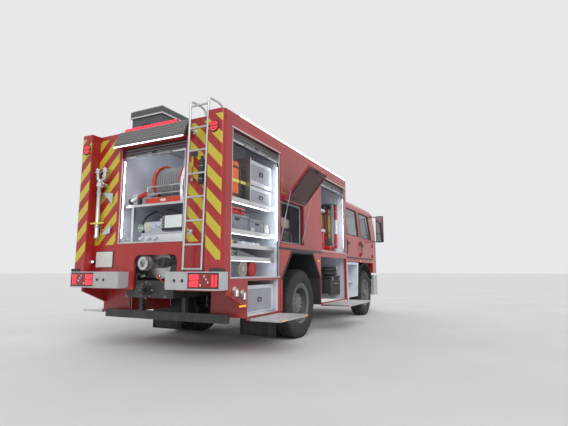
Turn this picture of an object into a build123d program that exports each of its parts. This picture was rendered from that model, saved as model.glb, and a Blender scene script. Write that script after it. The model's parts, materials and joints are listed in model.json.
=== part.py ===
from build123d import *
import math
import os

os.makedirs("parts", exist_ok=True)

# Frame: +X forward, +Y left, +Z up, in millimetres.
# The origin is on the ground, under the middle of the overall length.

# Overall lengths and widths
REAR_OVERHANG = 2300.0
WHEELBASE = 3900.0
FRONT_OVERHANG = 1300.0
BODY_LENGTH = 4570.0
BODY_WIDTH = 2500.0
CAB_WIDTH = 2400.0
CAB_GAP = 50.0

OVERALL_LENGTH = REAR_OVERHANG + WHEELBASE + FRONT_OVERHANG
REAR = -OVERALL_LENGTH / 2
REAR_AXLE_X = REAR + REAR_OVERHANG
FRONT_AXLE_X = REAR_AXLE_X + WHEELBASE
FRONT = FRONT_AXLE_X + FRONT_OVERHANG
BODY_HALF = BODY_WIDTH / 2
CAB_HALF = CAB_WIDTH / 2

# Clearances
MOVE_GAP = 6.0
SEAT_GAP = 0.3
RUN_FIT = 0.05
PIN_GAP = 0.5

# Wheels
TYRE_RADIUS = 535.0
TYRE_WIDTH = 275.0
TYRE_SHOULDER = 45.0
RIM_RADIUS = 300.0
RIM_WALL = 30.0
RIM_WIDTH = 240.0
TWIN_SPACING = 310.0
REAR_TYRE_FACE = 1230.0
FRONT_TYRE_FACE = 1190.0
HUB_RADIUS = 110.0
SPINDLE_RADIUS = 42.0
DISC_THICKNESS = 16.0
HAND_HOLES = 8
HAND_HOLE_RADIUS = 28.0
AXLE_Z = TYRE_RADIUS

# Sides of the flat-faceted rounds: wheels and drums, then slim bars
WHEEL_SIDES = 32
HUB_SIDES = 16
BAR_SIDES = 8

# Axles and steering
KINGPIN_Y = 900.0
KINGPIN_RADIUS = 22.0
KINGPIN_BOSS = 42.0
KINGPIN_BOSS_HEIGHT = 110.0
KNUCKLE_LUG = 36.0
AXLE_BEAM_DROP = 70.0
DIFF_RADIUS = 205.0
AXLE_TUBE_RADIUS = 75.0
SPRING_Y = 470.0
SPRING_WIDTH = 80.0
SPRING_LENGTH = 1400.0
SPRING_LEAF = 34.0

# Cab tilt: pivot lugs under the nose, rear rests behind
TILT_DROP = 35.0
TILT_SETBACK = 60.0
TILT_PIN = 12.0
TILT_LUG = (352.5, 383.5)
TILT_EARS = [(333.0, 352.0), (384.0, 403.0)]

# Chassis frame
FRAME_TOP = 950.0
FRAME_HEIGHT = 250.0
FRAME_HALF = 403.0
FRAME_FLANGE = 70.0
FRAME_PLATE = 8.0
FRAME_REAR_GAP = 255.0
FRAME_FRONT_GAP = 250.0

# Body shell
BUMPER_PROUD = 30.0
BODY_REAR = REAR + BUMPER_PROUD
BODY_FRONT = BODY_REAR + BODY_LENGTH
ROOF_Z = 2980.0
ROOF_THICKNESS = 40.0
SIDE_WALL = 40.0
INNER_WALL = 30.0
DECK_Z = 1420.0
DECK_THICKNESS = 40.0
CORE_HALF = 650.0
SILL_Z = 967.0
SKIRT_Z = 465.0
COLUMN_DEPTH = 160.0
COLUMN_WIDTH = 230.0
COLUMN_CORNER = 60.0
RECESS = 150.0
REAR_CHAMFER_TOP = 760.0
REAR_CHAMFER_BOTTOM = 590.0
ROOF_LIP = 45.0

# Raised trim on the sides: the moulding above the wheel and the lip of the arch
MOULDING_Z = (1360.0, 1390.0)
MOULDING_OVERLAP = 70.0
TRIM_PROUD = 9.0
LIP_WIDTH = 22.0

# Rear wheel arch, measured from the axle
ARCH_HALF_TOP = 400.0
ARCH_HALF_BOTTOM = 740.0
ARCH_TOP = 1330.0
ARCH_KNEE = 930.0
ARCH_LINER = 12.0

# Side openings
REAR_BAY_START = 190.0
REAR_BAY_LENGTH = 1270.0
FRONT_BAY_START = 840.0
FRONT_BAY_END_GAP = 70.0
BAY_TOP = 2790.0
SHUTTER_DROP = 150.0
SHUTTER_HOLD = 40.0
LOCKER_START = 560.0
LOCKER_LENGTH = 860.0
LOCKER_WALL = 20.0
LOCKER_TOP = 930.0

# Lift-up flap over the rear wheel, with its two gas struts in gutters at the flap's ends
FLAP_WIDTH = 730.0
FLAP_GUTTER = 45.0
FLAP_HEIGHT = 640.0
FLAP_THICKNESS = 25.0
FLAP_TOP = 2106.0
FLAP_OPEN = 140.0
HINGE_PROUD = 12.0
HINGE_RADIUS = 8.0
KNUCKLE_RADIUS = 14.0
KNUCKLE_HALF = 15.0
STRUT_SEAT = 600.0
STRUT_PIN_DROP = 190.0
STRUT_RADIUS = 9.0
ROD_RADIUS = 4.0
STRUT_BALL = 5.0

# Access ladder
LADDER_INSET = 305.0
LADDER_WIDTH = 280.0
LADDER_Y = (LADDER_INSET - BODY_HALF, LADDER_INSET + LADDER_WIDTH - BODY_HALF)
LADDER_LEAN = 42.0
LADDER_RAIL = 17.0
LADDER_TOP = ROOF_Z + 215
LADDER_RUNG_PITCH = 290.0
LADDER_X = BODY_REAR + 45

# Fold-down steps
STEP_THICKNESS = 28.0
STEP_HINGE_Z = SKIRT_Z - 14
STEP_HINGE_Y = BODY_HALF + STEP_THICKNESS / 2 + MOVE_GAP
STEP_HINGE_ROD = 8.0
STEP_LUG = 11.0
STEP_REAR_DEPTH = LOCKER_TOP - SKIRT_Z - 40
STEP_MID_DEPTH = 470.0

# Rear end
REAR_OPENING_HALF = 565.0
REAR_OPENING_TOP = 2745.0
CUTOUT_LEFT = 245.0
CUTOUT_RIGHT = -480.0
CUTOUT_TOP = 1250.0
CUTOUT_CORNER = 85.0
SKIRT_SPLIT = 1395.0
BUMPER_TOP = 1035.0
BUMPER_BOTTOM = 822.0
BUMPER_LEFT_INNER = 330.0
BUMPER_RIGHT_INNER = -455.0

# Cab
CAB_REAR = BODY_FRONT + CAB_GAP
CAB_FACE = FRONT - 70.0
CAB_FLOOR = 1250.0
CAB_ROOF = 2640.0
CAB_WALL = 50.0
CAB_BELT = 1780.0
CAB_TUMBLE = 70.0
CAB_NOSE_BOTTOM = 1000.0
SCREEN_RAKE = 230.0
DOOR_SILL = 1310.0
DOOR_TOP = 2540.0
WINDOW_BOTTOM = 1850.0
GLASS = 6.0
GLASS_INSET = 18.0
STEP_WELL_DEPTH = 480.0
MUDGUARD_RADIUS = 690.0
MUDGUARD_THICKNESS = 10.0


def block(x, y, z):
    """Box between three pairs of coordinates."""
    size = (x[1] - x[0], y[1] - y[0], z[1] - z[0])
    return Pos((x[0] + x[1]) / 2, (y[0] + y[1]) / 2, (z[0] + z[1]) / 2) * Box(*size)


def side_prism(outline, y0, y1):
    """Outline of (x, z) points, given its width from y0 to y1."""
    face = Plane.XZ * Polygon(*outline, align=None)
    return Pos(0, y1, 0) * extrude(face, amount=y1 - y0, dir=(0, -1, 0))


def cross_prism(outline, x0, x1):
    """Outline of (y, z) points, given its length from x0 to x1."""
    face = Plane.YZ * Polygon(*outline, align=None)
    return Pos(x0, 0, 0) * extrude(face, amount=x1 - x0, dir=(1, 0, 0))


def plan_prism(outline, z0, z1):
    """Outline of (x, y) points, given its height from z0 to z1."""
    face = Plane.XY * Polygon(*outline, align=None)
    return Pos(0, 0, z0) * extrude(face, amount=z1 - z0, dir=(0, 0, 1))


def rod_x(radius, x0, x1, y, z):
    return Pos((x0 + x1) / 2, y, z) * Rot(0, 90, 0) * Cylinder(radius, x1 - x0)


def rod_y(radius, y0, y1, x, z):
    return Pos(x, (y0 + y1) / 2, z) * Rot(90, 0, 0) * Cylinder(radius, y1 - y0)


def rod_z(radius, z0, z1, x, y):
    return Pos(x, y, (z0 + z1) / 2) * Cylinder(radius, z1 - z0)


def bar(radius, start, end, sides=BAR_SIDES):
    """Bar with flat sides from one point to another, as wide over its flats as a round one."""
    a = Vector(*start)
    b = Vector(*end)
    plane = Plane(origin=a, z_dir=b - a)
    section = RegularPolygon(radius, sides, major_radius=False, rotation=180 / sides)
    return extrude(plane * section, amount=(b - a).length)


def faceted_ring(profile, sides, x, y, z, side=1):
    """Profile of (radius, width) points turned about a crosswise axis in flat facets; width grows outboard.

    A radius is measured to the middle of a facet, and a facet faces straight down.
    """
    stretch = 1 / math.cos(math.pi / sides)
    sections = []
    for i in range(sides):
        angle = 2 * math.pi * (i + 0.5) / sides - math.pi / 2
        across = (stretch * math.cos(angle), stretch * math.sin(angle))
        sections.append([(x + r * across[0], y + side * w, z + r * across[1]) for r, w in profile])
    facets = []
    for near, far in zip(sections, sections[1:] + sections[:1]):
        for j in range(len(profile)):
            k = (j + 1) % len(profile)
            if profile[j][0] == 0 and profile[k][0] == 0:
                continue
            corners = [near[j], near[k], far[k], far[j]]
            if profile[j][0] == 0:
                corners = corners[:3]
            if profile[k][0] == 0:
                corners = [corners[0], corners[1], corners[3]]
            facets.append(Face(Wire.make_polygon(corners)))
    return Solid(Shell(facets))


def mirrored(shape):
    """The same piece on the other side of the vehicle."""
    return mirror(shape, about=Plane.XZ)


def save(name, *solids):
    shapes = []
    for solid in solids:
        shapes.extend(solid.solids())
    export_step(Compound(children=shapes), f"parts/{name}.step")


def both_sides(shape):
    return [shape, mirrored(shape)]


# Wheels: each rim turns on its spindle, each tyre is seated on its rim
def tyre(x, centre_y, side):
    half = TYRE_WIDTH / 2
    inner = RIM_RADIUS + SEAT_GAP
    bead = RIM_WIDTH / 2
    profile = [
        (inner, -bead),
        (inner, bead),
        ((inner + TYRE_RADIUS) / 2, half),
        (TYRE_RADIUS - TYRE_SHOULDER, half - 5),
        (TYRE_RADIUS, half - TYRE_SHOULDER),
        (TYRE_RADIUS, TYRE_SHOULDER - half),
        (TYRE_RADIUS - TYRE_SHOULDER, 5 - half),
        ((inner + TYRE_RADIUS) / 2, -half),
    ]
    return faceted_ring(profile, WHEEL_SIDES, x, centre_y, AXLE_Z, side)


def hand_holes(x, y0, y1, radius):
    holes = []
    for i in range(HAND_HOLES):
        angle = 2 * math.pi * (i + 0.5) / HAND_HOLES
        hole_x = x + radius * math.cos(angle)
        hole_z = AXLE_Z + radius * math.sin(angle)
        holes.append(bar(HAND_HOLE_RADIUS, (hole_x, y0, hole_z), (hole_x, y1, hole_z)))
    return holes


HAND_HOLE_CIRCLE = (HUB_RADIUS + RIM_RADIUS - RIM_WALL) / 2 + 12
FRONT_TYRE_Y = FRONT_TYRE_FACE - TYRE_WIDTH / 2
OUTER_TWIN_Y = REAR_TYRE_FACE - TYRE_WIDTH / 2
INNER_TWIN_Y = OUTER_TWIN_Y - TWIN_SPACING
TWIN_MIDDLE = (OUTER_TWIN_Y + INNER_TWIN_Y) / 2
RIM_HALF = RIM_WIDTH / 2
FRONT_DISC = 75.0
FRONT_HUB_OUT = 135.0
FRONT_HUB_IN = -62.0
SPINDLE_END = 95.0
REAR_HUB_OUT = 120.0


def front_rim(side):
    inner = RIM_RADIUS - RIM_WALL
    profile = [
        (HUB_RADIUS - 30, FRONT_DISC),
        (inner, FRONT_DISC),
        (inner, RIM_HALF),
        (RIM_RADIUS, RIM_HALF),
        (RIM_RADIUS, -RIM_HALF),
        (inner, -RIM_HALF),
        (inner, FRONT_DISC - DISC_THICKNESS),
        (HUB_RADIUS - 30, FRONT_DISC - DISC_THICKNESS),
    ]
    hub_profile = [
        (0, FRONT_HUB_IN),
        (HUB_RADIUS, FRONT_HUB_IN),
        (HUB_RADIUS, FRONT_DISC + 12),
        (HUB_RADIUS - 20, FRONT_HUB_OUT),
        (0, FRONT_HUB_OUT),
    ]
    y = side * FRONT_TYRE_Y
    rim = faceted_ring(profile, WHEEL_SIDES, FRONT_AXLE_X, y, AXLE_Z, side)
    for hole in hand_holes(FRONT_AXLE_X, y - RIM_WIDTH, y + RIM_WIDTH, HAND_HOLE_CIRCLE):
        rim -= hole
    rim += faceted_ring(hub_profile, HUB_SIDES, FRONT_AXLE_X, y, AXLE_Z, side)
    ends = sorted((y + side * (FRONT_HUB_IN - 1), y + side * SPINDLE_END))
    return rim - rod_y(SPINDLE_RADIUS + RUN_FIT, ends[0], ends[1], FRONT_AXLE_X, AXLE_Z)


def rear_rims(side):
    """The two rims bolt together at their discs, midway between the tyres."""
    inner = RIM_RADIUS - RIM_WALL
    gap = TWIN_SPACING / 2
    disc = DISC_THICKNESS
    profile = [
        (HUB_RADIUS - 30, disc),
        (inner, disc),
        (inner, gap + RIM_HALF),
        (RIM_RADIUS, gap + RIM_HALF),
        (RIM_RADIUS, gap - RIM_HALF),
        (inner + 8, gap - RIM_HALF),
        (inner + 8, RIM_HALF - gap),
        (RIM_RADIUS, RIM_HALF - gap),
        (RIM_RADIUS, -gap - RIM_HALF),
        (inner, -gap - RIM_HALF),
        (inner, -disc),
        (HUB_RADIUS - 30, -disc),
    ]
    hub_profile = [
        (0, -disc - 2),
        (HUB_RADIUS, -disc - 2),
        (HUB_RADIUS, disc + 2),
        (HUB_RADIUS - 10, REAR_HUB_OUT),
        (0, REAR_HUB_OUT),
    ]
    y = side * TWIN_MIDDLE
    rims = faceted_ring(profile, WHEEL_SIDES, REAR_AXLE_X, y, AXLE_Z, side)
    for hole in hand_holes(REAR_AXLE_X, y - 2 * disc, y + 2 * disc, HAND_HOLE_CIRCLE):
        rims -= hole
    rims += faceted_ring(hub_profile, HUB_SIDES, REAR_AXLE_X, y, AXLE_Z, side)
    ends = sorted((y - side * (disc + 3), y + side * (REAR_HUB_OUT - 25)))
    return rims - rod_y(SPINDLE_RADIUS + RUN_FIT, ends[0], ends[1], REAR_AXLE_X, AXLE_Z)


for side, name in ((1, "left"), (-1, "right")):
    save(f"front_tyre_{name}", tyre(FRONT_AXLE_X, side * FRONT_TYRE_Y, side))
    save(f"front_rim_{name}", front_rim(side))
    twins = [tyre(REAR_AXLE_X, side * y, side) for y in (OUTER_TWIN_Y, INNER_TWIN_Y)]
    save(f"rear_tyres_{name}", *twins)
    save(f"rear_rims_{name}", rear_rims(side))


def upright(radius, z0, z1, x, y, sides=BAR_SIDES):
    return bar(radius, (x, y, z0), (x, y, z1), sides)


def crossbar(radius, y0, y1, x, z, sides=BAR_SIDES):
    return bar(radius, (x, y0, z), (x, y1, z), sides)


def longbar(radius, x0, x1, y, z, sides=BAR_SIDES):
    return bar(radius, (x0, y, z), (x1, y, z), sides)


# Steering knuckles: a fork over the kingpin boss, with the pin and the wheel spindle
def knuckle(side):
    half = KINGPIN_BOSS_HEIGHT / 2
    outer = KINGPIN_Y + KINGPIN_BOSS + MOVE_GAP + KNUCKLE_LUG
    spindle_end = FRONT_TYRE_Y + SPINDLE_END - 3
    lug_x = (FRONT_AXLE_X - KINGPIN_BOSS, FRONT_AXLE_X + KINGPIN_BOSS)
    lug_top = half + PIN_GAP + KNUCKLE_LUG
    fork = block(lug_x, (KINGPIN_Y, outer), (AXLE_Z + half + PIN_GAP, AXLE_Z + lug_top))
    fork += block(lug_x, (KINGPIN_Y, outer), (AXLE_Z - lug_top, AXLE_Z - half - PIN_GAP))
    fork += block(lug_x, (outer - KNUCKLE_LUG, outer), (AXLE_Z - lug_top, AXLE_Z + lug_top))
    for z0, z1 in ((half + PIN_GAP, lug_top), (-lug_top, -half - PIN_GAP)):
        fork += upright(KINGPIN_BOSS, AXLE_Z + z0, AXLE_Z + z1, FRONT_AXLE_X, KINGPIN_Y)
    fork += rod_z(KINGPIN_RADIUS, AXLE_Z - lug_top, AXLE_Z + lug_top, FRONT_AXLE_X, KINGPIN_Y)
    fork += rod_y(SPINDLE_RADIUS, outer - KNUCKLE_LUG, spindle_end, FRONT_AXLE_X, AXLE_Z)
    return fork if side > 0 else mirrored(fork)


save("knuckle_left", knuckle(1))
save("knuckle_right", knuckle(-1))


def leaf_spring(axle_x, seat_z):
    """Curved pack of leaves that lies on the axle and hangs from two hangers under the rail."""
    half = SPRING_LENGTH / 2
    eye_z = FRAME_TOP - FRAME_HEIGHT - 45
    low = seat_z + SPRING_LEAF
    spring = None
    for layer, share in enumerate((1.0, 0.72, 0.44)):
        reach = half * share
        sag = (eye_z - low) * share * share
        drop = layer * SPRING_LEAF / 3
        outline = [
            (axle_x - reach, low + sag - drop),
            (axle_x - reach / 2, low + sag / 4 - drop),
            (axle_x, low - drop),
            (axle_x + reach / 2, low + sag / 4 - drop),
            (axle_x + reach, low + sag - drop),
        ]
        lower = [(x, z - SPRING_LEAF / 3) for x, z in reversed(outline)]
        leaf = side_prism(outline + lower, SPRING_Y - SPRING_WIDTH / 2, SPRING_Y + SPRING_WIDTH / 2)
        spring = leaf if spring is None else spring + leaf
    for end in (-1, 1):
        x = axle_x + end * half
        rail_side = (FRAME_HALF, SPRING_Y + SPRING_WIDTH / 2)
        spring += block((x - 30, x + 30), rail_side, (eye_z - 20, eye_z + 75))
    spring += block((axle_x - 60, axle_x + 60), (SPRING_Y - 40, SPRING_Y + 40), (seat_z - 30, low))
    return spring


# Front axle: dropped forged beam with a kingpin boss at each end, and its springs
def front_axle():
    low = AXLE_Z - AXLE_BEAM_DROP
    boss_half = KINGPIN_BOSS_HEIGHT / 2
    inner = KINGPIN_Y - 150
    outline = [
        (-inner, low - 45),
        (inner, low - 45),
        (KINGPIN_Y - 30, AXLE_Z - 35),
        (KINGPIN_Y - 30, AXLE_Z + 35),
        (inner, low + 45),
        (-inner, low + 45),
        (30 - KINGPIN_Y, AXLE_Z + 35),
        (30 - KINGPIN_Y, AXLE_Z - 35),
    ]
    beam = cross_prism(outline, FRONT_AXLE_X - 35, FRONT_AXLE_X + 35)
    for side in (-1, 1):
        y = side * KINGPIN_Y
        beam += upright(KINGPIN_BOSS, AXLE_Z - boss_half, AXLE_Z + boss_half, FRONT_AXLE_X, y)
    for side in (-1, 1):
        y = side * KINGPIN_Y
        bore = KINGPIN_RADIUS + RUN_FIT
        beam -= rod_z(bore, AXLE_Z - 2 * boss_half, AXLE_Z + 2 * boss_half, FRONT_AXLE_X, y)
    spring = leaf_spring(FRONT_AXLE_X, low + 60)
    return beam + spring + mirrored(spring)


# Rear axle: tube with the round final drive, hollow-ended spindles, springs and propeller shaft
def rear_axle():
    spindle_end = TWIN_MIDDLE + REAR_HUB_OUT - 30
    shoulder = TWIN_MIDDLE - 60
    axle = crossbar(AXLE_TUBE_RADIUS, -shoulder, shoulder, REAR_AXLE_X, AXLE_Z, HUB_SIDES)
    axle += rod_y(SPINDLE_RADIUS, -spindle_end, spindle_end, REAR_AXLE_X, AXLE_Z)
    axle += longbar(DIFF_RADIUS, REAR_AXLE_X - 70, REAR_AXLE_X + 130, 0, AXLE_Z, HUB_SIDES)
    axle += longbar(DIFF_RADIUS - 45, REAR_AXLE_X - 130, REAR_AXLE_X - 69, 0, AXLE_Z, HUB_SIDES)
    axle += bar(90, (REAR_AXLE_X + 120, 0, AXLE_Z), (REAR_AXLE_X + 330, 0, AXLE_Z + 20))
    axle += bar(48, (REAR_AXLE_X + 320, 0, AXLE_Z + 19), (GEARBOX_REAR - 6, 0, SHAFT_Z))
    spring = leaf_spring(REAR_AXLE_X, AXLE_Z + AXLE_TUBE_RADIUS + 15)
    return axle + spring + mirrored(spring)


# Engine and gearbox as one plain mass under the cab
ENGINE_REAR = FRONT_AXLE_X - 330
ENGINE_FRONT = FRONT_AXLE_X + 700
ENGINE_HALF = 300.0
ENGINE_TOP = CAB_FLOOR - 20
ENGINE_BOTTOM = 640.0
GEARBOX_REAR = ENGINE_REAR - 650
SHAFT_Z = 740.0
engine = block((ENGINE_REAR, ENGINE_FRONT), (-ENGINE_HALF, ENGINE_HALF), (ENGINE_BOTTOM, ENGINE_TOP))
engine += block((GEARBOX_REAR, ENGINE_REAR), (-210, 210), (600, 990))
for x in (ENGINE_REAR + 200, ENGINE_FRONT - 300):
    foot_y = (ENGINE_HALF - 1, FRAME_HALF - FRAME_PLATE - SEAT_GAP)
    foot = block((x, x + 110), foot_y, (FRAME_TOP - FRAME_HEIGHT + FRAME_PLATE + SEAT_GAP, FRAME_TOP - 180))
    engine += foot + mirrored(foot)
save("engine_block", engine)
save("front_axle", front_axle())
save("rear_axle", rear_axle())

# Chassis frame: two channel rails, cross tubes, the body's subframe, hitch and underrun bar
FRAME_REAR_X = BODY_REAR + FRAME_REAR_GAP
FRAME_FRONT_X = FRONT - FRAME_FRONT_GAP
FRAME_BOTTOM = FRAME_TOP - FRAME_HEIGHT
SUBFRAME_TOP = DECK_Z - DECK_THICKNESS


def chassis_frame():
    web = FRAME_HALF - FRAME_PLATE
    lip = FRAME_HALF - FRAME_FLANGE
    channel = [
        (FRAME_HALF, FRAME_BOTTOM),
        (FRAME_HALF, FRAME_TOP),
        (lip, FRAME_TOP),
        (lip, FRAME_TOP - FRAME_PLATE),
        (web, FRAME_TOP - FRAME_PLATE),
        (web, FRAME_BOTTOM + FRAME_PLATE),
        (lip, FRAME_BOTTOM + FRAME_PLATE),
        (lip, FRAME_BOTTOM),
    ]
    rail = cross_prism(channel, FRAME_REAR_X, FRAME_FRONT_X)
    frame = rail + mirrored(rail)
    tubes = [FRAME_REAR_X + 40, REAR_AXLE_X - 500, REAR_AXLE_X + 650, GEARBOX_REAR - 300]
    for x in tubes:
        frame += block((x - 40, x + 40), (-web, web), (FRAME_TOP - 150, FRAME_TOP - 40))
    frame += block((ENGINE_FRONT + 40, ENGINE_FRONT + 110), (-web, web), (FRAME_BOTTOM + 20, FRAME_TOP - 60))
    bearer_inner = FRAME_HALF - 60
    bearer = block((FRAME_REAR_X, BODY_FRONT), (bearer_inner, FRAME_HALF), (FRAME_TOP, FRAME_TOP + 150))
    frame += bearer + mirrored(bearer)
    for x in (REAR_BULKHEAD - 430, REAR_BULKHEAD + 15, REAR_AXLE_X, FRONT_BULKHEAD + 15, BODY_FRONT - 60):
        frame += block((x - 30, x + 30), (-CORE_HALF + 50, CORE_HALF - 50), (FRAME_TOP + 150, SUBFRAME_TOP))
    hitch_x = FRAME_REAR_X - 60
    frame += block((hitch_x, FRAME_REAR_X), (-FRAME_HALF, FRAME_HALF), (FRAME_BOTTOM, FRAME_TOP - 30))
    frame += rod_x(60, hitch_x - 40, hitch_x, 0, HITCH_Z)
    jaw = block((HITCH_JAW_X - 70, hitch_x - 39), (-55, 55), (HITCH_Z - 60, HITCH_Z + 60))
    jaw -= block((HITCH_JAW_X - 90, HITCH_JAW_X + 25), (-60, 60), (HITCH_Z - 26, HITCH_Z + 26))
    frame += jaw
    frame += rod_z(HITCH_PIN, HITCH_Z - 60, HITCH_Z + 85, HITCH_JAW_X, 0)
    bar_x = BODY_REAR + 430
    frame += block((bar_x, bar_x + 60), (-1050, 1050), (UNDERRUN_Z, UNDERRUN_Z + 110))
    for y in (-FRAME_HALF, FRAME_HALF - 60):
        frame += block((bar_x, bar_x + 50), (y, y + 60), (UNDERRUN_Z + 110, FRAME_BOTTOM))
    rest = block((CAB_REAR + 70, CAB_REAR + 130), (web - 60, FRAME_HALF), (FRAME_TOP, CAB_FLOOR - SEAT_GAP))
    frame += rest + mirrored(rest)
    ear_outline = [
        (FRAME_FRONT_X - 90, FRAME_TOP),
        (FRAME_FRONT_X, FRAME_TOP),
        (FRAME_FRONT_X + 20, FRONT_BUMPER_Z[1] + 2),
        (TILT_X + 18, FRONT_BUMPER_Z[1] + 2),
        (TILT_X + 18, TILT_Z + 17),
        (FRAME_FRONT_X - 90, TILT_Z + 17),
    ]
    for y0, y1 in TILT_EARS:
        ear = side_prism(ear_outline, y0, y1)
        frame += ear + mirrored(ear)
    pin = rod_y(TILT_PIN, TILT_EARS[0][0], TILT_EARS[1][1], TILT_X, TILT_Z)
    return frame + pin + mirrored(pin)


FRONT_BUMPER_Z = (440.0, 940.0)
TILT_X = CAB_FACE - TILT_SETBACK
TILT_Z = CAB_NOSE_BOTTOM - TILT_DROP
REAR_BULKHEAD = BODY_REAR + REAR_BAY_START + REAR_BAY_LENGTH
FRONT_BULKHEAD = REAR_AXLE_X + FRONT_BAY_START - 60
HITCH_Z = 800.0
HITCH_PIN = 19.0
HITCH_JAW_X = BODY_REAR + 90
UNDERRUN_Z = 400.0
save("chassis_frame", chassis_frame())

# Body sides: one panel each, its openings cut from a table
FLAP_CENTRE = REAR_AXLE_X - 365
FLAP_SPAN = FLAP_WIDTH / 2 + FLAP_GUTTER
FRONT_BAY_X = (REAR_AXLE_X + FRONT_BAY_START, BODY_FRONT - FRONT_BAY_END_GAP)
LOCKER_X = (BODY_REAR + LOCKER_START, BODY_REAR + LOCKER_START + LOCKER_LENGTH)
STEP_TOP = SKIRT_Z + 20
FLAP_BOTTOM = FLAP_TOP - FLAP_HEIGHT - 2 * MOVE_GAP
SIDE_OPENINGS = [
    # x start, x end, z bottom, z top
    (BODY_REAR + REAR_BAY_START, REAR_BULKHEAD, SILL_Z, BAY_TOP),
    (FLAP_CENTRE - FLAP_SPAN, FLAP_CENTRE + FLAP_SPAN, FLAP_BOTTOM, FLAP_TOP),
    (FRONT_BAY_X[0], FRONT_BAY_X[1], DECK_Z, BAY_TOP),
    (LOCKER_X[0] + LOCKER_WALL, LOCKER_X[1] - LOCKER_WALL, STEP_TOP, LOCKER_TOP),
    (FRONT_BAY_X[0] - 40, FRONT_BAY_X[1], STEP_TOP, DECK_Z - 120),
]


STEPS = [
    # name, x start, x end, depth
    ("rear", LOCKER_X[0] + 20, LOCKER_X[1] - 20, STEP_REAR_DEPTH),
    ("mid", FRONT_BAY_X[0] - 30, FRONT_BAY_X[1] - 10, STEP_MID_DEPTH),
]


def step_lugs():
    """Lugs on the lower edge of the side that carry the ends of the steps' hinge rods."""
    lugs = None
    out = STEP_HINGE_Y + 12
    for _, x0, x1, _ in STEPS:
        for start in (x0 - MOVE_GAP - STEP_LUG, x1 + MOVE_GAP):
            z = (STEP_HINGE_Z - 13, SKIRT_Z + 18)
            lug = block((start, start + STEP_LUG), (BODY_HALF - 1, out), z)
            lug += block((start, start + STEP_LUG), (BODY_HALF - SIDE_WALL, BODY_HALF), (SKIRT_Z - 1, z[1]))
            rod = rod_x(STEP_HINGE_ROD + RUN_FIT, start - 1, start + STEP_LUG + 1, STEP_HINGE_Y, STEP_HINGE_Z)
            lug -= rod
            lugs = lug if lugs is None else lugs + lug
    return lugs


def arch_outline(inset=0.0):
    """Trapezoid over the rear wheel, narrower by the inset."""
    bottom = ARCH_HALF_BOTTOM - inset
    top = ARCH_HALF_TOP - inset * 0.4
    return [
        (REAR_AXLE_X - bottom, SKIRT_Z),
        (REAR_AXLE_X - bottom, ARCH_KNEE - inset * 0.4),
        (REAR_AXLE_X - top, ARCH_TOP - inset),
        (REAR_AXLE_X + top, ARCH_TOP - inset),
        (REAR_AXLE_X + bottom, ARCH_KNEE - inset * 0.4),
        (REAR_AXLE_X + bottom, SKIRT_Z),
    ]


def body_side():
    start = BODY_REAR + COLUMN_DEPTH
    outline = [
        (start, ROOF_Z),
        (BODY_FRONT, ROOF_Z),
        (BODY_FRONT, SKIRT_Z),
        *reversed(arch_outline()),
        (BODY_REAR + LOCKER_START, SKIRT_Z),
        (BODY_REAR + LOCKER_START, REAR_CHAMFER_BOTTOM),
        (start, REAR_CHAMFER_TOP),
    ]
    panel = side_prism(outline, BODY_HALF - SIDE_WALL, BODY_HALF)
    for x0, x1, z0, z1 in SIDE_OPENINGS:
        panel -= block((x0, x1), (BODY_HALF - 2 * SIDE_WALL, BODY_HALF + SIDE_WALL), (z0, z1))
    return panel + side_trim() + rear_locker() + strut_seats() + step_lugs() + flap_knuckles()


def side_trim():
    """Moulding from bay to bay and the raised lip round the wheel arch."""
    proud = (BODY_HALF - 1, BODY_HALF + TRIM_PROUD)
    trim = block((REAR_BULKHEAD - 30, FRONT_BULKHEAD + MOULDING_OVERLAP - 10), proud, MOULDING_Z)
    lip = side_prism(arch_outline(-LIP_WIDTH), *proud)
    opening = arch_outline()
    opening[0] = (opening[0][0], SKIRT_Z - 1)
    opening[-1] = (opening[-1][0], SKIRT_Z - 1)
    lip -= side_prism(opening, BODY_HALF - 2, BODY_HALF + 2 * TRIM_PROUD)
    return trim + lip


def rear_locker():
    """Low locker behind the wheel, open on its outer side."""
    inner_y = CORE_HALF + 60
    outer = block(LOCKER_X, (inner_y, BODY_HALF - SIDE_WALL), (SKIRT_Z, SILL_Z - INNER_WALL))
    room_x = (LOCKER_X[0] + LOCKER_WALL, LOCKER_X[1] - LOCKER_WALL)
    room_z = (SKIRT_Z + LOCKER_WALL, SILL_Z - INNER_WALL - LOCKER_WALL)
    return outer - block(room_x, (inner_y + LOCKER_WALL, BODY_HALF), room_z)


def flap_knuckles():
    """Rings on the side above the flap that carry its hinge rod."""
    rings = None
    for x in FLAP_KNUCKLES:
        span = (x - KNUCKLE_HALF, x + KNUCKLE_HALF)
        ring = longbar(KNUCKLE_RADIUS, *span, HINGE_Y, HINGE_Z)
        ring += block(span, (BODY_HALF - 1, HINGE_Y), (HINGE_Z, HINGE_Z + KNUCKLE_RADIUS))
        ring -= rod_x(HINGE_RADIUS + RUN_FIT, span[0] - 1, span[1] + 1, HINGE_Y, HINGE_Z)
        rings = ring if rings is None else rings + ring
    return rings


FLAP_KNUCKLES = (FLAP_CENTRE - 230, FLAP_CENTRE + 230)
STRUT_OUT = (FLAP_WIDTH + FLAP_GUTTER) / 2
STRUT_PLANES = (FLAP_CENTRE - STRUT_OUT, FLAP_CENTRE + STRUT_OUT)
HINGE_Y = BODY_HALF + HINGE_PROUD
HINGE_Z = FLAP_TOP
STRUT_Y = HINGE_Y - 30
STRUT_Z = HINGE_Z - STRUT_SEAT


def strut_seats():
    """Pins in the gutters that carry the lower eyes of the gas struts."""
    seats = None
    for x, wall in zip(STRUT_PLANES, (-1, 1)):
        edge = x + wall * FLAP_GUTTER / 2
        ends = sorted((edge + wall * 2, x - wall * 8))
        pin = rod_x(STRUT_BALL, ends[0], ends[1], STRUT_Y, STRUT_Z)
        seats = pin if seats is None else seats + pin
    return seats


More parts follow.
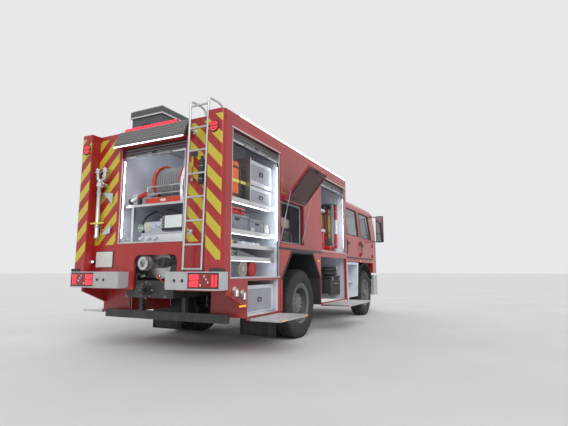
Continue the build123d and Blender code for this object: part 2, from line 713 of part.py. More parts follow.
side_left = body_side()
save("body_side_left", side_left)
save("body_side_right", mirrored(side_left))


# Gas struts, with the flap raised: cylinders turn on the gutter pins, rods slide in them
def flap_turn(shape):
    """Raise a piece of the closed left flap to its open place."""
    pivot = Pos(0, HINGE_Y, HINGE_Z)
    return pivot * Rot(FLAP_OPEN, 0, 0) * pivot.inverse() * shape


def flap_point(outboard, drop):
    """Where a point of the closed flap lies once the flap is raised."""
    angle = math.radians(FLAP_OPEN)
    y = HINGE_Y + outboard * math.cos(angle) + drop * math.sin(angle)
    z = HINGE_Z + outboard * math.sin(angle) - drop * math.cos(angle)
    return y, z


FLAP_PIN_Y, FLAP_PIN_Z = flap_point(-HINGE_PROUD - FLAP_THICKNESS / 2, STRUT_PIN_DROP)
STRUT_SPAN = math.hypot(FLAP_PIN_Y - STRUT_Y, FLAP_PIN_Z - STRUT_Z)
STRUT_DIR = ((FLAP_PIN_Y - STRUT_Y) / STRUT_SPAN, (FLAP_PIN_Z - STRUT_Z) / STRUT_SPAN)
CYLINDER_LENGTH = 395.0
ROD_STOP = 14.0


def along_strut(x, distance):
    return x, STRUT_Y + STRUT_DIR[0] * distance, STRUT_Z + STRUT_DIR[1] * distance


def strut_cylinder(x):
    tube = bar(STRUT_RADIUS, along_strut(x, 6), along_strut(x, CYLINDER_LENGTH))
    tube += longbar(STRUT_RADIUS + 2, x - 7, x + 7, STRUT_Y, STRUT_Z)
    tube -= rod_x(STRUT_BALL + RUN_FIT, x - 20, x + 20, STRUT_Y, STRUT_Z)
    tube -= bar(ROD_RADIUS + PIN_GAP, along_strut(x, 20), along_strut(x, CYLINDER_LENGTH + 5))
    return tube


def strut_rod(x):
    return bar(ROD_RADIUS, along_strut(x, CYLINDER_LENGTH - 30), along_strut(x, STRUT_SPAN - ROD_STOP))


def lift_flap():
    ends = (FLAP_CENTRE - FLAP_WIDTH / 2, FLAP_CENTRE + FLAP_WIDTH / 2)
    skin = (BODY_HALF - FLAP_THICKNESS, BODY_HALF)
    flap = block(ends, skin, (HINGE_Z - MOVE_GAP - FLAP_HEIGHT, HINGE_Z - MOVE_GAP))
    frame_z = (HINGE_Z - FLAP_HEIGHT + 60, HINGE_Z - 70)
    frame_x = (ends[0] + 60, ends[1] - 60)
    flap -= block(frame_x, (skin[0] - 1, skin[0] + 10), frame_z)
    flap += block(ends, (BODY_HALF - 4, HINGE_Y), (HINGE_Z - MOVE_GAP - 14, HINGE_Z - MOVE_GAP))
    for x in FLAP_KNUCKLES:
        notch = KNUCKLE_HALF + MOVE_GAP
        flap -= rod_x(KNUCKLE_RADIUS + MOVE_GAP, x - notch, x + notch, HINGE_Y, HINGE_Z)
    flap += rod_x(HINGE_RADIUS, ends[0] + 40, ends[1] - 40, HINGE_Y, HINGE_Z)
    pin_y = BODY_HALF - FLAP_THICKNESS / 2
    for end, x in zip(ends, STRUT_PLANES):
        reach = sorted((end, x))
        flap += rod_x(STRUT_BALL, reach[0] - 3, reach[1] + 3, pin_y, HINGE_Z - STRUT_PIN_DROP)
    return flap_turn(flap)


flap_left = lift_flap()
cylinders = [strut_cylinder(x) for x in STRUT_PLANES]
rods = [strut_rod(x) for x in STRUT_PLANES]
save("flap_left", flap_left)
save("flap_right", mirrored(flap_left))
save("strut_cylinders_left", *cylinders)
save("strut_cylinders_right", *[mirrored(piece) for piece in cylinders])
save("strut_rods_left", *rods)
save("strut_rods_right", *[mirrored(piece) for piece in rods])

# Fold-down steps: each closes the low opening above it when it is swung up


def fold_step(x0, x1, depth):
    inner = STEP_HINGE_Y + 14
    tread_z = (STEP_HINGE_Z - STEP_THICKNESS / 2, STEP_HINGE_Z + STEP_THICKNESS / 2)
    step = block((x0, x1), (inner, inner + depth), tread_z)
    rows = int(depth // 90)
    for i in range(rows):
        y = inner + 40 + i * (depth - 60) / rows
        step -= block((x0 + 40, x1 - 40), (y, y + 34), (tread_z[1] - 6, tread_z[1] + 1))
    for x in (x0 + 80, x1 - 80):
        step += block((x - 25, x + 25), (STEP_HINGE_Y, inner), (tread_z[0] + 6, tread_z[1] - 6))
    reach = MOVE_GAP + STEP_LUG
    step += rod_x(STEP_HINGE_ROD, x0 - reach, x1 + reach, STEP_HINGE_Y, STEP_HINGE_Z)
    return step


for name, x0, x1, depth in STEPS:
    step = fold_step(x0, x1, depth)
    save(f"step_{name}_left", step)
    save(f"step_{name}_right", mirrored(step))


# Floors and inner walls of the body
def body_inner():
    walls = []
    core_x = (BODY_REAR + RECESS + INNER_WALL, REAR_BULKHEAD)
    for side in (-1, 1):
        inner = sorted((side * (CORE_HALF - INNER_WALL), side * CORE_HALF))
        walls.append(block(core_x, inner, (SILL_Z - INNER_WALL, ROOF_Z - ROOF_THICKNESS)))
        floor_y = sorted((side * CORE_HALF, side * (BODY_HALF - SIDE_WALL)))
        floor_x = (core_x[0], REAR_BULKHEAD + INNER_WALL)
        walls.append(block(floor_x, floor_y, (SILL_Z - INNER_WALL, SILL_Z)))
    wall_y = (SIDE_WALL - BODY_HALF, BODY_HALF - SIDE_WALL)
    top = ROOF_Z - ROOF_THICKNESS
    rear_deck_y = (INNER_WALL - CORE_HALF, CORE_HALF - INNER_WALL)
    deck_z = (DECK_Z - DECK_THICKNESS, DECK_Z)
    shell = block((REAR_BULKHEAD, REAR_BULKHEAD + INNER_WALL), wall_y, (DECK_Z - DECK_THICKNESS, top))
    for side in (-1, 1):
        low_y = sorted((side * (CORE_HALF - INNER_WALL), side * (BODY_HALF - SIDE_WALL)))
        shell += block((REAR_BULKHEAD, REAR_BULKHEAD + INNER_WALL), low_y, (SILL_Z, DECK_Z))
    shell += block((FRONT_BULKHEAD, FRONT_BULKHEAD + INNER_WALL), wall_y, (DECK_Z, top))
    shell += block((BODY_FRONT - SIDE_WALL, BODY_FRONT), wall_y, (DECK_Z, top))
    shell += block(core_x, rear_deck_y, deck_z)
    shell += block((REAR_BULKHEAD + INNER_WALL, BODY_FRONT), wall_y, deck_z)
    shell += block((FRONT_BULKHEAD + INNER_WALL, BODY_FRONT - SIDE_WALL), (-15, 15), (DECK_Z, top))
    for x in (FRONT_BULKHEAD, BODY_FRONT - SIDE_WALL):
        for side in (-1, 1):
            post_y = sorted((side * (CORE_HALF + 20), side * (BODY_HALF - SIDE_WALL)))
            shell += block((x, x + INNER_WALL), post_y, (SKIRT_Z, DECK_Z - DECK_THICKNESS))
    for wall in walls:
        shell += wall
    return shell


save("body_inner", body_inner())

# Water tank behind the side compartments, one plain mass
TANK_TOP = 2900.0
tank_x = (REAR_BULKHEAD + INNER_WALL, FRONT_BULKHEAD)
save("water_tank", block(tank_x, (-CORE_HALF, CORE_HALF), (DECK_Z, TANK_TOP)))


# Roof: plate between the sides, walkway treads and a raised lip
def body_roof():
    y = (SIDE_WALL - BODY_HALF, BODY_HALF - SIDE_WALL)
    start = BODY_REAR + RECESS + INNER_WALL
    roof = block((start, BODY_FRONT), y, (ROOF_Z - ROOF_THICKNESS, ROOF_Z))
    for side in (-1, 1):
        rail_y = sorted((side * (BODY_HALF - SIDE_WALL - 60), side * (BODY_HALF - SIDE_WALL - 20)))
        roof += block((start + 320, BODY_FRONT - 60), rail_y, (ROOF_Z, ROOF_Z + ROOF_LIP))
    tread_y = (LADDER_Y[0] - 20, LADDER_Y[1] - 70)
    for i in range(6):
        x = start + 60 + i * 95
        roof += block((x, x + 40), tread_y, (ROOF_Z, ROOF_Z + 22))
    return roof


save("body_roof", body_roof())


# Roof chest: tapered box under an overhanging lid with chamfered edges, hasps on its outer side
CHEST_X = (BODY_REAR + 480, BODY_REAR + 2300)
CHEST_Y = (180.0, 810.0)
CHEST_BODY = 350.0
CHEST_LID = 130.0
CHEST_OVERHANG = 20.0
CHEST_CHAMFER = 25.0
CHEST_HASP = 60.0


def roof_chest():
    x = (CHEST_X[0] + CHEST_OVERHANG, CHEST_X[1] - CHEST_OVERHANG)
    y = (CHEST_Y[0] + CHEST_OVERHANG, CHEST_Y[1] - CHEST_OVERHANG)
    lid_z = ROOF_Z + CHEST_BODY
    chest = block(x, y, (ROOF_Z, lid_z))
    lid = block(CHEST_X, CHEST_Y, (lid_z, lid_z + CHEST_LID))
    chest += chamfer(lid.faces().sort_by(Axis.Z)[-1].edges(), CHEST_CHAMFER)
    third = (CHEST_X[1] - CHEST_X[0]) / 3
    for i in (1, 2):
        hasp_x = CHEST_X[0] + i * third
        hasp_y = (CHEST_Y[0] - CHEST_OVERHANG / 2, CHEST_Y[0] + CHEST_OVERHANG)
        chest += block((hasp_x, hasp_x + CHEST_HASP), hasp_y, (lid_z - CHEST_HASP, lid_z + CHEST_HASP))
    return chest


save("roof_chest", roof_chest())


# Rear columns with rounded outer corners
def rear_column():
    y0 = BODY_HALF - COLUMN_WIDTH
    outline = [
        (BODY_REAR, y0),
        (BODY_REAR + COLUMN_DEPTH, y0),
        (BODY_REAR + COLUMN_DEPTH, BODY_HALF),
        (BODY_REAR, BODY_HALF),
    ]
    column = plan_prism(outline, BUMPER_TOP, ROOF_Z)
    corner = column.edges().filter_by(Axis.Z).sort_by(lambda edge: edge.center().Y - edge.center().X)[-1]
    return fillet(corner, COLUMN_CORNER)


column = rear_column()
save("rear_columns", column, mirrored(column))


# Recessed rear wall with its opening, the sloped hood above it and the skirt with its cut-out
def rear_wall():
    x = (BODY_REAR + RECESS, BODY_REAR + RECESS + INNER_WALL)
    y1 = BODY_HALF - COLUMN_WIDTH
    wall = block(x, (-y1, y1), (SKIRT_SPLIT, ROOF_Z))
    opening_y = (-REAR_OPENING_HALF, REAR_OPENING_HALF)
    wall -= block((x[0] - 1, x[1] + 1), opening_y, (DECK_Z + 5, REAR_OPENING_TOP))
    hood = [
        (x[0], REAR_OPENING_TOP + 10),
        (x[0] - 110, REAR_OPENING_TOP + 10),
        (x[0] - 110, REAR_OPENING_TOP + 40),
        (x[0] - 20, ROOF_Z),
        (x[0], ROOF_Z),
    ]
    wall += side_prism(hood, -620, 620)
    return wall


def rear_skirt():
    x = (BODY_REAR + RECESS, BODY_REAR + RECESS + INNER_WALL)
    y1 = BODY_HALF - COLUMN_WIDTH
    skirt = block(x, (-y1, y1), (BUMPER_BOTTOM - 20, SKIRT_SPLIT))
    cut = block((x[0] - 1, x[1] + 1), (CUTOUT_RIGHT, CUTOUT_LEFT), (BUMPER_BOTTOM - 60, CUTOUT_TOP))
    cut = fillet(cut.edges().filter_by(Axis.X).sort_by(Axis.Z)[-2:], CUTOUT_CORNER)
    return skirt - cut


save("rear_wall", rear_wall())
save("rear_skirt", rear_skirt())


# Bumper boxes, each with a pocket for its lamp cluster
def bumper_box(y0, y1, lamp_y):
    x = (REAR, BODY_REAR + RECESS)
    box = block(x, (y0, y1), (BUMPER_BOTTOM, BUMPER_TOP))
    box = fillet(box.edges().filter_by(Axis.Y).sort_by(Axis.X)[:2], 12)
    box -= block((REAR - 1, REAR + LAMP_DEPTH), lamp_y, LAMP_Z)
    return box


LAMP_DEPTH = 30.0
LAMP_Z = (BUMPER_BOTTOM + 18, BUMPER_TOP - 14)
LAMP_LENGTH = 440.0
lamp_left = (BODY_HALF - LAMP_LENGTH - 12, BODY_HALF - 12)
lamp_right = (-lamp_left[1], -lamp_left[0])
boxes = [
    bumper_box(BUMPER_LEFT_INNER, BODY_HALF, lamp_left),
    bumper_box(-BODY_HALF, BUMPER_RIGHT_INNER, lamp_right),
]
save("rear_bumpers", *boxes)

# Red lamps: clusters in the bumpers, round lamps on the columns and the bar on the roof edge
ROUND_LAMP_Y = 1110.0
ROUND_LAMP_Z = 2765.0
lamps = []
for y0, y1 in (lamp_left, lamp_right):
    lens = (REAR + 4, REAR + LAMP_DEPTH)
    lamps.append(block(lens, (y0 + 3, y1 - 3), (LAMP_Z[0] + 3, LAMP_Z[1] - 3)))
for side in (-1, 1):
    lamps.append(longbar(75, BODY_REAR - 16, BODY_REAR, side * ROUND_LAMP_Y, ROUND_LAMP_Z, WHEEL_SIDES))
lamps.append(block((BODY_REAR + 140, BODY_REAR + 178), (-400, 540), (ROOF_Z, ROOF_Z + 48)))
save("red_lamps", *lamps)

# White light strips along the roof edges, over the rear opening and in the bays' front guides
strips = []
for side in (-1, 1):
    y = sorted((side * (BODY_HALF - 24), side * BODY_HALF))
    strips.append(block((BODY_REAR + 350, BODY_FRONT - 20), y, (ROOF_Z, ROOF_Z + 28)))
    guide_y = sorted((side * (BODY_HALF - SIDE_WALL - 14), side * (BODY_HALF - SIDE_WALL)))
    for x, z0 in ((REAR_BULKHEAD - 14 - SEAT_GAP, SILL_Z + 500), (FRONT_BAY_X[1] - 2, DECK_Z + 90)):
        strips.append(block((x, x + 14), guide_y, (z0, BAY_TOP - SHUTTER_DROP - 60)))
hood_x = BODY_REAR + RECESS - 108
strips.append(block((hood_x, hood_x + 24), (-600, 640), (REAR_OPENING_TOP - 12, REAR_OPENING_TOP + 10)))
save("light_strips", *strips)


# Roller shutters, wound up: a drum box and the last slats with their handle bar
def shutter_box(length, width):
    """Shutter lying along X, outer face at y = 0, hanging from behind the edge at z = 0."""
    drop = SHUTTER_DROP
    up = SHUTTER_HOLD
    outline = [(0, up), (0, -drop), (-16, -drop), (-16, -drop + 60), (-width, -drop + 60), (-width, up)]
    shutter = cross_prism(outline, 0, length)
    for i in range(4):
        z = -drop + 26 + i * 30
        shutter -= block((-1, length + 1), (-4, 1), (z, z + 6))
    return shutter


shutters = []
for x0, x1, _, z1 in (SIDE_OPENINGS[0], SIDE_OPENINGS[2]):
    shutter = Pos(x0, BODY_HALF - SIDE_WALL - SEAT_GAP, z1) * shutter_box(x1 - x0, 170)
    shutters.extend(both_sides(shutter))
rear_shutter = Rot(0, 0, 90) * shutter_box(2 * REAR_OPENING_HALF, 190)
rear_x = BODY_REAR + RECESS + INNER_WALL + SEAT_GAP
shutters.append(Pos(rear_x, -REAR_OPENING_HALF, REAR_OPENING_TOP) * rear_shutter)
save("roller_shutters", *shutters)


# Black plastic and rubber over and behind the wheels
def arch_liner():
    ring = side_prism(arch_outline(), CORE_HALF, BODY_HALF - 4)
    inner = arch_outline(ARCH_LINER)
    inner[0] = (inner[0][0], SKIRT_Z - 1)
    inner[-1] = (inner[-1][0], SKIRT_Z - 1)
    return ring - side_prism(inner, CORE_HALF - 1, BODY_HALF)


def front_mudguard():
    y0 = CAB_HALF - 560
    outer_radius = MUDGUARD_RADIUS + MUDGUARD_THICKNESS
    outer = crossbar(outer_radius, y0, CAB_HALF - 5, FRONT_AXLE_X, AXLE_Z, WHEEL_SIDES)
    guard = outer - crossbar(MUDGUARD_RADIUS, y0 - 1, CAB_HALF, FRONT_AXLE_X, AXLE_Z, WHEEL_SIDES)
    reach = 2 * MUDGUARD_RADIUS
    guard -= block((FRONT_AXLE_X - reach, FRONT_AXLE_X + reach), (0, BODY_HALF), (-reach, AXLE_Z + 320))
    bracket_x = (FRONT_AXLE_X + 30, FRONT_AXLE_X + 80)
    crown = AXLE_Z + MUDGUARD_RADIUS
    guard += block(bracket_x, (FRAME_HALF, y0 + 20), (crown - 120, crown - 90))
    guard += block(bracket_x, (y0, y0 + 20), (crown - 120, crown))
    guard += block(bracket_x, (FRAME_HALF, FRAME_HALF + 12), (FRAME_TOP - 100, crown - 90))
    return guard


MUDFLAP_X = REAR_AXLE_X - ARCH_HALF_BOTTOM - 30
mudflap = block((MUDFLAP_X, MUDFLAP_X + 8), (560, 1160), (110, FRAME_BOTTOM + 60))
mudflap += block((MUDFLAP_X + 8, MUDFLAP_X + 28), (FRAME_HALF, 700), (FRAME_BOTTOM + 10, FRAME_BOTTOM + 50))
guards = both_sides(arch_liner()) + both_sides(front_mudguard()) + both_sides(mudflap)
save("mudguards", *guards)

# Fuel and air tanks low between the axles, hung from the rails
FUEL_X = (FRONT_BAY_X[0] + 60, FRONT_BAY_X[0] + 720)
fuel = block(FUEL_X, (-CORE_HALF - 330, -FRAME_HALF - 60), (560, 1040))
fuel = chamfer(fuel.edges().filter_by(Axis.X), 45)
for x in (FUEL_X[0] + 100, FUEL_X[1] - 150):
    fuel += block((x, x + 50), (-FRAME_HALF - 61, -FRAME_HALF), (FRAME_BOTTOM + 20, FRAME_TOP - 40))
air = None
for z in (660, 880):
    tank = longbar(100, FUEL_X[0], FUEL_X[1], FRAME_HALF + 190, z, HUB_SIDES)
    air = tank if air is None else air + tank
bracket_z = (FRAME_BOTTOM + 20, FRAME_TOP - 20)
air += block((FUEL_X[0] + 80, FUEL_X[1] - 80), (FRAME_HALF, FRAME_HALF + 110), bracket_z)
save("chassis_tanks", fuel, air)

# Access ladder from the bumper to above the roof
def access_ladder():
    lean = LADDER_LEAN
    top = (LADDER_X, LADDER_TOP)
    ladder = None
    for y in LADDER_Y:
        rail = bar(LADDER_RAIL, (LADDER_X, y, BUMPER_TOP + 0.7), (top[0], y - lean, top[1]))
        grip = (LADDER_X + 320, LADDER_TOP - 25)
        rail += bar(LADDER_RAIL - 2, (LADDER_X, y - lean, grip[1]), (grip[0] + 10, y - lean, grip[1]))
        rail += bar(LADDER_RAIL - 2, (grip[0], y - lean, grip[1] + 5), (grip[0], y - lean, ROOF_Z))
        ladder = rail if ladder is None else ladder + rail
    count = int((LADDER_TOP - BUMPER_TOP) // LADDER_RUNG_PITCH)
    for i in range(count + 1):
        z = BUMPER_TOP + 30 + i * LADDER_RUNG_PITCH
        shift = lean * (z - BUMPER_TOP) / (LADDER_TOP - BUMPER_TOP)
        ladder += crossbar(13, LADDER_Y[0] - shift, LADDER_Y[1] - shift, LADDER_X, z)
    for z in (DECK_Z + 100, ROOF_Z - 180):
        shift = lean * (z - BUMPER_TOP) / (LADDER_TOP - BUMPER_TOP)
        for y in LADDER_Y:
            ladder += bar(9, (LADDER_X, y - shift, z), (BODY_REAR + RECESS, y - shift, z))
    return ladder


save("access_ladder", access_ladder())

# Shelves: a table of heights for each bay, the same on both sides
SHELF = 18.0
UPPER_SHELF_Z = 1930.0
SHELF_TABLE = [
    # x start, x end, inner y, shelf height
    (BODY_REAR + COLUMN_DEPTH + 30, REAR_BULKHEAD, CORE_HALF, 1190.0),
    (BODY_REAR + COLUMN_DEPTH + 30, REAR_BULKHEAD, CORE_HALF, 1350.0),
    (BODY_REAR + COLUMN_DEPTH + 30, REAR_BULKHEAD, CORE_HALF, 1530.0),
    (BODY_REAR + COLUMN_DEPTH + 30, REAR_BULKHEAD, CORE_HALF, UPPER_SHELF_Z),
    (FRONT_BULKHEAD + INNER_WALL, FRONT_BAY_X[0] + 420, 15.0, 1800.0),
    (FRONT_BULKHEAD + INNER_WALL, FRONT_BAY_X[0] + 420, 15.0, 2180.0),
]
BAY_DEPTH_Y = BODY_HALF - SIDE_WALL - 45


def shelves():
    pieces = []
    for x0, x1, inner, z in SHELF_TABLE:
        tray = block((x0, x1), (inner, BAY_DEPTH_Y), (z - SHELF, z))
        tray += block((x0, x1), (BAY_DEPTH_Y - SHELF, BAY_DEPTH_Y), (z - SHELF, z + 34))
        pieces.extend(both_sides(tray))
    upright_x = BODY_REAR + REAR_BAY_START + 560
    wall = block((upright_x, upright_x + SHELF), (CORE_HALF, BAY_DEPTH_Y), (UPPER_SHELF_Z, BAY_TOP - 230))
    pieces.extend(both_sides(wall))
    return pieces


save("compartment_shelves", *shelves())

# Stowed boxes: x start, x end, inner y, outer y, z bottom, z top
BAY_X = BODY_REAR + REAR_BAY_START
BOX_TABLE = [
    (BAY_X + 600, BAY_X + 1220, 700.0, 1130.0, 2230.0, 2550.0),
    (BAY_X + 600, BAY_X + 1220, 700.0, 1130.0, 1930.0, 2190.0),
    (BAY_X + 60, BAY_X + 620, 700.0, 1120.0, 1530.0, 1760.0),
    (BAY_X + 640, BAY_X + 1060, 700.0, 1120.0, 1530.0, 1740.0),
    (LOCKER_X[0] + 40, LOCKER_X[1] - 60, 760.0, 1190.0, 485.0, 860.0),
]
boxes = []
for x0, x1, y0, y1, z0, z1 in BOX_TABLE:
    crate = block((x0, x1), (y0, y1), (z0, z1))
    crate = chamfer(crate.edges().filter_by(Axis.Y), 10)
    boxes.extend(both_sides(crate))
carrier = block((BAY_X + 578, BAY_X + 1270), (700, 1130), (2205, 2230))
boxes.extend(both_sides(carrier))
save("stowed_boxes", *boxes)

# Stowed cases and bags
CASE_TABLE = [
    # x start, x end, inner y, outer y, z bottom, z top
    (BAY_X + 90, BAY_X + 560, 720.0, 1100.0, 1760.0, 1880.0),
    (BAY_X + 70, BAY_X + 500, 900.0, 1100.0, 1930.0, 2480.0),
    (FRONT_BAY_X[0] + 90, FRONT_BAY_X[0] + 260, 500.0, 760.0, 1420.0, 1700.0),
]
cases = []
for x0, x1, y0, y1, z0, z1 in CASE_TABLE:
    case = block((x0, x1), (y0, y1), (z0, z1))
    case = chamfer(case.edges().filter_by(Axis.Y), 25)
    cases.extend(both_sides(case))
save("stowed_cases", *cases)

# Hose reel in the rear bay: drum between two flanges on a shaft across the truck
REEL_X = BODY_REAR + 640
REEL_Z = 2275.0
REEL_Y = (-330.0, 190.0)
REEL_FLANGE = 285.0
REEL_HOSE = 245.0
REEL_SHAFT = 22.0
REEL_SHELF_Z = 1945.0


def hose_reel():
    y0, y1 = REEL_Y
    profile = [
        (0, y0),
        (REEL_FLANGE, y0),
        (REEL_FLANGE, y0 + 12),
        (REEL_HOSE, y0 + 12),
        (REEL_HOSE, y1 - 12),
        (REEL_FLANGE, y1 - 12),
        (REEL_FLANGE, y1),
        (0, y1),
    ]
    drum = faceted_ring(profile, WHEEL_SIDES, REEL_X, 0, REEL_Z)
    return drum + rod_y(REEL_SHAFT, y0 - 40, y1 + 40, REEL_X, REEL_Z)


def reel_frame():
    shelf_x = (BODY_REAR + RECESS + INNER_WALL + 60, REAR_BULKHEAD)
    shelf_y = (INNER_WALL - CORE_HALF, CORE_HALF - INNER_WALL)
    frame = block(shelf_x, shelf_y, (REEL_SHELF_Z - 30, REEL_SHELF_Z))
    y0, y1 = REEL_Y
    for a, b in ((y0 - 40, y0 - 12), (y1 + 12, y1 + 40)):
        foot = [
            (REEL_X - 180, REEL_SHELF_Z),
            (REEL_X + 180, REEL_SHELF_Z),
            (REEL_X + 40, REEL_Z + 45),
            (REEL_X - 40, REEL_Z + 45),
        ]
        cheek = side_prism(foot, a, b)
        cheek -= rod_y(REEL_SHAFT + RUN_FIT, a - 1, b + 1, REEL_X, REEL_Z)
        frame += cheek
    frame += block((REEL_X - 330, REEL_X - 290), (y0 - 60, y1 + 60), (REEL_SHELF_Z, REEL_SHELF_Z + 90))
    for z in (REEL_SHELF_Z + 150, REEL_SHELF_Z + 250):
        frame += crossbar(9, y0 - 40, y1 + 40, REEL_X - 320, z)
    for y in (y0 - 40, y1 + 40):
        frame += upright(11, REEL_SHELF_Z + 40, REEL_SHELF_Z + 262, REEL_X - 320, y)
    post_y = (CORE_HALF - INNER_WALL - 230, CORE_HALF - INNER_WALL - 190)
    frame += block((shelf_x[0], shelf_x[0] + 40), post_y, (DECK_Z, REEL_SHELF_Z - 29))
    return frame


save("hose_reel", hose_reel())
save("reel_frame", reel_frame())


# Pump below the deck with the suction inlet in the cut-out, and its control panel above
def fire_pump():
    x0 = FRAME_REAR_X + 120
    pump = longbar(190, x0, x0 + 420, 0, 1130, HUB_SIDES)
    foot = FRAME_HALF - 60 - SEAT_GAP
    pump += block((x0 + 120, x0 + 300), (-foot, foot), (FRAME_TOP + SEAT_GAP, 1120))
    pump += longbar(58, INLET_X, x0 + 10, INLET_Y, INLET_Z, HUB_SIDES)
    pump += longbar(78, INLET_X, INLET_X + 60, INLET_Y, INLET_Z, HUB_SIDES)
    pump += longbar(50, BODY_REAR + 200, x0 + 10, -230, 1150, HUB_SIDES)
    pump += longbar(66, BODY_REAR + 200, BODY_REAR + 250, -230, 1150, HUB_SIDES)
    pump -= rod_x(INLET_BORE, INLET_X - 1, INLET_X + INLET_DEPTH, INLET_Y, INLET_Z)
    return pump


INLET_X = BODY_REAR + 60
INLET_Y = 0.0
INLET_Z = 1140.0
INLET_BORE = 50.0
INLET_DEPTH = 90.0
save("fire_pump", fire_pump())
panel_x = BODY_REAR + RECESS + INNER_WALL + 130
MANIFOLD_Z = DECK_Z + 140
PANEL_TOP = DECK_Z + 280
DISPLAY_Y = (-420.0, -120.0)
DISPLAY_Z = (DECK_Z + 160, DECK_Z + 380)
MANIFOLD_Y = (-480.0, 330.0)
panel = block((panel_x, panel_x + 60), DISPLAY_Y, DISPLAY_Z)
panel += block((panel_x + 20, panel_x + 400), MANIFOLD_Y, (DECK_Z, MANIFOLD_Z))
panel += block((panel_x + 60, panel_x + 200), MANIFOLD_Y, (MANIFOLD_Z - 1, PANEL_TOP))
VALVE_TABLE = [
    # centre y, centre z, hand wheel radius
    (40.0, MANIFOLD_Z + 72, 40.0),
    (150.0, MANIFOLD_Z + 72, 44.0),
    (262.0, MANIFOLD_Z + 72, 40.0),
]
for y, z, radius in VALVE_TABLE:
    panel += longbar(13, panel_x - 30, panel_x + 61, y, z)
    panel += longbar(radius, panel_x - 46, panel_x - 26, y, z)
save("control_panel", panel)

# Hydrant standpipe stowed upright on the left of the rear wall
stand_x = BODY_REAR + RECESS - 60
stand_y = BODY_HALF - COLUMN_WIDTH - 95
STAND_PIPE = 34.0
STAND_ARM = 26.0
STAND_HEAD = 40.0
STAND_SPREAD = 48.0
STAND_Z = (DECK_Z + 70, DECK_Z + 910)
stand = upright(STAND_PIPE, STAND_Z[0], STAND_Z[1], stand_x, stand_y, HUB_SIDES)
for y in (stand_y - STAND_SPREAD, stand_y + STAND_SPREAD):
    stand += bar(STAND_ARM, (stand_x, stand_y, STAND_Z[1] - 20), (stand_x, y, STAND_Z[1] + 70))
    stand += upright(STAND_HEAD, STAND_Z[1] + 65, STAND_Z[1] + 145, stand_x, y)
for z in (STAND_Z[0] + 150, STAND_Z[1] - 130):
    stand += block((stand_x, BODY_REAR + RECESS), (stand_y - 20, stand_y + 20), (z, z + 30))
save("standpipe", stand)


# Cab: three crossing outlines give its outer and inner skins
def cab_solid(inset, floor):
    rear = CAB_REAR + inset
    roof = CAB_ROOF - inset
    face = CAB_FACE - inset
    half = CAB_HALF - inset
    side_view = [
        (rear, floor),
        (rear, roof),
        (face - SCREEN_RAKE - 60, roof),
        (face - SCREEN_RAKE, roof - 60),
        (face - 60, CAB_BELT),
        (face, CAB_BELT - 280),
        (face, CAB_NOSE_BOTTOM if inset == 0 else floor),
        (FRONT_AXLE_X + 720 + inset, CAB_NOSE_BOTTOM if inset == 0 else floor),
        (FRONT_AXLE_X + 720 + inset, floor),
    ]
    if inset:
        side_view = side_view[:7]
    body = side_prism(side_view, -half, half)
    end_view = [
        (-half, CAB_NOSE_BOTTOM - 1),
        (half, CAB_NOSE_BOTTOM - 1),
        (half, CAB_BELT),
        (half - CAB_TUMBLE, roof - 100),
        (half - CAB_TUMBLE - 70, roof),
        (CAB_TUMBLE + 70 - half, roof),
        (CAB_TUMBLE - half, roof - 100),
        (-half, CAB_BELT),
    ]
    body &= cross_prism(end_view, CAB_REAR, FRONT)
    nose = 170.0
    plan_view = [
        (CAB_REAR - 1, -half),
        (face - nose, -half),
        (face - nose * 0.3, -half + nose * 0.45),
        (face + 1, -half + nose * 1.6),
        (face + 1, half - nose * 1.6),
        (face - nose * 0.3, half - nose * 0.45),
        (face - nose, half),
        (CAB_REAR - 1, half),
    ]
    return body & plan_prism(plan_view, CAB_NOSE_BOTTOM - 1, CAB_ROOF + 1)


# Door hinges: barrels on the doors turn on pins between two lugs of the cab
HINGE_OUT = 12.0
HINGE_PIN = 5.0
HINGE_AHEAD = 4.0
BARREL_RADIUS = 10.0
BARREL_HALF = 32.0


def hinge_spots(front):
    return [(front + HINGE_AHEAD, z) for z in (DOOR_SILL + 110, CAB_BELT - 90)]


def hinge_barrels(front):
    barrels = None
    y = CAB_HALF + HINGE_OUT
    for x, z in hinge_spots(front):
        barrel = upright(BARREL_RADIUS, z - BARREL_HALF, z + BARREL_HALF, x, y)
        barrel_z = (z - BARREL_HALF, z + BARREL_HALF)
        barrel += block((x - 60, x - HINGE_AHEAD), (CAB_HALF - 1, CAB_HALF + 8), barrel_z)
        barrel += block((x - HINGE_AHEAD - 1, x), (CAB_HALF + 3, CAB_HALF + 8), barrel_z)
        barrel -= rod_z(HINGE_PIN + RUN_FIT, z - 2 * BARREL_HALF, z + 2 * BARREL_HALF, x, y)
        barrels = barrel if barrels is None else barrels + barrel
    return barrels


def hinge_lugs(front):
    lugs = None
    y = CAB_HALF + HINGE_OUT
    low = BARREL_HALF + PIN_GAP
    for x, z in hinge_spots(front):
        lug = rod_z(HINGE_PIN, z - low - 10, z + low + 10, x, y)
        for z0, z1 in ((z - low - 12, z - low), (z + low, z + low + 12)):
            lug += block((x - 9, x + 24), (CAB_HALF + 3, y + 9), (z0, z1))
            lug += block((x + HINGE_AHEAD, x + 24), (CAB_HALF - 1, y + 9), (z0, z1))
        lugs = lug if lugs is None else lugs + lug
    return lugs


# Cab doors: sill and top edges follow the cab; name, rear edge, front edge, window's front slant
CREW_DOOR = (CAB_REAR + 90, FRONT_AXLE_X - 420)
FRONT_DOOR = (FRONT_AXLE_X - 380, FRONT_AXLE_X + 700)
DOOR_TABLE = [
    ("crew_door", CREW_DOOR, 0.0),
    ("front_door", FRONT_DOOR, 90.0),
]


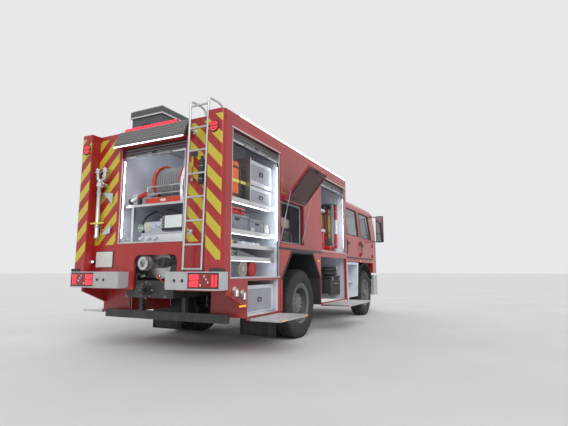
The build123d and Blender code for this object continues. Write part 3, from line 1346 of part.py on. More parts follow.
def door_outline(edges, slant, grow):
    x0, x1 = edges
    return [
        (x0 - 2 * grow, DOOR_SILL - grow),
        (x1 + grow, DOOR_SILL - grow),
        (x1 + grow, CAB_BELT),
        (x1 - slant + grow, DOOR_TOP + grow),
        (x0 - 2 * grow, DOOR_TOP + grow),
    ]


def window_outline(edges, slant):
    x0, x1 = edges
    return [
        (x0 + 80, WINDOW_BOTTOM),
        (x1 - 85, WINDOW_BOTTOM),
        (x1 - 85 - slant, DOOR_TOP - 80),
        (x0 + 80, DOOR_TOP - 80),
    ]


def side_glass_band(depth):
    """Slab of glass just inside the cab's left side, following its inward lean."""
    d0, d1 = depth, depth + GLASS
    z0, z1 = CAB_BELT, CAB_ROOF - 100
    band = [
        (CAB_HALF - d0, z0),
        (CAB_HALF - CAB_TUMBLE - d0, z1),
        (CAB_HALF - CAB_TUMBLE - d1, z1),
        (CAB_HALF - d1, z0),
    ]
    return cross_prism(band, CAB_REAR, FRONT)


outer_skin = cab_solid(0.0, CAB_FLOOR)
inner_room = cab_solid(CAB_WALL, CAB_FLOOR + CAB_WALL)
cab_wall_solid = outer_skin - inner_room
shell = cab_wall_solid
reach = (CAB_HALF - 250, CAB_HALF + 50)
band = side_glass_band(GLASS_INSET)
doors = {}
for name, edges, slant in DOOR_TABLE:
    opening = side_prism(door_outline(edges, slant, MOVE_GAP), *reach)
    shell -= opening
    shell -= mirrored(opening)
    leaf = cab_wall_solid & side_prism(door_outline(edges, slant, 0.0), *reach)
    window = side_prism(window_outline(edges, slant), *reach)
    leaf -= window
    leaf += hinge_barrels(edges[1])
    shell += hinge_lugs(edges[1]) + mirrored(hinge_lugs(edges[1]))
    handle_x = edges[0] + 60
    leaf += block((handle_x, handle_x + 130), (CAB_HALF - 2, CAB_HALF + 18), (CAB_BELT - 140, CAB_BELT - 110))
    doors[name] = (leaf, band & window)

for name, (leaf, pane) in doors.items():
    save(f"{name}_left", leaf, pane)
    save(f"{name}_right", mirrored(leaf), mirrored(pane))

# Grille: rows of blind slots between slats, parted in the middle, in the nose and in the bumper
GRILLE_ROWS = 6
GRILLE_Z = (1040.0, 1240.0)
GRILLE_HALF = 760.0
GRILLE_DEPTH = 28.0
GRILLE_BAR = 9.0
INTAKE_ROWS = 3
INTAKE_Z = (500.0, 610.0)
INTAKE_HALF = 430.0


def grille_slots(rows, z, half, face):
    slots = None
    pitch = (z[1] - z[0]) / rows
    for i in range(rows):
        low = z[0] + i * pitch
        for y in ((-half, -GRILLE_BAR * 2), (GRILLE_BAR * 2, half)):
            slot = block((face - GRILLE_DEPTH, face + 10), y, (low, low + pitch - GRILLE_BAR))
            slots = slot if slots is None else slots + slot
    return slots


# Windscreen and rear window openings
SCREEN_HALF = 960.0
screen_z = (CAB_BELT + 30, CAB_ROOF - 120)
screen_cut = block((CAB_FACE - SCREEN_RAKE - 160, FRONT), (-SCREEN_HALF, SCREEN_HALF), screen_z)
rear_cut = block((CAB_REAR - 1, CAB_REAR + 100), (-700, 700), (WINDOW_BOTTOM + 60, DOOR_TOP - 120))
shell -= screen_cut
shell -= rear_cut
lug = block((TILT_X - 22, TILT_X + 22), TILT_LUG, (TILT_Z, CAB_NOSE_BOTTOM + 5))
lug += crossbar(22, *TILT_LUG, TILT_X, TILT_Z)
lug -= rod_y(TILT_PIN + RUN_FIT, TILT_LUG[0] - 1, TILT_LUG[1] + 1, TILT_X, TILT_Z)
shell += lug + mirrored(lug)
shell -= grille_slots(GRILLE_ROWS, GRILLE_Z, GRILLE_HALF, CAB_FACE)
save("cab_shell", shell)

screen_band = cab_solid(GLASS_INSET, CAB_FLOOR) - cab_solid(GLASS_INSET + GLASS, CAB_FLOOR - 1)
rear_pane_x = (CAB_REAR + GLASS_INSET, CAB_REAR + GLASS_INSET + GLASS)
rear_pane = block(rear_pane_x, (-700, 700), (WINDOW_BOTTOM + 60, DOOR_TOP - 120))
save("cab_glass", screen_band & screen_cut, rear_pane)

# Cab inside: seats in two rows, dashboard and steering wheel, as plain forms
room_floor = CAB_FLOOR + CAB_WALL
interior = []
SEATS = [
    # rear x, centre y, width
    (FRONT_AXLE_X - 160, 600.0, 500.0),
    (FRONT_AXLE_X - 160, -600.0, 500.0),
    (CAB_REAR + 140, 0.0, 1900.0),
]
for x, y, width in SEATS:
    profile = [
        (x, room_floor),
        (x + 480, room_floor),
        (x + 520, room_floor + 430),
        (x + 110, room_floor + 400),
        (x + 20, room_floor + 1080),
        (x - 80, room_floor + 1080),
    ]
    interior.append(side_prism(profile, y - width / 2, y + width / 2))
dash_profile = [
    (CAB_FACE - 470, room_floor),
    (CAB_FACE - 80, room_floor),
    (CAB_FACE - 110, CAB_BELT - 60),
    (CAB_FACE - 380, CAB_BELT - 30),
]
dash = side_prism(dash_profile, -CAB_HALF + 230, CAB_HALF - 230)
column_end = (CAB_FACE - 620, 600, CAB_BELT + 40)
dash += bar(30, (CAB_FACE - 400, 600, CAB_BELT - 160), column_end)
wheel_plane = Plane(origin=column_end, z_dir=(-0.6, 0, 0.8))
wheel_hoop = RegularPolygon(225, HUB_SIDES) - RegularPolygon(195, HUB_SIDES)
dash += extrude(wheel_plane * (wheel_hoop + Rectangle(400, 46)), amount=26)
interior.append(dash)
save("cab_interior", *interior)


# Mirrors on arms ahead of the front doors
def cab_mirror():
    x = FRONT_DOOR[1] + 90
    arm_z = (CAB_BELT + 40, CAB_ROOF - 160)
    arm = None
    for z in arm_z:
        lean = CAB_TUMBLE * max(0.0, z - CAB_BELT) / (CAB_ROOF - 100 - CAB_BELT)
        stay = bar(12, (x, CAB_HALF - lean - 10, z), (x + 90, CAB_HALF + 150, z))
        arm = stay if arm is None else arm + stay
    head = block((x + 60, x + 120), (CAB_HALF + 70, CAB_HALF + 270), (arm_z[0] - 20, arm_z[1] + 20))
    head = chamfer(head.edges().filter_by(Axis.X), 22)
    return arm + head


mirror_left = cab_mirror()
mirror_left -= outer_skin
save("cab_mirrors", mirror_left, mirrored(mirror_left))

# Beacons on the cab roof and one dome on the body roof's corner
BEACON_X = CAB_FACE - SCREEN_RAKE - 260
beacon_bar = block((BEACON_X - 110, BEACON_X + 110), (-700, 700), (CAB_ROOF, CAB_ROOF + 95))
beacon_bar = chamfer(beacon_bar.edges().filter_by(Axis.Y), 20)
save("beacons", beacon_bar)

# Front bumper wrapping round the corners, headlamps in its pockets
BUMPER_HALF = CAB_HALF + 20
BUMPER_WALL = 70.0
BUMPER_REAR_X = FRONT_AXLE_X + 680


def front_bumper_solid(inset):
    """Plan form of the bumper, smaller by the inset and then open above and below."""
    half = BUMPER_HALF - inset
    front = FRONT - inset
    outline = [
        (BUMPER_REAR_X - 1 + (0 if inset else 1), -half),
        (front - 260, -half),
        (front - 90, -half + 90),
        (front, -half + 330),
        (front, half - 330),
        (front - 90, half - 90),
        (front - 260, half),
        (BUMPER_REAR_X - 1 + (0 if inset else 1), half),
    ]
    z0, z1 = FRONT_BUMPER_Z
    return plan_prism(outline, z0 - (1 if inset else 0), z1 + (1 if inset else 0))


bumper = front_bumper_solid(0.0) - front_bumper_solid(BUMPER_WALL)
shelf_x = (FRAME_FRONT_X + 20, FRONT)
bumper_shelf = block(shelf_x, (-BODY_HALF, BODY_HALF), (FRONT_BUMPER_Z[1] - 20, FRONT_BUMPER_Z[1]))
bumper += front_bumper_solid(0.0) & bumper_shelf
HEADLAMP_Y = (700.0, 1060.0)
HEADLAMP_Z = (620.0, 800.0)
pockets = block((FRONT - 260, FRONT + 1), HEADLAMP_Y, HEADLAMP_Z)
pockets += mirrored(pockets)
lamp_solid = front_bumper_solid(8.0) - front_bumper_solid(BUMPER_WALL)
lamp_y = (HEADLAMP_Y[0] + SEAT_GAP, HEADLAMP_Y[1] - SEAT_GAP)
lamp_room = block((FRONT - 260, FRONT), lamp_y, (HEADLAMP_Z[0] + SEAT_GAP, HEADLAMP_Z[1] - SEAT_GAP))
headlamp = lamp_solid & lamp_room
bumper -= pockets
for y in (-FRAME_HALF, FRAME_HALF - FRAME_FLANGE):
    bracket_x = (FRAME_FRONT_X + SEAT_GAP, FRONT - BUMPER_WALL + 1)
    bumper += block(bracket_x, (y, y + FRAME_FLANGE), (FRAME_BOTTOM + 20, FRAME_TOP - 90))
bumper -= grille_slots(INTAKE_ROWS, INTAKE_Z, INTAKE_HALF, FRONT)
save("front_bumper", bumper)
save("headlamps", headlamp, mirrored(headlamp))


# Light-grey step wells behind the front wheels
def step_well():
    top = CAB_FLOOR - 10
    outline = [
        (CAB_REAR + 20, top),
        (FRONT_AXLE_X - 590, top),
        (FRONT_AXLE_X - 700, SKIRT_Z + 20),
        (CAB_REAR + 110, SKIRT_Z + 20),
    ]
    room = [
        (CAB_REAR + 140, top - 50),
        (FRONT_AXLE_X - 700, top - 50),
        (FRONT_AXLE_X - 780, SKIRT_Z + 60),
        (CAB_REAR + 190, SKIRT_Z + 60),
    ]
    y0 = CAB_HALF - STEP_WELL_DEPTH
    well = side_prism(outline, y0, CAB_HALF)
    well -= side_prism(room, y0 + 30, CAB_HALF + 1)
    for z in (SKIRT_Z + 330,):
        well += block((CAB_REAR + 150, FRONT_AXLE_X - 720), (y0 + 10, CAB_HALF - 90), (z, z + 30))
    well += block((CAB_REAR + 300, CAB_REAR + 360), (FRAME_HALF, y0 + 1), (FRAME_TOP - 120, FRAME_TOP - 40))
    return well


well_left = step_well()
save("step_wells", well_left, mirrored(well_left))
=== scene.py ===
import json
import math

import bmesh
import bpy
from mathutils import Matrix, Vector

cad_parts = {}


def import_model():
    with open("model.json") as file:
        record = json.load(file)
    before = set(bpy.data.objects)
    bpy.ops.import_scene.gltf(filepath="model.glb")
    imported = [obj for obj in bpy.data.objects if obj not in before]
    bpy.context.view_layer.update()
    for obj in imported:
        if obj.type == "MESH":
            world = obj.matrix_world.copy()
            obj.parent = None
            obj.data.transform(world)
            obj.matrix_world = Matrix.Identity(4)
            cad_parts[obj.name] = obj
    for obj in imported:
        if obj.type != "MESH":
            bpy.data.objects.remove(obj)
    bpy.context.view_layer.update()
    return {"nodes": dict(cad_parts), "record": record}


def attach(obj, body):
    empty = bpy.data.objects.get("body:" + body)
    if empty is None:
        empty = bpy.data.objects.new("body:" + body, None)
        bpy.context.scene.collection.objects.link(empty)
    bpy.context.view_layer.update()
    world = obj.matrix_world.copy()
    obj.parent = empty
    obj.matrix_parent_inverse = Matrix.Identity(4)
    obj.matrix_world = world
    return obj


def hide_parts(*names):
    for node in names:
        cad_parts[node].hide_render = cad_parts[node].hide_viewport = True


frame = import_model()

# Driving dimensions in metres, in the frame's own axes: +X forward, +Y left, +Z up
REAR = -3.75
BODY_REAR = -3.72
BODY_FRONT = 0.85
BODY_HALF = 1.25
ROOF_Z = 2.98
DECK_Z = 1.42
SKIRT_Z = 0.465
SILL_Z = 0.967
BAY_TOP = 2.79
RECESS_X = BODY_REAR + 0.15
COLUMN_INNER = 1.02
OPENING_HALF = 0.565
OPENING_TOP = 2.745
REAR_AXLE_X = -1.45
FRONT_AXLE_X = 2.45
AXLE_Z = 0.535
TYRE_RADIUS = 0.535
TYRE_WIDTH = 0.275
RIM_RADIUS = 0.300
REAR_BAY_X = (-3.53, -2.26)
FRONT_BAY_X = (-0.61, 0.78)
CAB_REAR = 0.90
CAB_FACE = 3.68
CAB_HALF = 1.20
CAB_BELT = 1.780
CAB_LEAN = 0.070
CAB_LEAN_HEIGHT = 0.760
CAB_ROOM = 1.300
CHEST_SPAN = (-3.240, -1.420)

# Camera of the photograph
CAMERA_PLACE = (-7.602, -3.981, 1.036)
CAMERA_YAW = 26.52
CAMERA_PITCH = 8.07
CAMERA_FOCAL = 413.0
PHOTO_WIDTH = 568.0
SENSOR = 36.0

AHEAD, BACK = (1, 0, 0), (-1, 0, 0)
LEFT, UP = (0, 1, 0), (0, 0, 1)
SIDES = ((1, "left"), (-1, "right"))
BLACK, ALUMINIUM = "black_plastic", "bare_aluminium"


def span(side, a, b):
    """Two distances from the middle plane as y values on one side, the lower first."""
    return sorted((side * a, side * b))


def ordered(low, high):
    """Lowest and highest corner of the box between two corners."""
    pairs = [sorted(pair) for pair in zip(low, high)]
    return Vector([a for a, b in pairs]), Vector([b for a, b in pairs])


# Materials

class Look:
    """A material under construction: its tree, its shader and short calls for common nodes."""

    def __init__(self, name, color, roughness=0.5, metallic=0.0, **sockets):
        self.material = bpy.data.materials.new(name)
        self.material.use_nodes = True
        self.tree = self.material.node_tree
        self.shader = self.tree.nodes["Principled BSDF"]
        self.set("Base Color", (*color, 1.0))
        self.set("Roughness", roughness)
        self.set("Metallic", metallic)
        for socket, value in sockets.items():
            self.set(socket.replace("_", " "), value)
        self.coords = self.node("ShaderNodeTexCoord").outputs["Object"]

    def set(self, socket, value):
        self.shader.inputs[socket].default_value = value

    def node(self, kind, **settings):
        made = self.tree.nodes.new(kind)
        for key, value in settings.items():
            setattr(made, key, value)
        return made

    def feed(self, socket, value):
        """Link an output to a socket, or set the socket to a number."""
        if isinstance(value, bpy.types.NodeSocket):
            self.tree.links.new(value, socket)
        else:
            socket.default_value = value

    def math(self, operation, a, b=0.0, c=0.0):
        made = self.node("ShaderNodeMath", operation=operation)
        for socket, value in zip(made.inputs, (a, b, c)):
            self.feed(socket, value)
        return made.outputs[0]

    def axes(self):
        split = self.node("ShaderNodeSeparateXYZ")
        self.feed(split.inputs[0], self.coords)
        return split.outputs[0], split.outputs[1], split.outputs[2]

    def noise(self, scale, detail=3.0, stretch=None, roughness=0.55):
        made = self.node("ShaderNodeTexNoise")
        made.inputs["Scale"].default_value = scale
        made.inputs["Detail"].default_value = detail
        made.inputs["Roughness"].default_value = roughness
        place = self.coords
        if stretch:
            mapping = self.node("ShaderNodeMapping")
            mapping.inputs["Scale"].default_value = stretch
            self.feed(mapping.inputs["Vector"], self.coords)
            place = mapping.outputs[0]
        self.feed(made.inputs["Vector"], place)
        return made.outputs["Fac"]

    def spread(self, value, low, high, new_low=0.0, new_high=1.0):
        made = self.node("ShaderNodeMapRange")
        for key, number in zip(("From Min", "From Max", "To Min", "To Max"),
                               (low, high, new_low, new_high)):
            made.inputs[key].default_value = number
        self.feed(made.inputs["Value"], value)
        return made.outputs[0]

    def mix(self, share, first, second):
        made = self.node("ShaderNodeMix", data_type="RGBA")
        self.feed(made.inputs["Factor"], share)
        for socket, value in ((made.inputs[6], first), (made.inputs[7], second)):
            if isinstance(value, tuple):
                value = (*value, 1.0)
            self.feed(socket, value)
        return made.outputs[2]

    def bump(self, height, strength, distance, below=None):
        made = self.node("ShaderNodeBump")
        made.inputs["Strength"].default_value = strength
        made.inputs["Distance"].default_value = distance
        self.feed(made.inputs["Height"], height)
        if below is not None:
            self.feed(made.inputs["Normal"], below)
        return made.outputs[0]

    def use(self, socket, value):
        self.feed(self.shader.inputs[socket], value)
        return self


def worn(look, color, dirt=(0.16, 0.145, 0.13), amount=0.35, rough=(0.25, 0.42),
         grain=380.0, height=0.0004):
    """Colour that varies a little, road dirt low down, uneven gloss and a fine grain."""
    z = look.axes()[2]
    clouds = look.noise(1.7, 5.0)
    specks = look.noise(38.0, 4.0)
    low = look.spread(z, 1.3, 0.35)
    streaks = look.noise(9.0, 4.0, stretch=(1.0, 1.0, 0.18))
    film = look.math("MULTIPLY", look.spread(streaks, 0.42, 0.75), look.math("ADD", low, 0.12))
    film = look.math("MULTIPLY", film, amount)
    light = tuple(min(1.0, c * 1.10 + 0.004) for c in color)
    dark = tuple(c * 0.84 for c in color)
    varied = look.mix(look.spread(clouds, 0.3, 0.7), dark, light)
    look.use("Base Color", look.mix(film, varied, dirt))
    gloss = look.math("ADD", look.spread(specks, 0.3, 0.7, *rough), look.math("MULTIPLY", film, 0.5))
    look.use("Roughness", gloss)
    look.use("Normal", look.bump(look.noise(grain, 2.0), 0.25, height))
    return look


def gloss_paint(name, color):
    look = Look(name, color, 0.3, Coat_Weight=0.35, Coat_Roughness=0.12)
    return worn(look, color, rough=(0.26, 0.40), grain=260.0).material


def satin_paint(name, color, amount=0.3):
    return worn(Look(name, color, 0.45), color, amount=amount, rough=(0.38, 0.55)).material


def metal(name, color, rough=(0.28, 0.42), brush=None, amount=0.25):
    """Bare metal, with brush marks along the axis whose stretch is small."""
    look = worn(Look(name, color, 0.35, 1.0), color, amount=amount, rough=rough)
    if brush:
        lines = look.noise(520.0, 2.0, stretch=brush)
        look.use("Normal", look.bump(lines, 0.22, 0.0004))
    return look.material


def plastic(name, color, rough=(0.45, 0.62), grain=900.0):
    return worn(Look(name, color, 0.5), color, amount=0.3, rough=rough, grain=grain, height=0.0006).material


def rubber(name, color):
    look = worn(Look(name, color, 0.8), color, dirt=(0.12, 0.11, 0.10), amount=0.6,
                rough=(0.7, 0.9), grain=420.0)
    return look.material


def glow(name, color, strength, rough=0.25):
    """Lit lens: its own colour, a fine prism pattern and a soft glow."""
    look = Look(name, color, rough)
    look.set("Emission Color", (*color, 1.0))
    look.set("Emission Strength", strength)
    cells = look.node("ShaderNodeTexVoronoi")
    cells.inputs["Scale"].default_value = 120.0
    look.feed(cells.inputs["Vector"], look.coords)
    look.use("Normal", look.bump(cells.outputs["Distance"], 0.3, 0.001))
    look.use("Roughness", look.spread(look.noise(60.0), 0.3, 0.7, rough - 0.08, rough + 0.1))
    return look.material


def lens(name, color, rough=0.12):
    """Unlit lens of clear coloured plastic."""
    look = Look(name, color, rough, Coat_Weight=0.6)
    ribs = look.node("ShaderNodeTexVoronoi")
    ribs.inputs["Scale"].default_value = 90.0
    look.feed(ribs.inputs["Vector"], look.coords)
    shade = look.mix(look.spread(ribs.outputs["Distance"], 0.0, 0.7), tuple(c * 0.7 for c in color), color)
    look.use("Base Color", shade)
    look.use("Normal", look.bump(ribs.outputs["Distance"], 0.25, 0.0015))
    return look.material


def cloth(name, color, thread=900.0):
    look = worn(Look(name, color, 0.85, Sheen_Weight=0.25), color, amount=0.25, rough=(0.75, 0.95))
    weave = look.node("ShaderNodeTexWave", wave_type="BANDS", bands_direction="DIAGONAL")
    weave.inputs["Scale"].default_value = thread / 6.0
    weave.inputs["Distortion"].default_value = 2.0
    look.feed(weave.inputs["Vector"], look.coords)
    look.use("Normal", look.bump(weave.outputs["Fac"], 0.4, 0.001))
    return look.material


def glass(name, color):
    look = Look(name, color, 0.04, Transmission_Weight=0.85, IOR=1.45)
    look.use("Roughness", look.spread(look.noise(6.0, 4.0), 0.35, 0.8, 0.01, 0.05))
    return look.material


CHEVRON_PERIOD = 0.283
CHEVRON_SHIFT = 0.06
CHEVRON_TOP = 2.92
CHEVRON_INNER = 0.62


def stripe_share(look, period, shift):
    """0 or 1 in diagonal bands that rise towards the middle of the rear."""
    _, y, z = look.axes()
    climb = look.math("ADD", look.math("ABSOLUTE", y), z)
    phase = look.math("FRACT", look.math("DIVIDE", look.math("ADD", climb, shift), period))
    return look.math("GREATER_THAN", phase, 0.5)


def chevrons(name, red, yellow, lowest, behind):
    """Reflective diagonal stripes on the faces that look to the rear, and plain paint elsewhere."""
    look = Look(name, red, 0.3, Coat_Weight=0.3, Coat_Roughness=0.15)
    worn(look, red, rough=(0.28, 0.42), grain=260.0)
    base = look.shader.inputs["Base Color"].links[0].from_socket
    x, y, z = look.axes()
    high = look.math("GREATER_THAN", z, lowest)
    rear = look.math("LESS_THAN", x, behind)
    below_roof = look.math("LESS_THAN", z, CHEVRON_TOP)
    apart = look.math("GREATER_THAN", look.math("ABSOLUTE", y), CHEVRON_INNER)
    place = look.math("MULTIPLY", look.math("MULTIPLY", high, rear),
                      look.math("MULTIPLY", below_roof, apart))
    share = look.math("MULTIPLY", stripe_share(look, CHEVRON_PERIOD, CHEVRON_SHIFT), place)
    film = look.mix(look.spread(look.noise(70.0, 2.0), 0.3, 0.7), tuple(c * 0.86 for c in yellow), yellow)
    look.use("Base Color", look.mix(share, base, film))
    return look.material


RED = (0.40, 0.012, 0.012)
YELLOW = (0.62, 0.52, 0.035)
# Light grey paint of the bays and kit, tinted blue and made paler than the paint itself: painted light of
# the bays' bluish lamps
GREY_WITH_PAINTED_BLUE_LIGHT = (0.70, 0.74, 0.81)

MAKERS = {
    "red_paint": lambda name: gloss_paint(name, RED),
    "column_stripes": lambda name: chevrons(name, RED, YELLOW, 1.17, BODY_REAR + 0.012),
    "wall_stripes": lambda name: chevrons(name, RED, YELLOW, 1.40, RECESS_X + 0.004),
    ALUMINIUM: lambda name: metal(name, (0.66, 0.67, 0.68), brush=(0.03, 1.0, 1.0)),
    "dull_metal": lambda name: metal(name, (0.36, 0.36, 0.36), (0.38, 0.52), amount=0.35),
    "bronze": lambda name: metal(name, (0.36, 0.27, 0.17), (0.40, 0.55), amount=0.40),
    "tread_metal": lambda name: metal(name, (0.80, 0.81, 0.83), (0.48, 0.62), amount=0.20),
    # light grey paint carrying the painted blue light of the bay lamps
    "light_grey": lambda name: satin_paint(name, GREY_WITH_PAINTED_BLUE_LIGHT, 0.15),
    "frame_grey": lambda name: satin_paint(name, (0.036, 0.037, 0.040), 0.4),
    BLACK: lambda name: plastic(name, (0.028, 0.028, 0.030)),
    "tyre_rubber": lambda name: rubber(name, (0.022, 0.022, 0.023)),
    # rims' grey paint darkened past its own tone: painted shade of the wheels standing in shadow
    "rim_paint": lambda name: satin_paint(name, (0.15, 0.153, 0.162), 0.5),
    "silver_paint": lambda name: satin_paint(name, (0.50, 0.51, 0.53), 0.25),
    "pane_glass": lambda name: glass(name, (0.42, 0.46, 0.46)),
    "lamp_glass": lambda name: glass(name, (0.93, 0.95, 0.96)),
    "red_lens": lambda name: glow(name, (0.90, 0.025, 0.045), 1.5),
    "dark_red_lens": lambda name: lens(name, (0.30, 0.012, 0.014)),
    "white_lens": lambda name: glow(name, (0.93, 0.95, 1.0), 3.0),
    "bay_light": lambda name: glow(name, (0.84, 0.91, 1.0), 32.0),
    "shelf_light": lambda name: glow(name, (0.84, 0.91, 1.0), 4.5),
    "clear_lens": lambda name: lens(name, (0.78, 0.80, 0.82)),
    "amber_lens": lambda name: glow(name, (0.95, 0.33, 0.02), 0.8),
    "blue_lens": lambda name: lens(name, (0.02, 0.10, 0.60)),
    "cabin_trim": lambda name: plastic(name, (0.10, 0.10, 0.105)),
    "seat_cloth": lambda name: cloth(name, (0.07, 0.075, 0.09)),
    "red_hose": lambda name: rubber(name, (0.45, 0.03, 0.02)),
    "grey_hose": lambda name: rubber(name, (0.33, 0.335, 0.35)),
    "orange_cloth": lambda name: cloth(name, (0.80, 0.16, 0.03)),
    "black_cloth": lambda name: cloth(name, (0.03, 0.03, 0.033)),
    "yellow_band": lambda name: cloth(name, (0.72, 0.66, 0.08)),
    "steel": lambda name: metal(name, (0.48, 0.49, 0.50), brush=(1.0, 1.0, 0.04)),
    "reel_red": lambda name: satin_paint(name, (0.62, 0.045, 0.022), 0.1),
    "case_red": lambda name: plastic(name, (0.50, 0.020, 0.018)),
    "clear_hose": lambda name: plastic(name, (0.62, 0.66, 0.70), rough=(0.25, 0.4)),
    "hose_canvas": lambda name: cloth(name, (0.40, 0.37, 0.30)),
    "valve_green": lambda name: plastic(name, (0.36, 0.52, 0.36)),
    "yellow_plastic": lambda name: plastic(name, (0.66, 0.48, 0.03)),
    "bottle_white": lambda name: plastic(name, (0.70, 0.71, 0.70)),
    "crate_grey": lambda name: plastic(name, (0.24, 0.26, 0.30)),
    "drawer_grey": lambda name: satin_paint(name, (0.33, 0.35, 0.39), 0.15),
    "hood_grey": lambda name: satin_paint(name, (0.15, 0.14, 0.14), 0.3),
    "plate_white": lambda name: satin_paint(name, (0.72, 0.72, 0.68), 0.2),
    "satin_button": lambda name: plastic(name, (0.45, 0.46, 0.47)),
    "screen_white": lambda name: glow(name, (0.60, 0.66, 0.64), 0.12),
    "shutter_grey": lambda name: metal(name, (0.30, 0.29, 0.30), brush=(0.03, 1.0, 1.0)),
    "chest_grey": lambda name: satin_paint(name, (0.085, 0.085, 0.092), 0.2),
    # flap lining: red paint darkened to near black, painted shade of the open flaps' shaded underside
    "painted_shade_lining": lambda name: satin_paint(name, (0.075, 0.018, 0.020), 0.2),
    "mirror_glass": lambda name: metal(name, (0.60, 0.62, 0.64), rough=(0.03, 0.06), amount=0.05),
    "screen_dark": lambda name: lens(name, (0.02, 0.022, 0.026)),
    "yellow_film": lambda name: satin_paint(name, (0.60, 0.46, 0.05), 0.1),
    "blue_strap": lambda name: cloth(name, (0.02, 0.045, 0.16)),
    "pennant_blue": lambda name: plastic(name, (0.52, 0.58, 0.66)),
    "wheel_cream": lambda name: plastic(name, (0.66, 0.62, 0.42)),
    "wheel_blue": lambda name: plastic(name, (0.42, 0.52, 0.70)),
    "orange_line": lambda name: plastic(name, (0.45, 0.12, 0.02)),
    "chrome": lambda name: metal(name, (0.72, 0.73, 0.75), rough=(0.10, 0.2), amount=0.1),
}
made_materials = {}


def material(key):
    """A material by its name, made once."""
    if key not in made_materials:
        made_materials[key] = MAKERS[key](key)
    return made_materials[key]


SLOTS = {row["node"]: row["material_slot"] for row in frame["record"]["subparts"]}
NODE_LOOKS = {"rear_columns": "column_stripes", "rear_wall": "wall_stripes", "roof_chest": "chest_grey"}
for word in ("left", "right"):
    NODE_LOOKS[f"strut_cylinders_{word}"] = "steel"
    NODE_LOOKS[f"strut_rods_{word}"] = "chrome"
for node, obj in frame["nodes"].items():
    obj.data.materials.clear()
    obj.data.materials.append(material(NODE_LOOKS.get(node, SLOTS[node])))


PANE_DEPTH = (0.015, 0.027)


def cab_y(z):
    """Half width of the cab's skin at a height."""
    return CAB_HALF - CAB_LEAN * max(0.0, z - CAB_BELT) / CAB_LEAN_HEIGHT


def glaze(obj):
    """Gives the pane in a door node its glass: the faces that lie a pane's depth behind the skin."""
    mesh = obj.data
    mesh.materials.append(material("pane_glass"))
    for face in mesh.polygons:
        points = [mesh.vertices[i].co for i in face.vertices]
        depths = [cab_y(co.z) - abs(co.y) for co in points]
        in_pane = PANE_DEPTH[0] < min(depths) and max(depths) < PANE_DEPTH[1]
        if in_pane and min(co.z for co in points) > CAB_BELT:
            face.material_index = 1


for door in ("front_door_left", "front_door_right", "crew_door_left", "crew_door_right"):
    glaze(frame["nodes"][door])


# Building pieces

AXIS_LIMIT = 1e-6   # a radius below this is a point on the axis


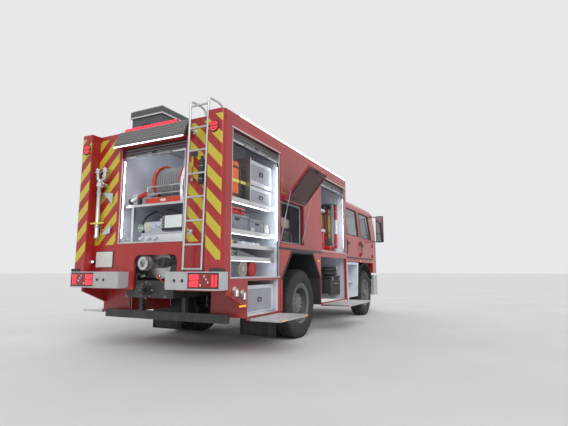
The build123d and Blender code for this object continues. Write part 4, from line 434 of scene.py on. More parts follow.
class Piece:
    """One mesh piece. Forms are added one by one, each with its material, and it rides on a body."""

    def __init__(self, name, body="chassis"):
        self.name = name
        self.body = body
        self.mesh = bmesh.new()
        self.looks = []

    def look(self, key):
        if key not in self.looks:
            self.looks.append(key)
        return self.looks.index(key)

    def take(self, part, key, place=None):
        """Copy a finished form into the piece."""
        if place is not None:
            bmesh.ops.transform(part, matrix=place, verts=part.verts)
        index = self.look(key)
        for face in part.faces:
            face.material_index = index
        scratch = bpy.data.meshes.new("scratch")
        part.to_mesh(scratch)
        part.free()
        self.mesh.from_mesh(scratch)
        bpy.data.meshes.remove(scratch)

    def box(self, low, high, key, bevel=0.0, segments=2, place=None):
        """Box between two corners, given in any order."""
        part = bmesh.new()
        bmesh.ops.create_cube(part, size=1.0)
        low, high = ordered(low, high)
        size = high - low
        middle = (high + low) / 2
        bmesh.ops.scale(part, vec=size, verts=part.verts)
        bmesh.ops.translate(part, vec=middle, verts=part.verts)
        if bevel:
            round_edges(part, bevel, segments)
        self.take(part, key, place)

    def lathe(self, profile, origin, axis, key, segments=48, place=None):
        """Profile of (radius, along) points turned about an axis through the origin; closes at radius 0."""
        part = bmesh.new()
        turn = Vector(axis).to_track_quat("Z", "Y").to_matrix().to_4x4()
        rings = []
        for radius, along in profile:
            if radius <= AXIS_LIMIT:
                rings.append([part.verts.new((0, 0, along))])
                continue
            ring = []
            for i in range(segments):
                angle = 2 * math.pi * i / segments
                ring.append(part.verts.new((radius * math.cos(angle), radius * math.sin(angle), along)))
            rings.append(ring)
        for a, b in zip(rings, rings[1:]):
            join_rings(part, a, b)
        if profile[0][0] > AXIS_LIMIT and profile[-1][0] > AXIS_LIMIT:
            join_rings(part, rings[-1], rings[0])
        bmesh.ops.recalc_face_normals(part, faces=part.faces)
        move = Matrix.Translation(origin) @ turn
        bmesh.ops.transform(part, matrix=move, verts=part.verts)
        self.take(part, key, place)

    def drum(self, radius, low, high, origin, axis, key, segments=48, place=None):
        """Closed cylinder from low to high along an axis through the origin."""
        self.lathe([(0, low), (radius, low), (radius, high), (0, high)], origin, axis, key, segments, place)

    def tube(self, inner, outer, low, high, origin, axis, key, segments=48, place=None):
        """Open cylinder with a wall from the inner to the outer radius."""
        profile = [(inner, low), (outer, low), (outer, high), (inner, high)]
        self.lathe(profile, origin, axis, key, segments, place)

    def rod(self, start, end, radius, key, segments=16, rim=0.0):
        """Round bar from point to point, with rounded rims if asked."""
        start, end = Vector(start), Vector(end)
        length = (end - start).length
        profile = [(0, 0), (radius, 0), (radius, length), (0, length)]
        if rim:
            profile = [(0, 0), (radius - rim, 0), (radius, rim), (radius, length - rim),
                       (radius - rim, length), (0, length)]
        self.lathe(profile, start, end - start, key, segments)

    def pipe(self, points, radius, key, segments=12, smooth=0):
        """Bar that follows points, its corners rounded by subdividing smooth times."""
        points = [Vector(p) for p in points]
        for _ in range(smooth):
            finer = [points[0]]
            for a, b in zip(points, points[1:]):
                finer.append(a.lerp(b, 0.25))
                finer.append(a.lerp(b, 0.75))
            finer.append(points[-1])
            points = finer
        part = bmesh.new()
        rings = []
        side = None
        for i, point in enumerate(points):
            ahead = points[min(i + 1, len(points) - 1)] - points[max(i - 1, 0)]
            ahead.normalize()
            if side is None:
                side = ahead.orthogonal().normalized()
            side = (side - ahead * side.dot(ahead)).normalized()
            other = ahead.cross(side)
            ring = []
            for k in range(segments):
                angle = 2 * math.pi * k / segments
                spoke = side * math.cos(angle) + other * math.sin(angle)
                ring.append(part.verts.new(point + radius * spoke))
            rings.append(ring)
        for a, b in zip(rings, rings[1:]):
            join_rings(part, a, b)
        part.faces.new(rings[0])
        part.faces.new(rings[-1])
        bmesh.ops.recalc_face_normals(part, faces=part.faces)
        self.take(part, key)

    def prism(self, outline, axis, low, high, key, bevel=0.0, segments=2, place=None):
        """Flat outline given its thickness along x, y or z; its points are the other two axes in order."""
        part = bmesh.new()
        ends = []
        for along in sorted((low, high)):
            ring = []
            for a, b in outline:
                point = {"x": (along, a, b), "y": (a, along, b), "z": (a, b, along)}[axis]
                ring.append(part.verts.new(point))
            ends.append(ring)
        join_rings(part, ends[0], ends[1])
        part.faces.new(ends[0])
        part.faces.new(ends[1])
        bmesh.ops.recalc_face_normals(part, faces=part.faces)
        if bevel:
            round_edges(part, bevel, segments)
        self.take(part, key, place)

    def done(self, *replaced, smooth=40.0):
        """Make the object, smooth below the angle, and set it on its body."""
        mesh = bpy.data.meshes.new(self.name)
        limit = math.radians(smooth)
        bmesh.ops.triangulate(self.mesh, faces=[f for f in self.mesh.faces if len(f.verts) > 4])
        for face in self.mesh.faces:
            face.smooth = True
        for edge in self.mesh.edges:
            edge.smooth = len(edge.link_faces) == 2 and edge.calc_face_angle(0.0) < limit
        self.mesh.to_mesh(mesh)
        self.mesh.free()
        for key in self.looks:
            mesh.materials.append(material(key))
        obj = bpy.data.objects.new(self.name, mesh)
        bpy.context.scene.collection.objects.link(obj)
        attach(obj, self.body)
        if replaced:
            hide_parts(*replaced)
        return obj


def round_edges(part, radius, segments):
    """Bevel every edge of a form."""
    edges = part.edges[:]
    bmesh.ops.bevel(part, geom=edges, offset=radius, segments=segments, affect="EDGES", profile=0.5)


def join_rings(part, a, b):
    """Faces between two rings of equal count, or between a ring and a single point."""
    if len(a) == 1 and len(b) == 1:
        return
    count = max(len(a), len(b))
    for i in range(count):
        j = (i + 1) % count
        if len(a) == 1:
            part.faces.new((a[0], b[i], b[j]))
        elif len(b) == 1:
            part.faces.new((a[i], b[0], a[j]))
        else:
            part.faces.new((a[i], b[i], b[j], a[j]))


# Wheels: y of the front wheel's middle and of the twins' middle, and of each twin from there

FRONT_WHEEL_Y = 1.0525
TWIN_Y = 0.9375
TWIN_OFFSET = 0.155
TREAD_DEPTH = 0.014
TREAD_PITCHES = 56


def tyre_forms(piece, x, y):
    """Casing with bulged walls, and rows of tread blocks standing on it."""
    half = TYRE_WIDTH / 2
    base = TYRE_RADIUS - TREAD_DEPTH
    wall = [
        (RIM_RADIUS + 0.001, -half + 0.022),
        (RIM_RADIUS + 0.020, -half + 0.012),
        (RIM_RADIUS + 0.050, -half + 0.010),
        (RIM_RADIUS + 0.056, -half + 0.005),
        (0.400, -half + 0.001),
        (0.445, -half + 0.000),
        (0.490, -half + 0.009),
        (base - 0.006, -half + 0.030),
        (base, -half + 0.045),
    ]
    profile = wall + [(r, -w) for r, w in reversed(wall)]
    piece.lathe(profile, (x, y, AXLE_Z), LEFT, "tyre_rubber", 96)
    rows = [
        # inner edge, outer edge, share of the pitch filled, share of a pitch shifted
        (0.006, 0.040, 0.80, 0.0),
        (0.048, 0.080, 0.76, 0.5),
        (0.088, 0.124, 0.66, 0.25),
    ]
    part = bmesh.new()
    for low, high, fill, shift in rows:
        for sign in (-1, 1):
            for i in range(TREAD_PITCHES):
                middle = 2 * math.pi * (i + shift + (0.5 if sign < 0 else 0.0)) / TREAD_PITCHES
                tread_block(part, middle, fill, sign * low, sign * high, base)
    bmesh.ops.recalc_face_normals(part, faces=part.faces)
    piece.take(part, "tyre_rubber", Matrix.Translation((x, y, AXLE_Z)))


def tread_block(part, middle, fill, y0, y1, base):
    """One block of the tread, with sloped sides and a sunk outer end at the shoulder."""
    half_angle = math.pi * fill / TREAD_PITCHES
    corners = []
    for radius, shrink in ((base - 0.004, 1.0), (TYRE_RADIUS, 0.86)):
        for y in (y0, y1):
            drop = 0.012 if radius > base and abs(y) > 0.12 else 0.0
            skew = 0.25 * half_angle * (1 if abs(y) > 0.06 else -1)
            for turn in (-1, 1):
                angle = middle + turn * half_angle * shrink + skew * (1 if y == y1 else 0)
                r = radius - drop
                corners.append(part.verts.new((r * math.cos(angle), y, r * math.sin(angle))))
    a0, a1, b0, b1, c0, c1, d0, d1 = corners
    for face in ((c0, c1, d1, d0), (a0, c0, d0, b0), (a1, b1, d1, c1), (a0, a1, c1, c0), (b0, d0, d1, b1)):
        part.faces.new(face)
    part.faces.new((a0, b0, b1, a1))


def tyres():
    """Tyres of the front wheels and of the twins."""
    for side, name in SIDES:
        front = Piece(f"front_tyre_skin_{name}", f"front_wheel_{name}")
        tyre_forms(front, FRONT_AXLE_X, side * FRONT_WHEEL_Y)
        front.done(f"front_tyre_{name}")
        rear = Piece(f"rear_tyre_skins_{name}", f"rear_wheels_{name}")
        for y in (TWIN_Y + TWIN_OFFSET, TWIN_Y - TWIN_OFFSET):
            tyre_forms(rear, REAR_AXLE_X, side * y)
        rear.done(f"rear_tyres_{name}")


tyres()


def ring_of(centre, axis, radius, count, turn=0.0):
    """Points on a circle round an axis, evenly spread."""
    frame_turn = Vector(axis).to_track_quat("Z", "Y")
    for i in range(count):
        angle = 2 * math.pi * i / count + turn
        yield Vector(centre) + frame_turn @ Vector((radius * math.cos(angle), radius * math.sin(angle), 0))


def bolts(piece, centre, axis, radius, count, size, key="steel", height=None, turn=0.0):
    """Ring of hexagon nuts on short studs."""
    height = height or size * 0.8
    for point in ring_of(centre, axis, radius, count, turn):
        flat = [(0, 0), (size * 0.5, 0), (size * 0.5, height * 0.8), (size * 0.42, height), (0, height)]
        piece.lathe(flat, point, axis, key, 6)
        piece.lathe([(0, 0), (size * 0.24, 0), (size * 0.24, height * 1.5), (0, height * 1.6)], point,
                    axis, key, 8)


def screw_row(piece, points, axis, size=0.012, key="steel"):
    """Flat round screw heads at each point."""
    for point in points:
        piece.lathe(
            [(0, 0), (size / 2, 0), (size / 2, size * 0.2), (size * 0.3, size * 0.34), (0, size * 0.34)],
            point, axis, key, 10)


def plate(piece, outline, holes, axis, low, high, key, place=None):
    """Flat plate with holes, given its thickness along x, y or z."""
    low, high = sorted((low, high))
    part = bmesh.new()
    edges = []
    for loop in [outline, *holes]:
        ring = [part.verts.new((a, b, 0.0)) for a, b in loop]
        for i, vert in enumerate(ring):
            edges.append(part.edges.new((vert, ring[(i + 1) % len(ring)])))
    bmesh.ops.triangle_fill(part, edges=edges, use_beauty=True)
    bmesh.ops.recalc_face_normals(part, faces=part.faces)
    grown = bmesh.ops.extrude_face_region(part, geom=part.faces[:])
    lifted = [item for item in grown["geom"] if isinstance(item, bmesh.types.BMVert)]
    bmesh.ops.translate(part, vec=(0, 0, high - low), verts=lifted)
    for vert in part.verts:
        a, b, c = vert.co
        along = low + c
        vert.co = {"x": (along, a, b), "y": (a, along, b), "z": (a, b, along)}[axis]
    bmesh.ops.recalc_face_normals(part, faces=part.faces)
    piece.take(part, key, place)


def circle(a, b, radius, count=12, turn=0.0):
    """Points evenly spread on a circle in a plane."""
    points = []
    for i in range(count):
        angle = 2 * math.pi * i / count + turn
        points.append((a + radius * math.cos(angle), b + radius * math.sin(angle)))
    return points


def rounded(a0, b0, a1, b1, radius, steps=5):
    """Rectangle with rounded corners as a list of points."""
    points = []
    corners = [(a1 - radius, b0 + radius, -90), (a1 - radius, b1 - radius, 0),
               (a0 + radius, b1 - radius, 90), (a0 + radius, b0 + radius, 180)]
    for a, b, start in corners:
        for i in range(steps + 1):
            angle = math.radians(start + 90 * i / steps)
            points.append((a + radius * math.cos(angle), b + radius * math.sin(angle)))
    return points


def torus(piece, centre, axis, radius, thickness, key, segments=48, sides=10):
    """Round ring with a round section."""
    piece.lathe(circle(radius, 0.0, thickness, sides), centre, axis, key, segments)


RIM_WIDTH = 0.240
DISC_HOLES = 10
HOLE_CIRCLE = 0.208
NUT_CIRCLE = 0.1375
NUT_SIZE = 0.032


def rim_barrel(piece, x, y, side, wide, dish):
    """Barrel with rolled lips, drop centre and inner face down to the disc."""
    half = wide / 2
    lip = RIM_RADIUS + 0.016
    profile = [
        (lip, half),
        (lip - 0.003, half + 0.004),
        (RIM_RADIUS - 0.006, half + 0.001),
        (RIM_RADIUS - 0.016, half - 0.014),
        (RIM_RADIUS - 0.030, half - 0.028),
        (RIM_RADIUS - 0.034, dish),
        (RIM_RADIUS - 0.034, -half + 0.03),
        (RIM_RADIUS - 0.014, -half + 0.012),
        (lip - 0.003, -half),
        (lip, -half + 0.006),
        (RIM_RADIUS - 0.001, -half + 0.012),
        (RIM_RADIUS - 0.020, -half + 0.05),
        (RIM_RADIUS - 0.020, half - 0.05),
        (RIM_RADIUS - 0.001, half - 0.012),
    ]
    piece.lathe([(r, side * w) for r, w in profile], (x, y, AXLE_Z), LEFT, "rim_paint", 72)


def rim_disc(piece, x, y, side):
    """Disc with hand holes, its crowned ring round the nuts and the nuts."""
    outline = circle(x, AXLE_Z, RIM_RADIUS - 0.033, 60)
    spots = circle(x, AXLE_Z, HOLE_CIRCLE, DISC_HOLES, math.pi / DISC_HOLES)
    holes = [circle(a, b, 0.028, 14) for a, b in spots]
    holes.append(circle(x, AXLE_Z, 0.088, 24))
    face = y + side * 0.004
    plate(piece, outline, holes, "y", y - side * 0.010, face, "rim_paint")
    bolts(piece, (x, face, AXLE_Z), (0, side, 0), NUT_CIRCLE, DISC_HOLES, NUT_SIZE, "rim_paint")


def rims():
    """Rims with hubs and nuts; the rear hub reaches out through the outer dish."""
    for side, name in SIDES:
        out = (0, side, 0)
        piece = Piece(f"front_rim_forms_{name}", f"front_wheel_{name}")
        y = side * FRONT_WHEEL_Y
        rim_barrel(piece, FRONT_AXLE_X, y, side, RIM_WIDTH, 0.075)
        rim_disc(piece, FRONT_AXLE_X, y + side * 0.071, side)
        hub = [(0.042, -0.060), (0.105, -0.060), (0.105, 0.060), (0.090, 0.070), (0.086, 0.105),
               (0.074, 0.120), (0.070, 0.133), (0.050, 0.135), (0.0, 0.135)]
        piece.lathe(hub, (FRONT_AXLE_X, y, AXLE_Z), out, "rim_paint", 40)
        bolts(piece, (FRONT_AXLE_X, y + side * 0.118, AXLE_Z), out, 0.058, 6, 0.012)
        piece.done(f"front_rim_{name}")

        piece = Piece(f"rear_rim_forms_{name}", f"rear_wheels_{name}")
        middle = side * TWIN_Y
        rim_barrel(piece, REAR_AXLE_X, middle + side * TWIN_OFFSET, side, RIM_WIDTH, -0.150)
        rim_barrel(piece, REAR_AXLE_X, middle - side * TWIN_OFFSET, -side, RIM_WIDTH, -0.150)
        rim_disc(piece, REAR_AXLE_X, middle + side * 0.012, side)
        rim_disc(piece, REAR_AXLE_X, middle - side * 0.012, -side)
        hub = [
            (0.042, -0.016), (0.120, -0.016), (0.120, 0.020), (0.112, 0.030), (0.112, 0.120),
            (0.150, 0.140), (0.158, 0.150), (0.158, 0.206), (0.150, 0.214), (0.118, 0.214), (0.112, 0.226),
            (0.060, 0.236), (0.0, 0.238)]
        piece.lathe(hub, (REAR_AXLE_X, middle, AXLE_Z), out, "rim_paint", 48)
        bolts(piece, (REAR_AXLE_X, middle + side * 0.214, AXLE_Z), out, 0.134, 12, 0.018)
        bolts(piece, (REAR_AXLE_X, middle + side * 0.230, AXLE_Z), out, 0.040, 4, 0.012)
        torus(piece, (REAR_AXLE_X, middle + side * 0.262, AXLE_Z), out, RIM_RADIUS - 0.040, 0.009,
              "rim_paint", 60, 10)
        for point in ring_of((REAR_AXLE_X, middle + side * 0.262, AXLE_Z), out, RIM_RADIUS - 0.034, 6):
            piece.lathe([(0, -0.02), (0.007, -0.02), (0.007, 0.006), (0, 0.008)], point, out, "steel", 10)
        piece.done(f"rear_rims_{name}")


rims()


# Lamps

LAMP_POCKET = (0.798, 1.238)
BUMPER_TOP = 1.035
BUMPER_BOTTOM = 0.822


def ring_lamp(piece, x, y, z, radius):
    """Round lamp: rubber rim, dark lens and two lit half rings above and below a bar."""
    piece.lathe(
        [(radius, 0), (radius, 0.010), (radius - 0.008, 0.016), (radius - 0.014, 0.012),
         (radius - 0.014, 0)],
        (x, y, z), BACK, BLACK, 48)
    piece.lathe([(0, 0), (radius - 0.014, 0), (radius - 0.014, 0.009), (radius * 0.5, 0.013), (0, 0.014)],
                (x, y, z), BACK, "dark_red_lens", 48)
    for start, end in ((20, 160), (200, 340)):
        points = []
        for i in range(19):
            angle = math.radians(start + (end - start) * i / 18)
            points.append((x - 0.014, y + radius * 0.70 * math.cos(angle),
                           z + radius * 0.70 * math.sin(angle)))
        piece.pipe([*points, points[0]], 0.0058, "red_lens", 8)


def cluster(piece, side):
    """Cluster in the bumper: two lit bars inboard, a patterned middle and two upright bars outboard."""
    inner, outer = LAMP_POCKET[0] + 0.003, LAMP_POCKET[1] - 0.003
    low, high = BUMPER_BOTTOM + 0.021, BUMPER_TOP - 0.017
    x = REAR + 0.034
    ys = span(side, inner, outer)
    piece.box((x - 0.024, ys[0], low), (x, ys[1], high), "dark_red_lens", 0.008, 3)
    rim = 0.007
    for z in (low, high - rim):
        piece.box((x - 0.028, ys[0], z), (x - 0.01, ys[1], z + rim), BLACK, 0.002, 1)
    for y in (ys[0], ys[1] - rim):
        piece.box((x - 0.028, y, low), (x - 0.01, y + rim, high), BLACK, 0.002, 1)

    def lit(y0, y1, z0, z1, key):
        piece.box((x - 0.0265, side * y0, z0), (x - 0.020, side * y1, z1), key, 0.003, 2)

    middle = (low + high) / 2
    for z0, z1 in ((low + 0.018, middle - 0.006), (middle + 0.006, high - 0.018)):
        lit(inner + 0.018, inner + 0.150, z0, z1, "red_lens")
    for i in range(5):
        for k in range(4):
            y = inner + 0.172 + i * 0.026
            z = low + 0.026 + k * 0.034
            lit(y, y + 0.018, z, z + 0.022, "clear_lens" if (i + k) % 5 == 0 else "dark_red_lens")
    for y in (outer - 0.096, outer - 0.050):
        lit(y, y + 0.026, low + 0.022, high - 0.022, "red_lens")


RED_BAR_Y = (-0.400, 0.540)


def rear_lamps():
    """Round lamps on the columns, clusters in the bumper and a bar of red cells under the roof's edge."""
    piece = Piece("rear_lamps")
    for side in (-1, 1):
        ring_lamp(piece, BODY_REAR, side * 1.110, 2.765, 0.075)
        cluster(piece, side)
    x = (BODY_REAR + 0.140, BODY_REAR + 0.178)
    piece.box((x[0] + 0.012, RED_BAR_Y[0], ROOF_Z), (x[1], RED_BAR_Y[1], ROOF_Z + 0.048), BLACK, 0.004, 2)
    cells = 16
    pitch = (RED_BAR_Y[1] - RED_BAR_Y[0]) / cells
    for i in range(cells):
        y = RED_BAR_Y[0] + i * pitch
        piece.box((x[0], y + 0.004, ROOF_Z + 0.008), (x[0] + 0.016, y + pitch - 0.004, ROOF_Z + 0.042),
                  "red_lens", 0.004, 2)
    piece.done("red_lamps")


rear_lamps()


def light_strip(piece, low, high, face, key="white_lens"):
    """Lit strip in an aluminium channel; face is the axis and direction it shines."""
    low, high = ordered(low, high)
    axis, way = face
    split = high[axis] - 0.006 if way > 0 else low[axis] + 0.006
    back_low, back_high = low.copy(), high.copy()
    lens_low, lens_high = low.copy(), high.copy()
    if way > 0:
        back_high[axis] = split
        lens_low[axis] = split - 0.003
    else:
        back_low[axis] = split
        lens_high[axis] = split + 0.003
    longest = max(range(3), key=lambda i: high[i] - low[i])
    third = 3 - axis - longest
    lens_low[third] += 0.004
    lens_high[third] -= 0.004
    lens_low[longest] += 0.008
    lens_high[longest] -= 0.008
    piece.box(back_low, back_high, ALUMINIUM, 0.0015, 1)
    piece.box(lens_low, lens_high, key, 0.002, 2)


# Shelves of the rear bays with a strip under their outer lip
SHELF_STRIP_Y = 1.100
LIT_SHELVES = (1.190, 1.530, 1.930)
BAY_STRIPS = [
    # x, lower end, way it shines along x
    (REAR_BAY_X[1] - 0.0143, SILL_Z + 0.5, -1),
    (FRONT_BAY_X[1] - 0.002, DECK_Z + 0.09, -1),
    (REAR_BAY_X[0] + 0.0003, SILL_Z + 0.5, 1),
    (FRONT_BAY_X[0] + 0.0003, DECK_Z + 0.09, 1),
]


def light_strips():
    """White strips along the roof edges and over the rear opening, and lit strips inside the bays."""
    piece = Piece("strip_lamps")
    for side in (-1, 1):
        light_strip(piece, (BODY_REAR + 0.350, side * (BODY_HALF - 0.024), ROOF_Z),
                    (BODY_FRONT - 0.020, side * BODY_HALF, ROOF_Z + 0.028), (1, side))
        for x, z, way in BAY_STRIPS:
            low = (x, side * (BODY_HALF - 0.054), z)
            high = (x + 0.014, side * (BODY_HALF - 0.040), BAY_TOP - 0.21)
            light_strip(piece, low, high, (0, way), "bay_light")
        for z in LIT_SHELVES:
            piece.box((REAR_BAY_X[0] + 0.040, side * (SHELF_STRIP_Y - 0.020), z - 0.021),
                      (REAR_BAY_X[1] - 0.040, side * (SHELF_STRIP_Y + 0.020), z - 0.018), "shelf_light")
    x = (RECESS_X - 0.108, RECESS_X - 0.084)
    light_strip(piece, (x[0], -0.600, OPENING_TOP - 0.012), (x[1], 0.640, OPENING_TOP + 0.010), (0, -1))
    drum = RECESS_X + 0.2205
    light_strip(piece, (drum, -0.480, OPENING_TOP - 0.060), (drum + 0.020, 0.480, OPENING_TOP - 0.030),
                (0, 1), "bay_light")
    piece.done("light_strips")


light_strips()


# Access ladder

LADDER_X = -3.675
LADDER_Y = (-0.945, -0.665)
LADDER_FOOT = 1.0357
LADDER_TOP = 3.195
LADDER_BASE = 1.035
RUNG_PITCH = 0.290
LADDER_LEAN = 0.042
LADDER_RAIL = 0.017


def ladder_shift(z):
    """Lean of the ladder to the right at a height."""
    return LADDER_LEAN * (z - LADDER_BASE) / (LADDER_TOP - LADDER_BASE)


def ladder():
    """Two rails bent over the roof's edge, ringed rungs, and stays with screwed feet."""
    piece = Piece("ladder_forms")
    grip_z = LADDER_TOP - 0.018
    for y in LADDER_Y:
        top = y - LADDER_LEAN
        piece.pipe([(LADDER_X, y, LADDER_FOOT), (LADDER_X, top, grip_z - 0.05)], LADDER_RAIL, ALUMINIUM, 16)
        bend = [(LADDER_X, top, grip_z - 0.06), (LADDER_X, top, grip_z), (LADDER_X + 0.32, top, grip_z),
                (LADDER_X + 0.32, top, ROOF_Z + 0.002)]
        piece.pipe(bend, LADDER_RAIL - 0.001, ALUMINIUM, 16, smooth=2)
        piece.lathe([(0, 0), (0.030, 0), (0.030, 0.010), (0.020, 0.018), (0, 0.018)],
                    (LADDER_X, y, LADDER_FOOT), UP, BLACK, 20)
        piece.drum(0.032, 0, 0.006, (LADDER_X + 0.32, top, ROOF_Z), UP, ALUMINIUM, 20)
    count = int((LADDER_TOP - LADDER_BASE) / RUNG_PITCH)
    for i in range(count + 1):
        z = LADDER_BASE + 0.030 + i * RUNG_PITCH
        shift = ladder_shift(z)
        low, high = LADDER_Y[0] - shift, LADDER_Y[1] - shift
        piece.rod((LADDER_X, low, z), (LADDER_X, high, z), 0.0125, ALUMINIUM, 14)
        for k in range(7):
            y = low + 0.035 + k * (high - low - 0.07) / 6
            piece.lathe([(0.0125, -0.004), (0.0145, -0.003), (0.0145, 0.003), (0.0125, 0.004)],
                        (LADDER_X, y, z), LEFT, ALUMINIUM, 14)
    for z in (DECK_Z + 0.1, ROOF_Z - 0.18):
        shift = ladder_shift(z)
        for y in LADDER_Y:
            piece.rod((LADDER_X, y - shift, z), (RECESS_X, y - shift, z), 0.009, ALUMINIUM, 12)
            piece.box((RECESS_X - 0.006, y - shift - 0.03, z - 0.03),
                      (RECESS_X, y - shift + 0.03, z + 0.03), ALUMINIUM, 0.002, 1)
            screw_row(
                piece,
                [(RECESS_X - 0.006, y - shift + dy, z + dz) for dy in (-0.02, 0.02)
                 for dz in (-0.02, 0.02)],
                BACK)
    piece.done("access_ladder")


ladder()


# Fold-down steps

STEP_HINGE = (1.270, 0.451)
STEPS = [
    # name, x start, x end, depth
    ("rear", -3.140, -2.320, 0.425),
    ("mid", -0.640, 0.770, 0.470),
]


def step(name, x0, x1, depth, side, word):
    """Tread plate with rows of drilled and raised holes in a folded frame, on its hinge rod."""
    piece = Piece(f"step_forms_{name}_{word}", f"step_{name}_{word}")
    hinge_y, hinge_z = STEP_HINGE
    inner = hinge_y + 0.014
    outer = inner + depth
    top = hinge_z + 0.014
    rows = int(depth / 0.075)
    columns = int((x1 - x0 - 0.08) / 0.082)
    holes = []
    lips = []
    for i in range(rows):
        for k in range(columns):
            a = x0 + 0.055 + k * (x1 - x0 - 0.11) / (columns - 1)
            b = inner + 0.045 + i * (depth - 0.09) / (rows - 1)
            holes.append(circle(a, side * b, 0.017, 10))
            lips.append((a, side * b))
    ys = span(side, inner, outer)
    plate(piece, [(x0, ys[0]), (x1, ys[0]), (x1, ys[1]), (x0, ys[1])], holes, "z", top - 0.004,
          top, "tread_metal")
    for a, b in lips:
        piece.lathe([(0.0168, 0), (0.0175, 0.0), (0.0195, 0.0002), (0.0178, 0.0024), (0.0168, 0.0024)],
                    (a, b, top - 0.0024), UP, "tread_metal", 10)
    rim = 0.004
    low = top - 0.028
    for y in (inner, outer - rim):
        piece.box((x0, side * y, low), (x1, side * (y + rim), top - 0.001), ALUMINIUM, 0.001, 1)
    for x in (x0, x1 - rim, (x0 + x1) / 2):
        piece.box((x, ys[0], low), (x + rim, ys[1], top - 0.002), ALUMINIUM, 0.001, 1)
    for x in (x0 + 0.080, x1 - 0.080):
        piece.box((x - 0.025, side * hinge_y, hinge_z - 0.008),
                  (x + 0.025, side * (inner + 0.05), hinge_z + 0.008), "steel", 0.002, 1)
        piece.rod((x - 0.026, side * hinge_y, hinge_z), (x + 0.026, side * hinge_y, hinge_z),
                  0.012, "steel", 16)
    piece.rod((x0 - 0.017, side * hinge_y, hinge_z), (x1 + 0.017, side * hinge_y, hinge_z), 0.008,
              "steel", 16, 0.002)
    edge = side * outer
    for x in (x0 + 0.06, x1 - 0.14):
        piece.box((x, edge - side * 0.004, low + 0.004), (x + 0.08, edge, top - 0.005),
                  "amber_lens", 0.002, 1)
    piece.done(f"step_{name}_{word}")


for row in STEPS:
    for side, word in SIDES:
        step(*row, side, word)


# Roller shutters, wound up behind their edge

SLAT = 0.041
SHUTTER_DROP = 0.150


def shutter(piece, length, width, place):
    """Shutter along local x, outer face at y 0, edge at z 0: drum cover, slats and handle bar."""
    up = 0.040
    drop = SHUTTER_DROP
    piece.box((0, -width, -drop + 0.060), (length, -0.020, up), "shutter_grey", 0.006, 2, place)
    low = -drop + 0.026
    piece.box((0.004, -0.018, low - 0.004), (length - 0.004, -0.0075, up), "frame_grey", 0.0, 1, place)
    count = int((up - low) / SLAT)
    for i in range(count):
        z = low + i * SLAT
        bulge = [(-0.012, z), (-0.003, z + 0.003), (0.0, z + 0.010), (0.0, z + SLAT - 0.020),
                 (-0.003, z + SLAT - 0.013), (-0.012, z + SLAT - 0.010)]
        piece.prism(bulge, "x", 0.004, length - 0.004, "shutter_grey", 0.0, 1, place)
        piece.box((0.004, -0.004, z + 0.010), (length - 0.004, 0.0, z + 0.015), ALUMINIUM, 0.0, 1, place)
    piece.box((0.002, -0.018, -drop), (length - 0.002, 0.0, low), ALUMINIUM, 0.003, 2, place)
    middle = length / 2
    bar_y, bar_z = 0.014, -drop + 0.014
    half = min(0.30, length * 0.36)
    for x in (middle - half, middle + half):
        foot = [(-0.018, 0.0), (0.018, 0.0), (0.012, bar_y + 0.004), (-0.012, bar_y + 0.004)]
        piece.prism([(x + a, b) for a, b in foot], "z", bar_z - 0.010, bar_z + 0.010,
                    BLACK, 0.002, 1, place)
    grip = [(0, -half - 0.02), (0.008, -half - 0.02), (0.009, -half), (0.009, half), (0.008, half + 0.02),
            (0, half + 0.02)]
    piece.lathe(grip, (middle, bar_y - 0.004, bar_z), AHEAD, "steel", 14, place)
    piece.box((middle - 0.045, -0.001, -drop + 0.004), (middle + 0.045, 0.012, -drop + 0.060),
              BLACK, 0.003, 2, place)
    for way in (-1, 1):
        piece.box((middle + way * 0.040, 0.001, -drop + 0.038),
                  (middle + way * 0.120, 0.009, -drop + 0.048), "steel", 0.002, 1, place)


def shutters():
    """The four bay shutters and the rear one."""
    piece = Piece("shutter_forms")
    for x0, x1 in (REAR_BAY_X, FRONT_BAY_X):
        for side in (-1, 1):
            corner = (x0, side * (BODY_HALF - 0.0403), BAY_TOP)
            place = Matrix.Translation(corner) @ Matrix.Scale(side, 4, LEFT)
            shutter(piece, x1 - x0, 0.170, place)
    corner = (RECESS_X + 0.0303, -OPENING_HALF, OPENING_TOP)
    place = Matrix.Translation(corner) @ Matrix.Rotation(math.pi / 2, 4, "Z")
    shutter(piece, 2 * OPENING_HALF, 0.190, place)
    piece.done("roller_shutters")


shutters()


def shutter_guides():
    """Aluminium channels with a dark seal down both edges of each bay, and a sill at its foot."""
    piece = Piece("shutter_guides")
    wall = BODY_HALF - 0.040
    for (x0, x1), z0 in ((REAR_BAY_X, SILL_Z), (FRONT_BAY_X, DECK_Z)):
        for side in (-1, 1):
            for x, inward in ((x0, 1), (x1, -1)):
                piece.box((x, side * (wall - 0.002), z0),
                          (x + inward * 0.022, side * (wall + 0.034), BAY_TOP - 0.001), ALUMINIUM, 0.002, 1)
                piece.box((x + inward * 0.022, side * (wall + 0.010), z0 + 0.002),
                          (x + inward * 0.027, side * (wall + 0.020), BAY_TOP - SHUTTER_DROP), BLACK)
            piece.box((x0, side * (wall - 0.002), z0 - 0.016), (x1, side * (BODY_HALF + 0.004), z0 + 0.004),
                      ALUMINIUM, 0.003, 2)
            piece.box((x0 - 0.014, side * (BODY_HALF - 0.001), BAY_TOP - 0.004),
                      (x1 + 0.014, side * (BODY_HALF + 0.004), BAY_TOP + 0.016), ALUMINIUM, 0.002, 1)
    piece.done()


shutter_guides()


# Hose reel: hose wound on the drum in layers, open flanges with a rolled edge, and a brake wheel

REEL_CENTRE = (-3.080, 2.275)
REEL_Y = (-0.330, 0.190)
REEL_FLANGE = 0.285
REEL_HOSE = 0.245
HOSE_RADIUS = 0.016


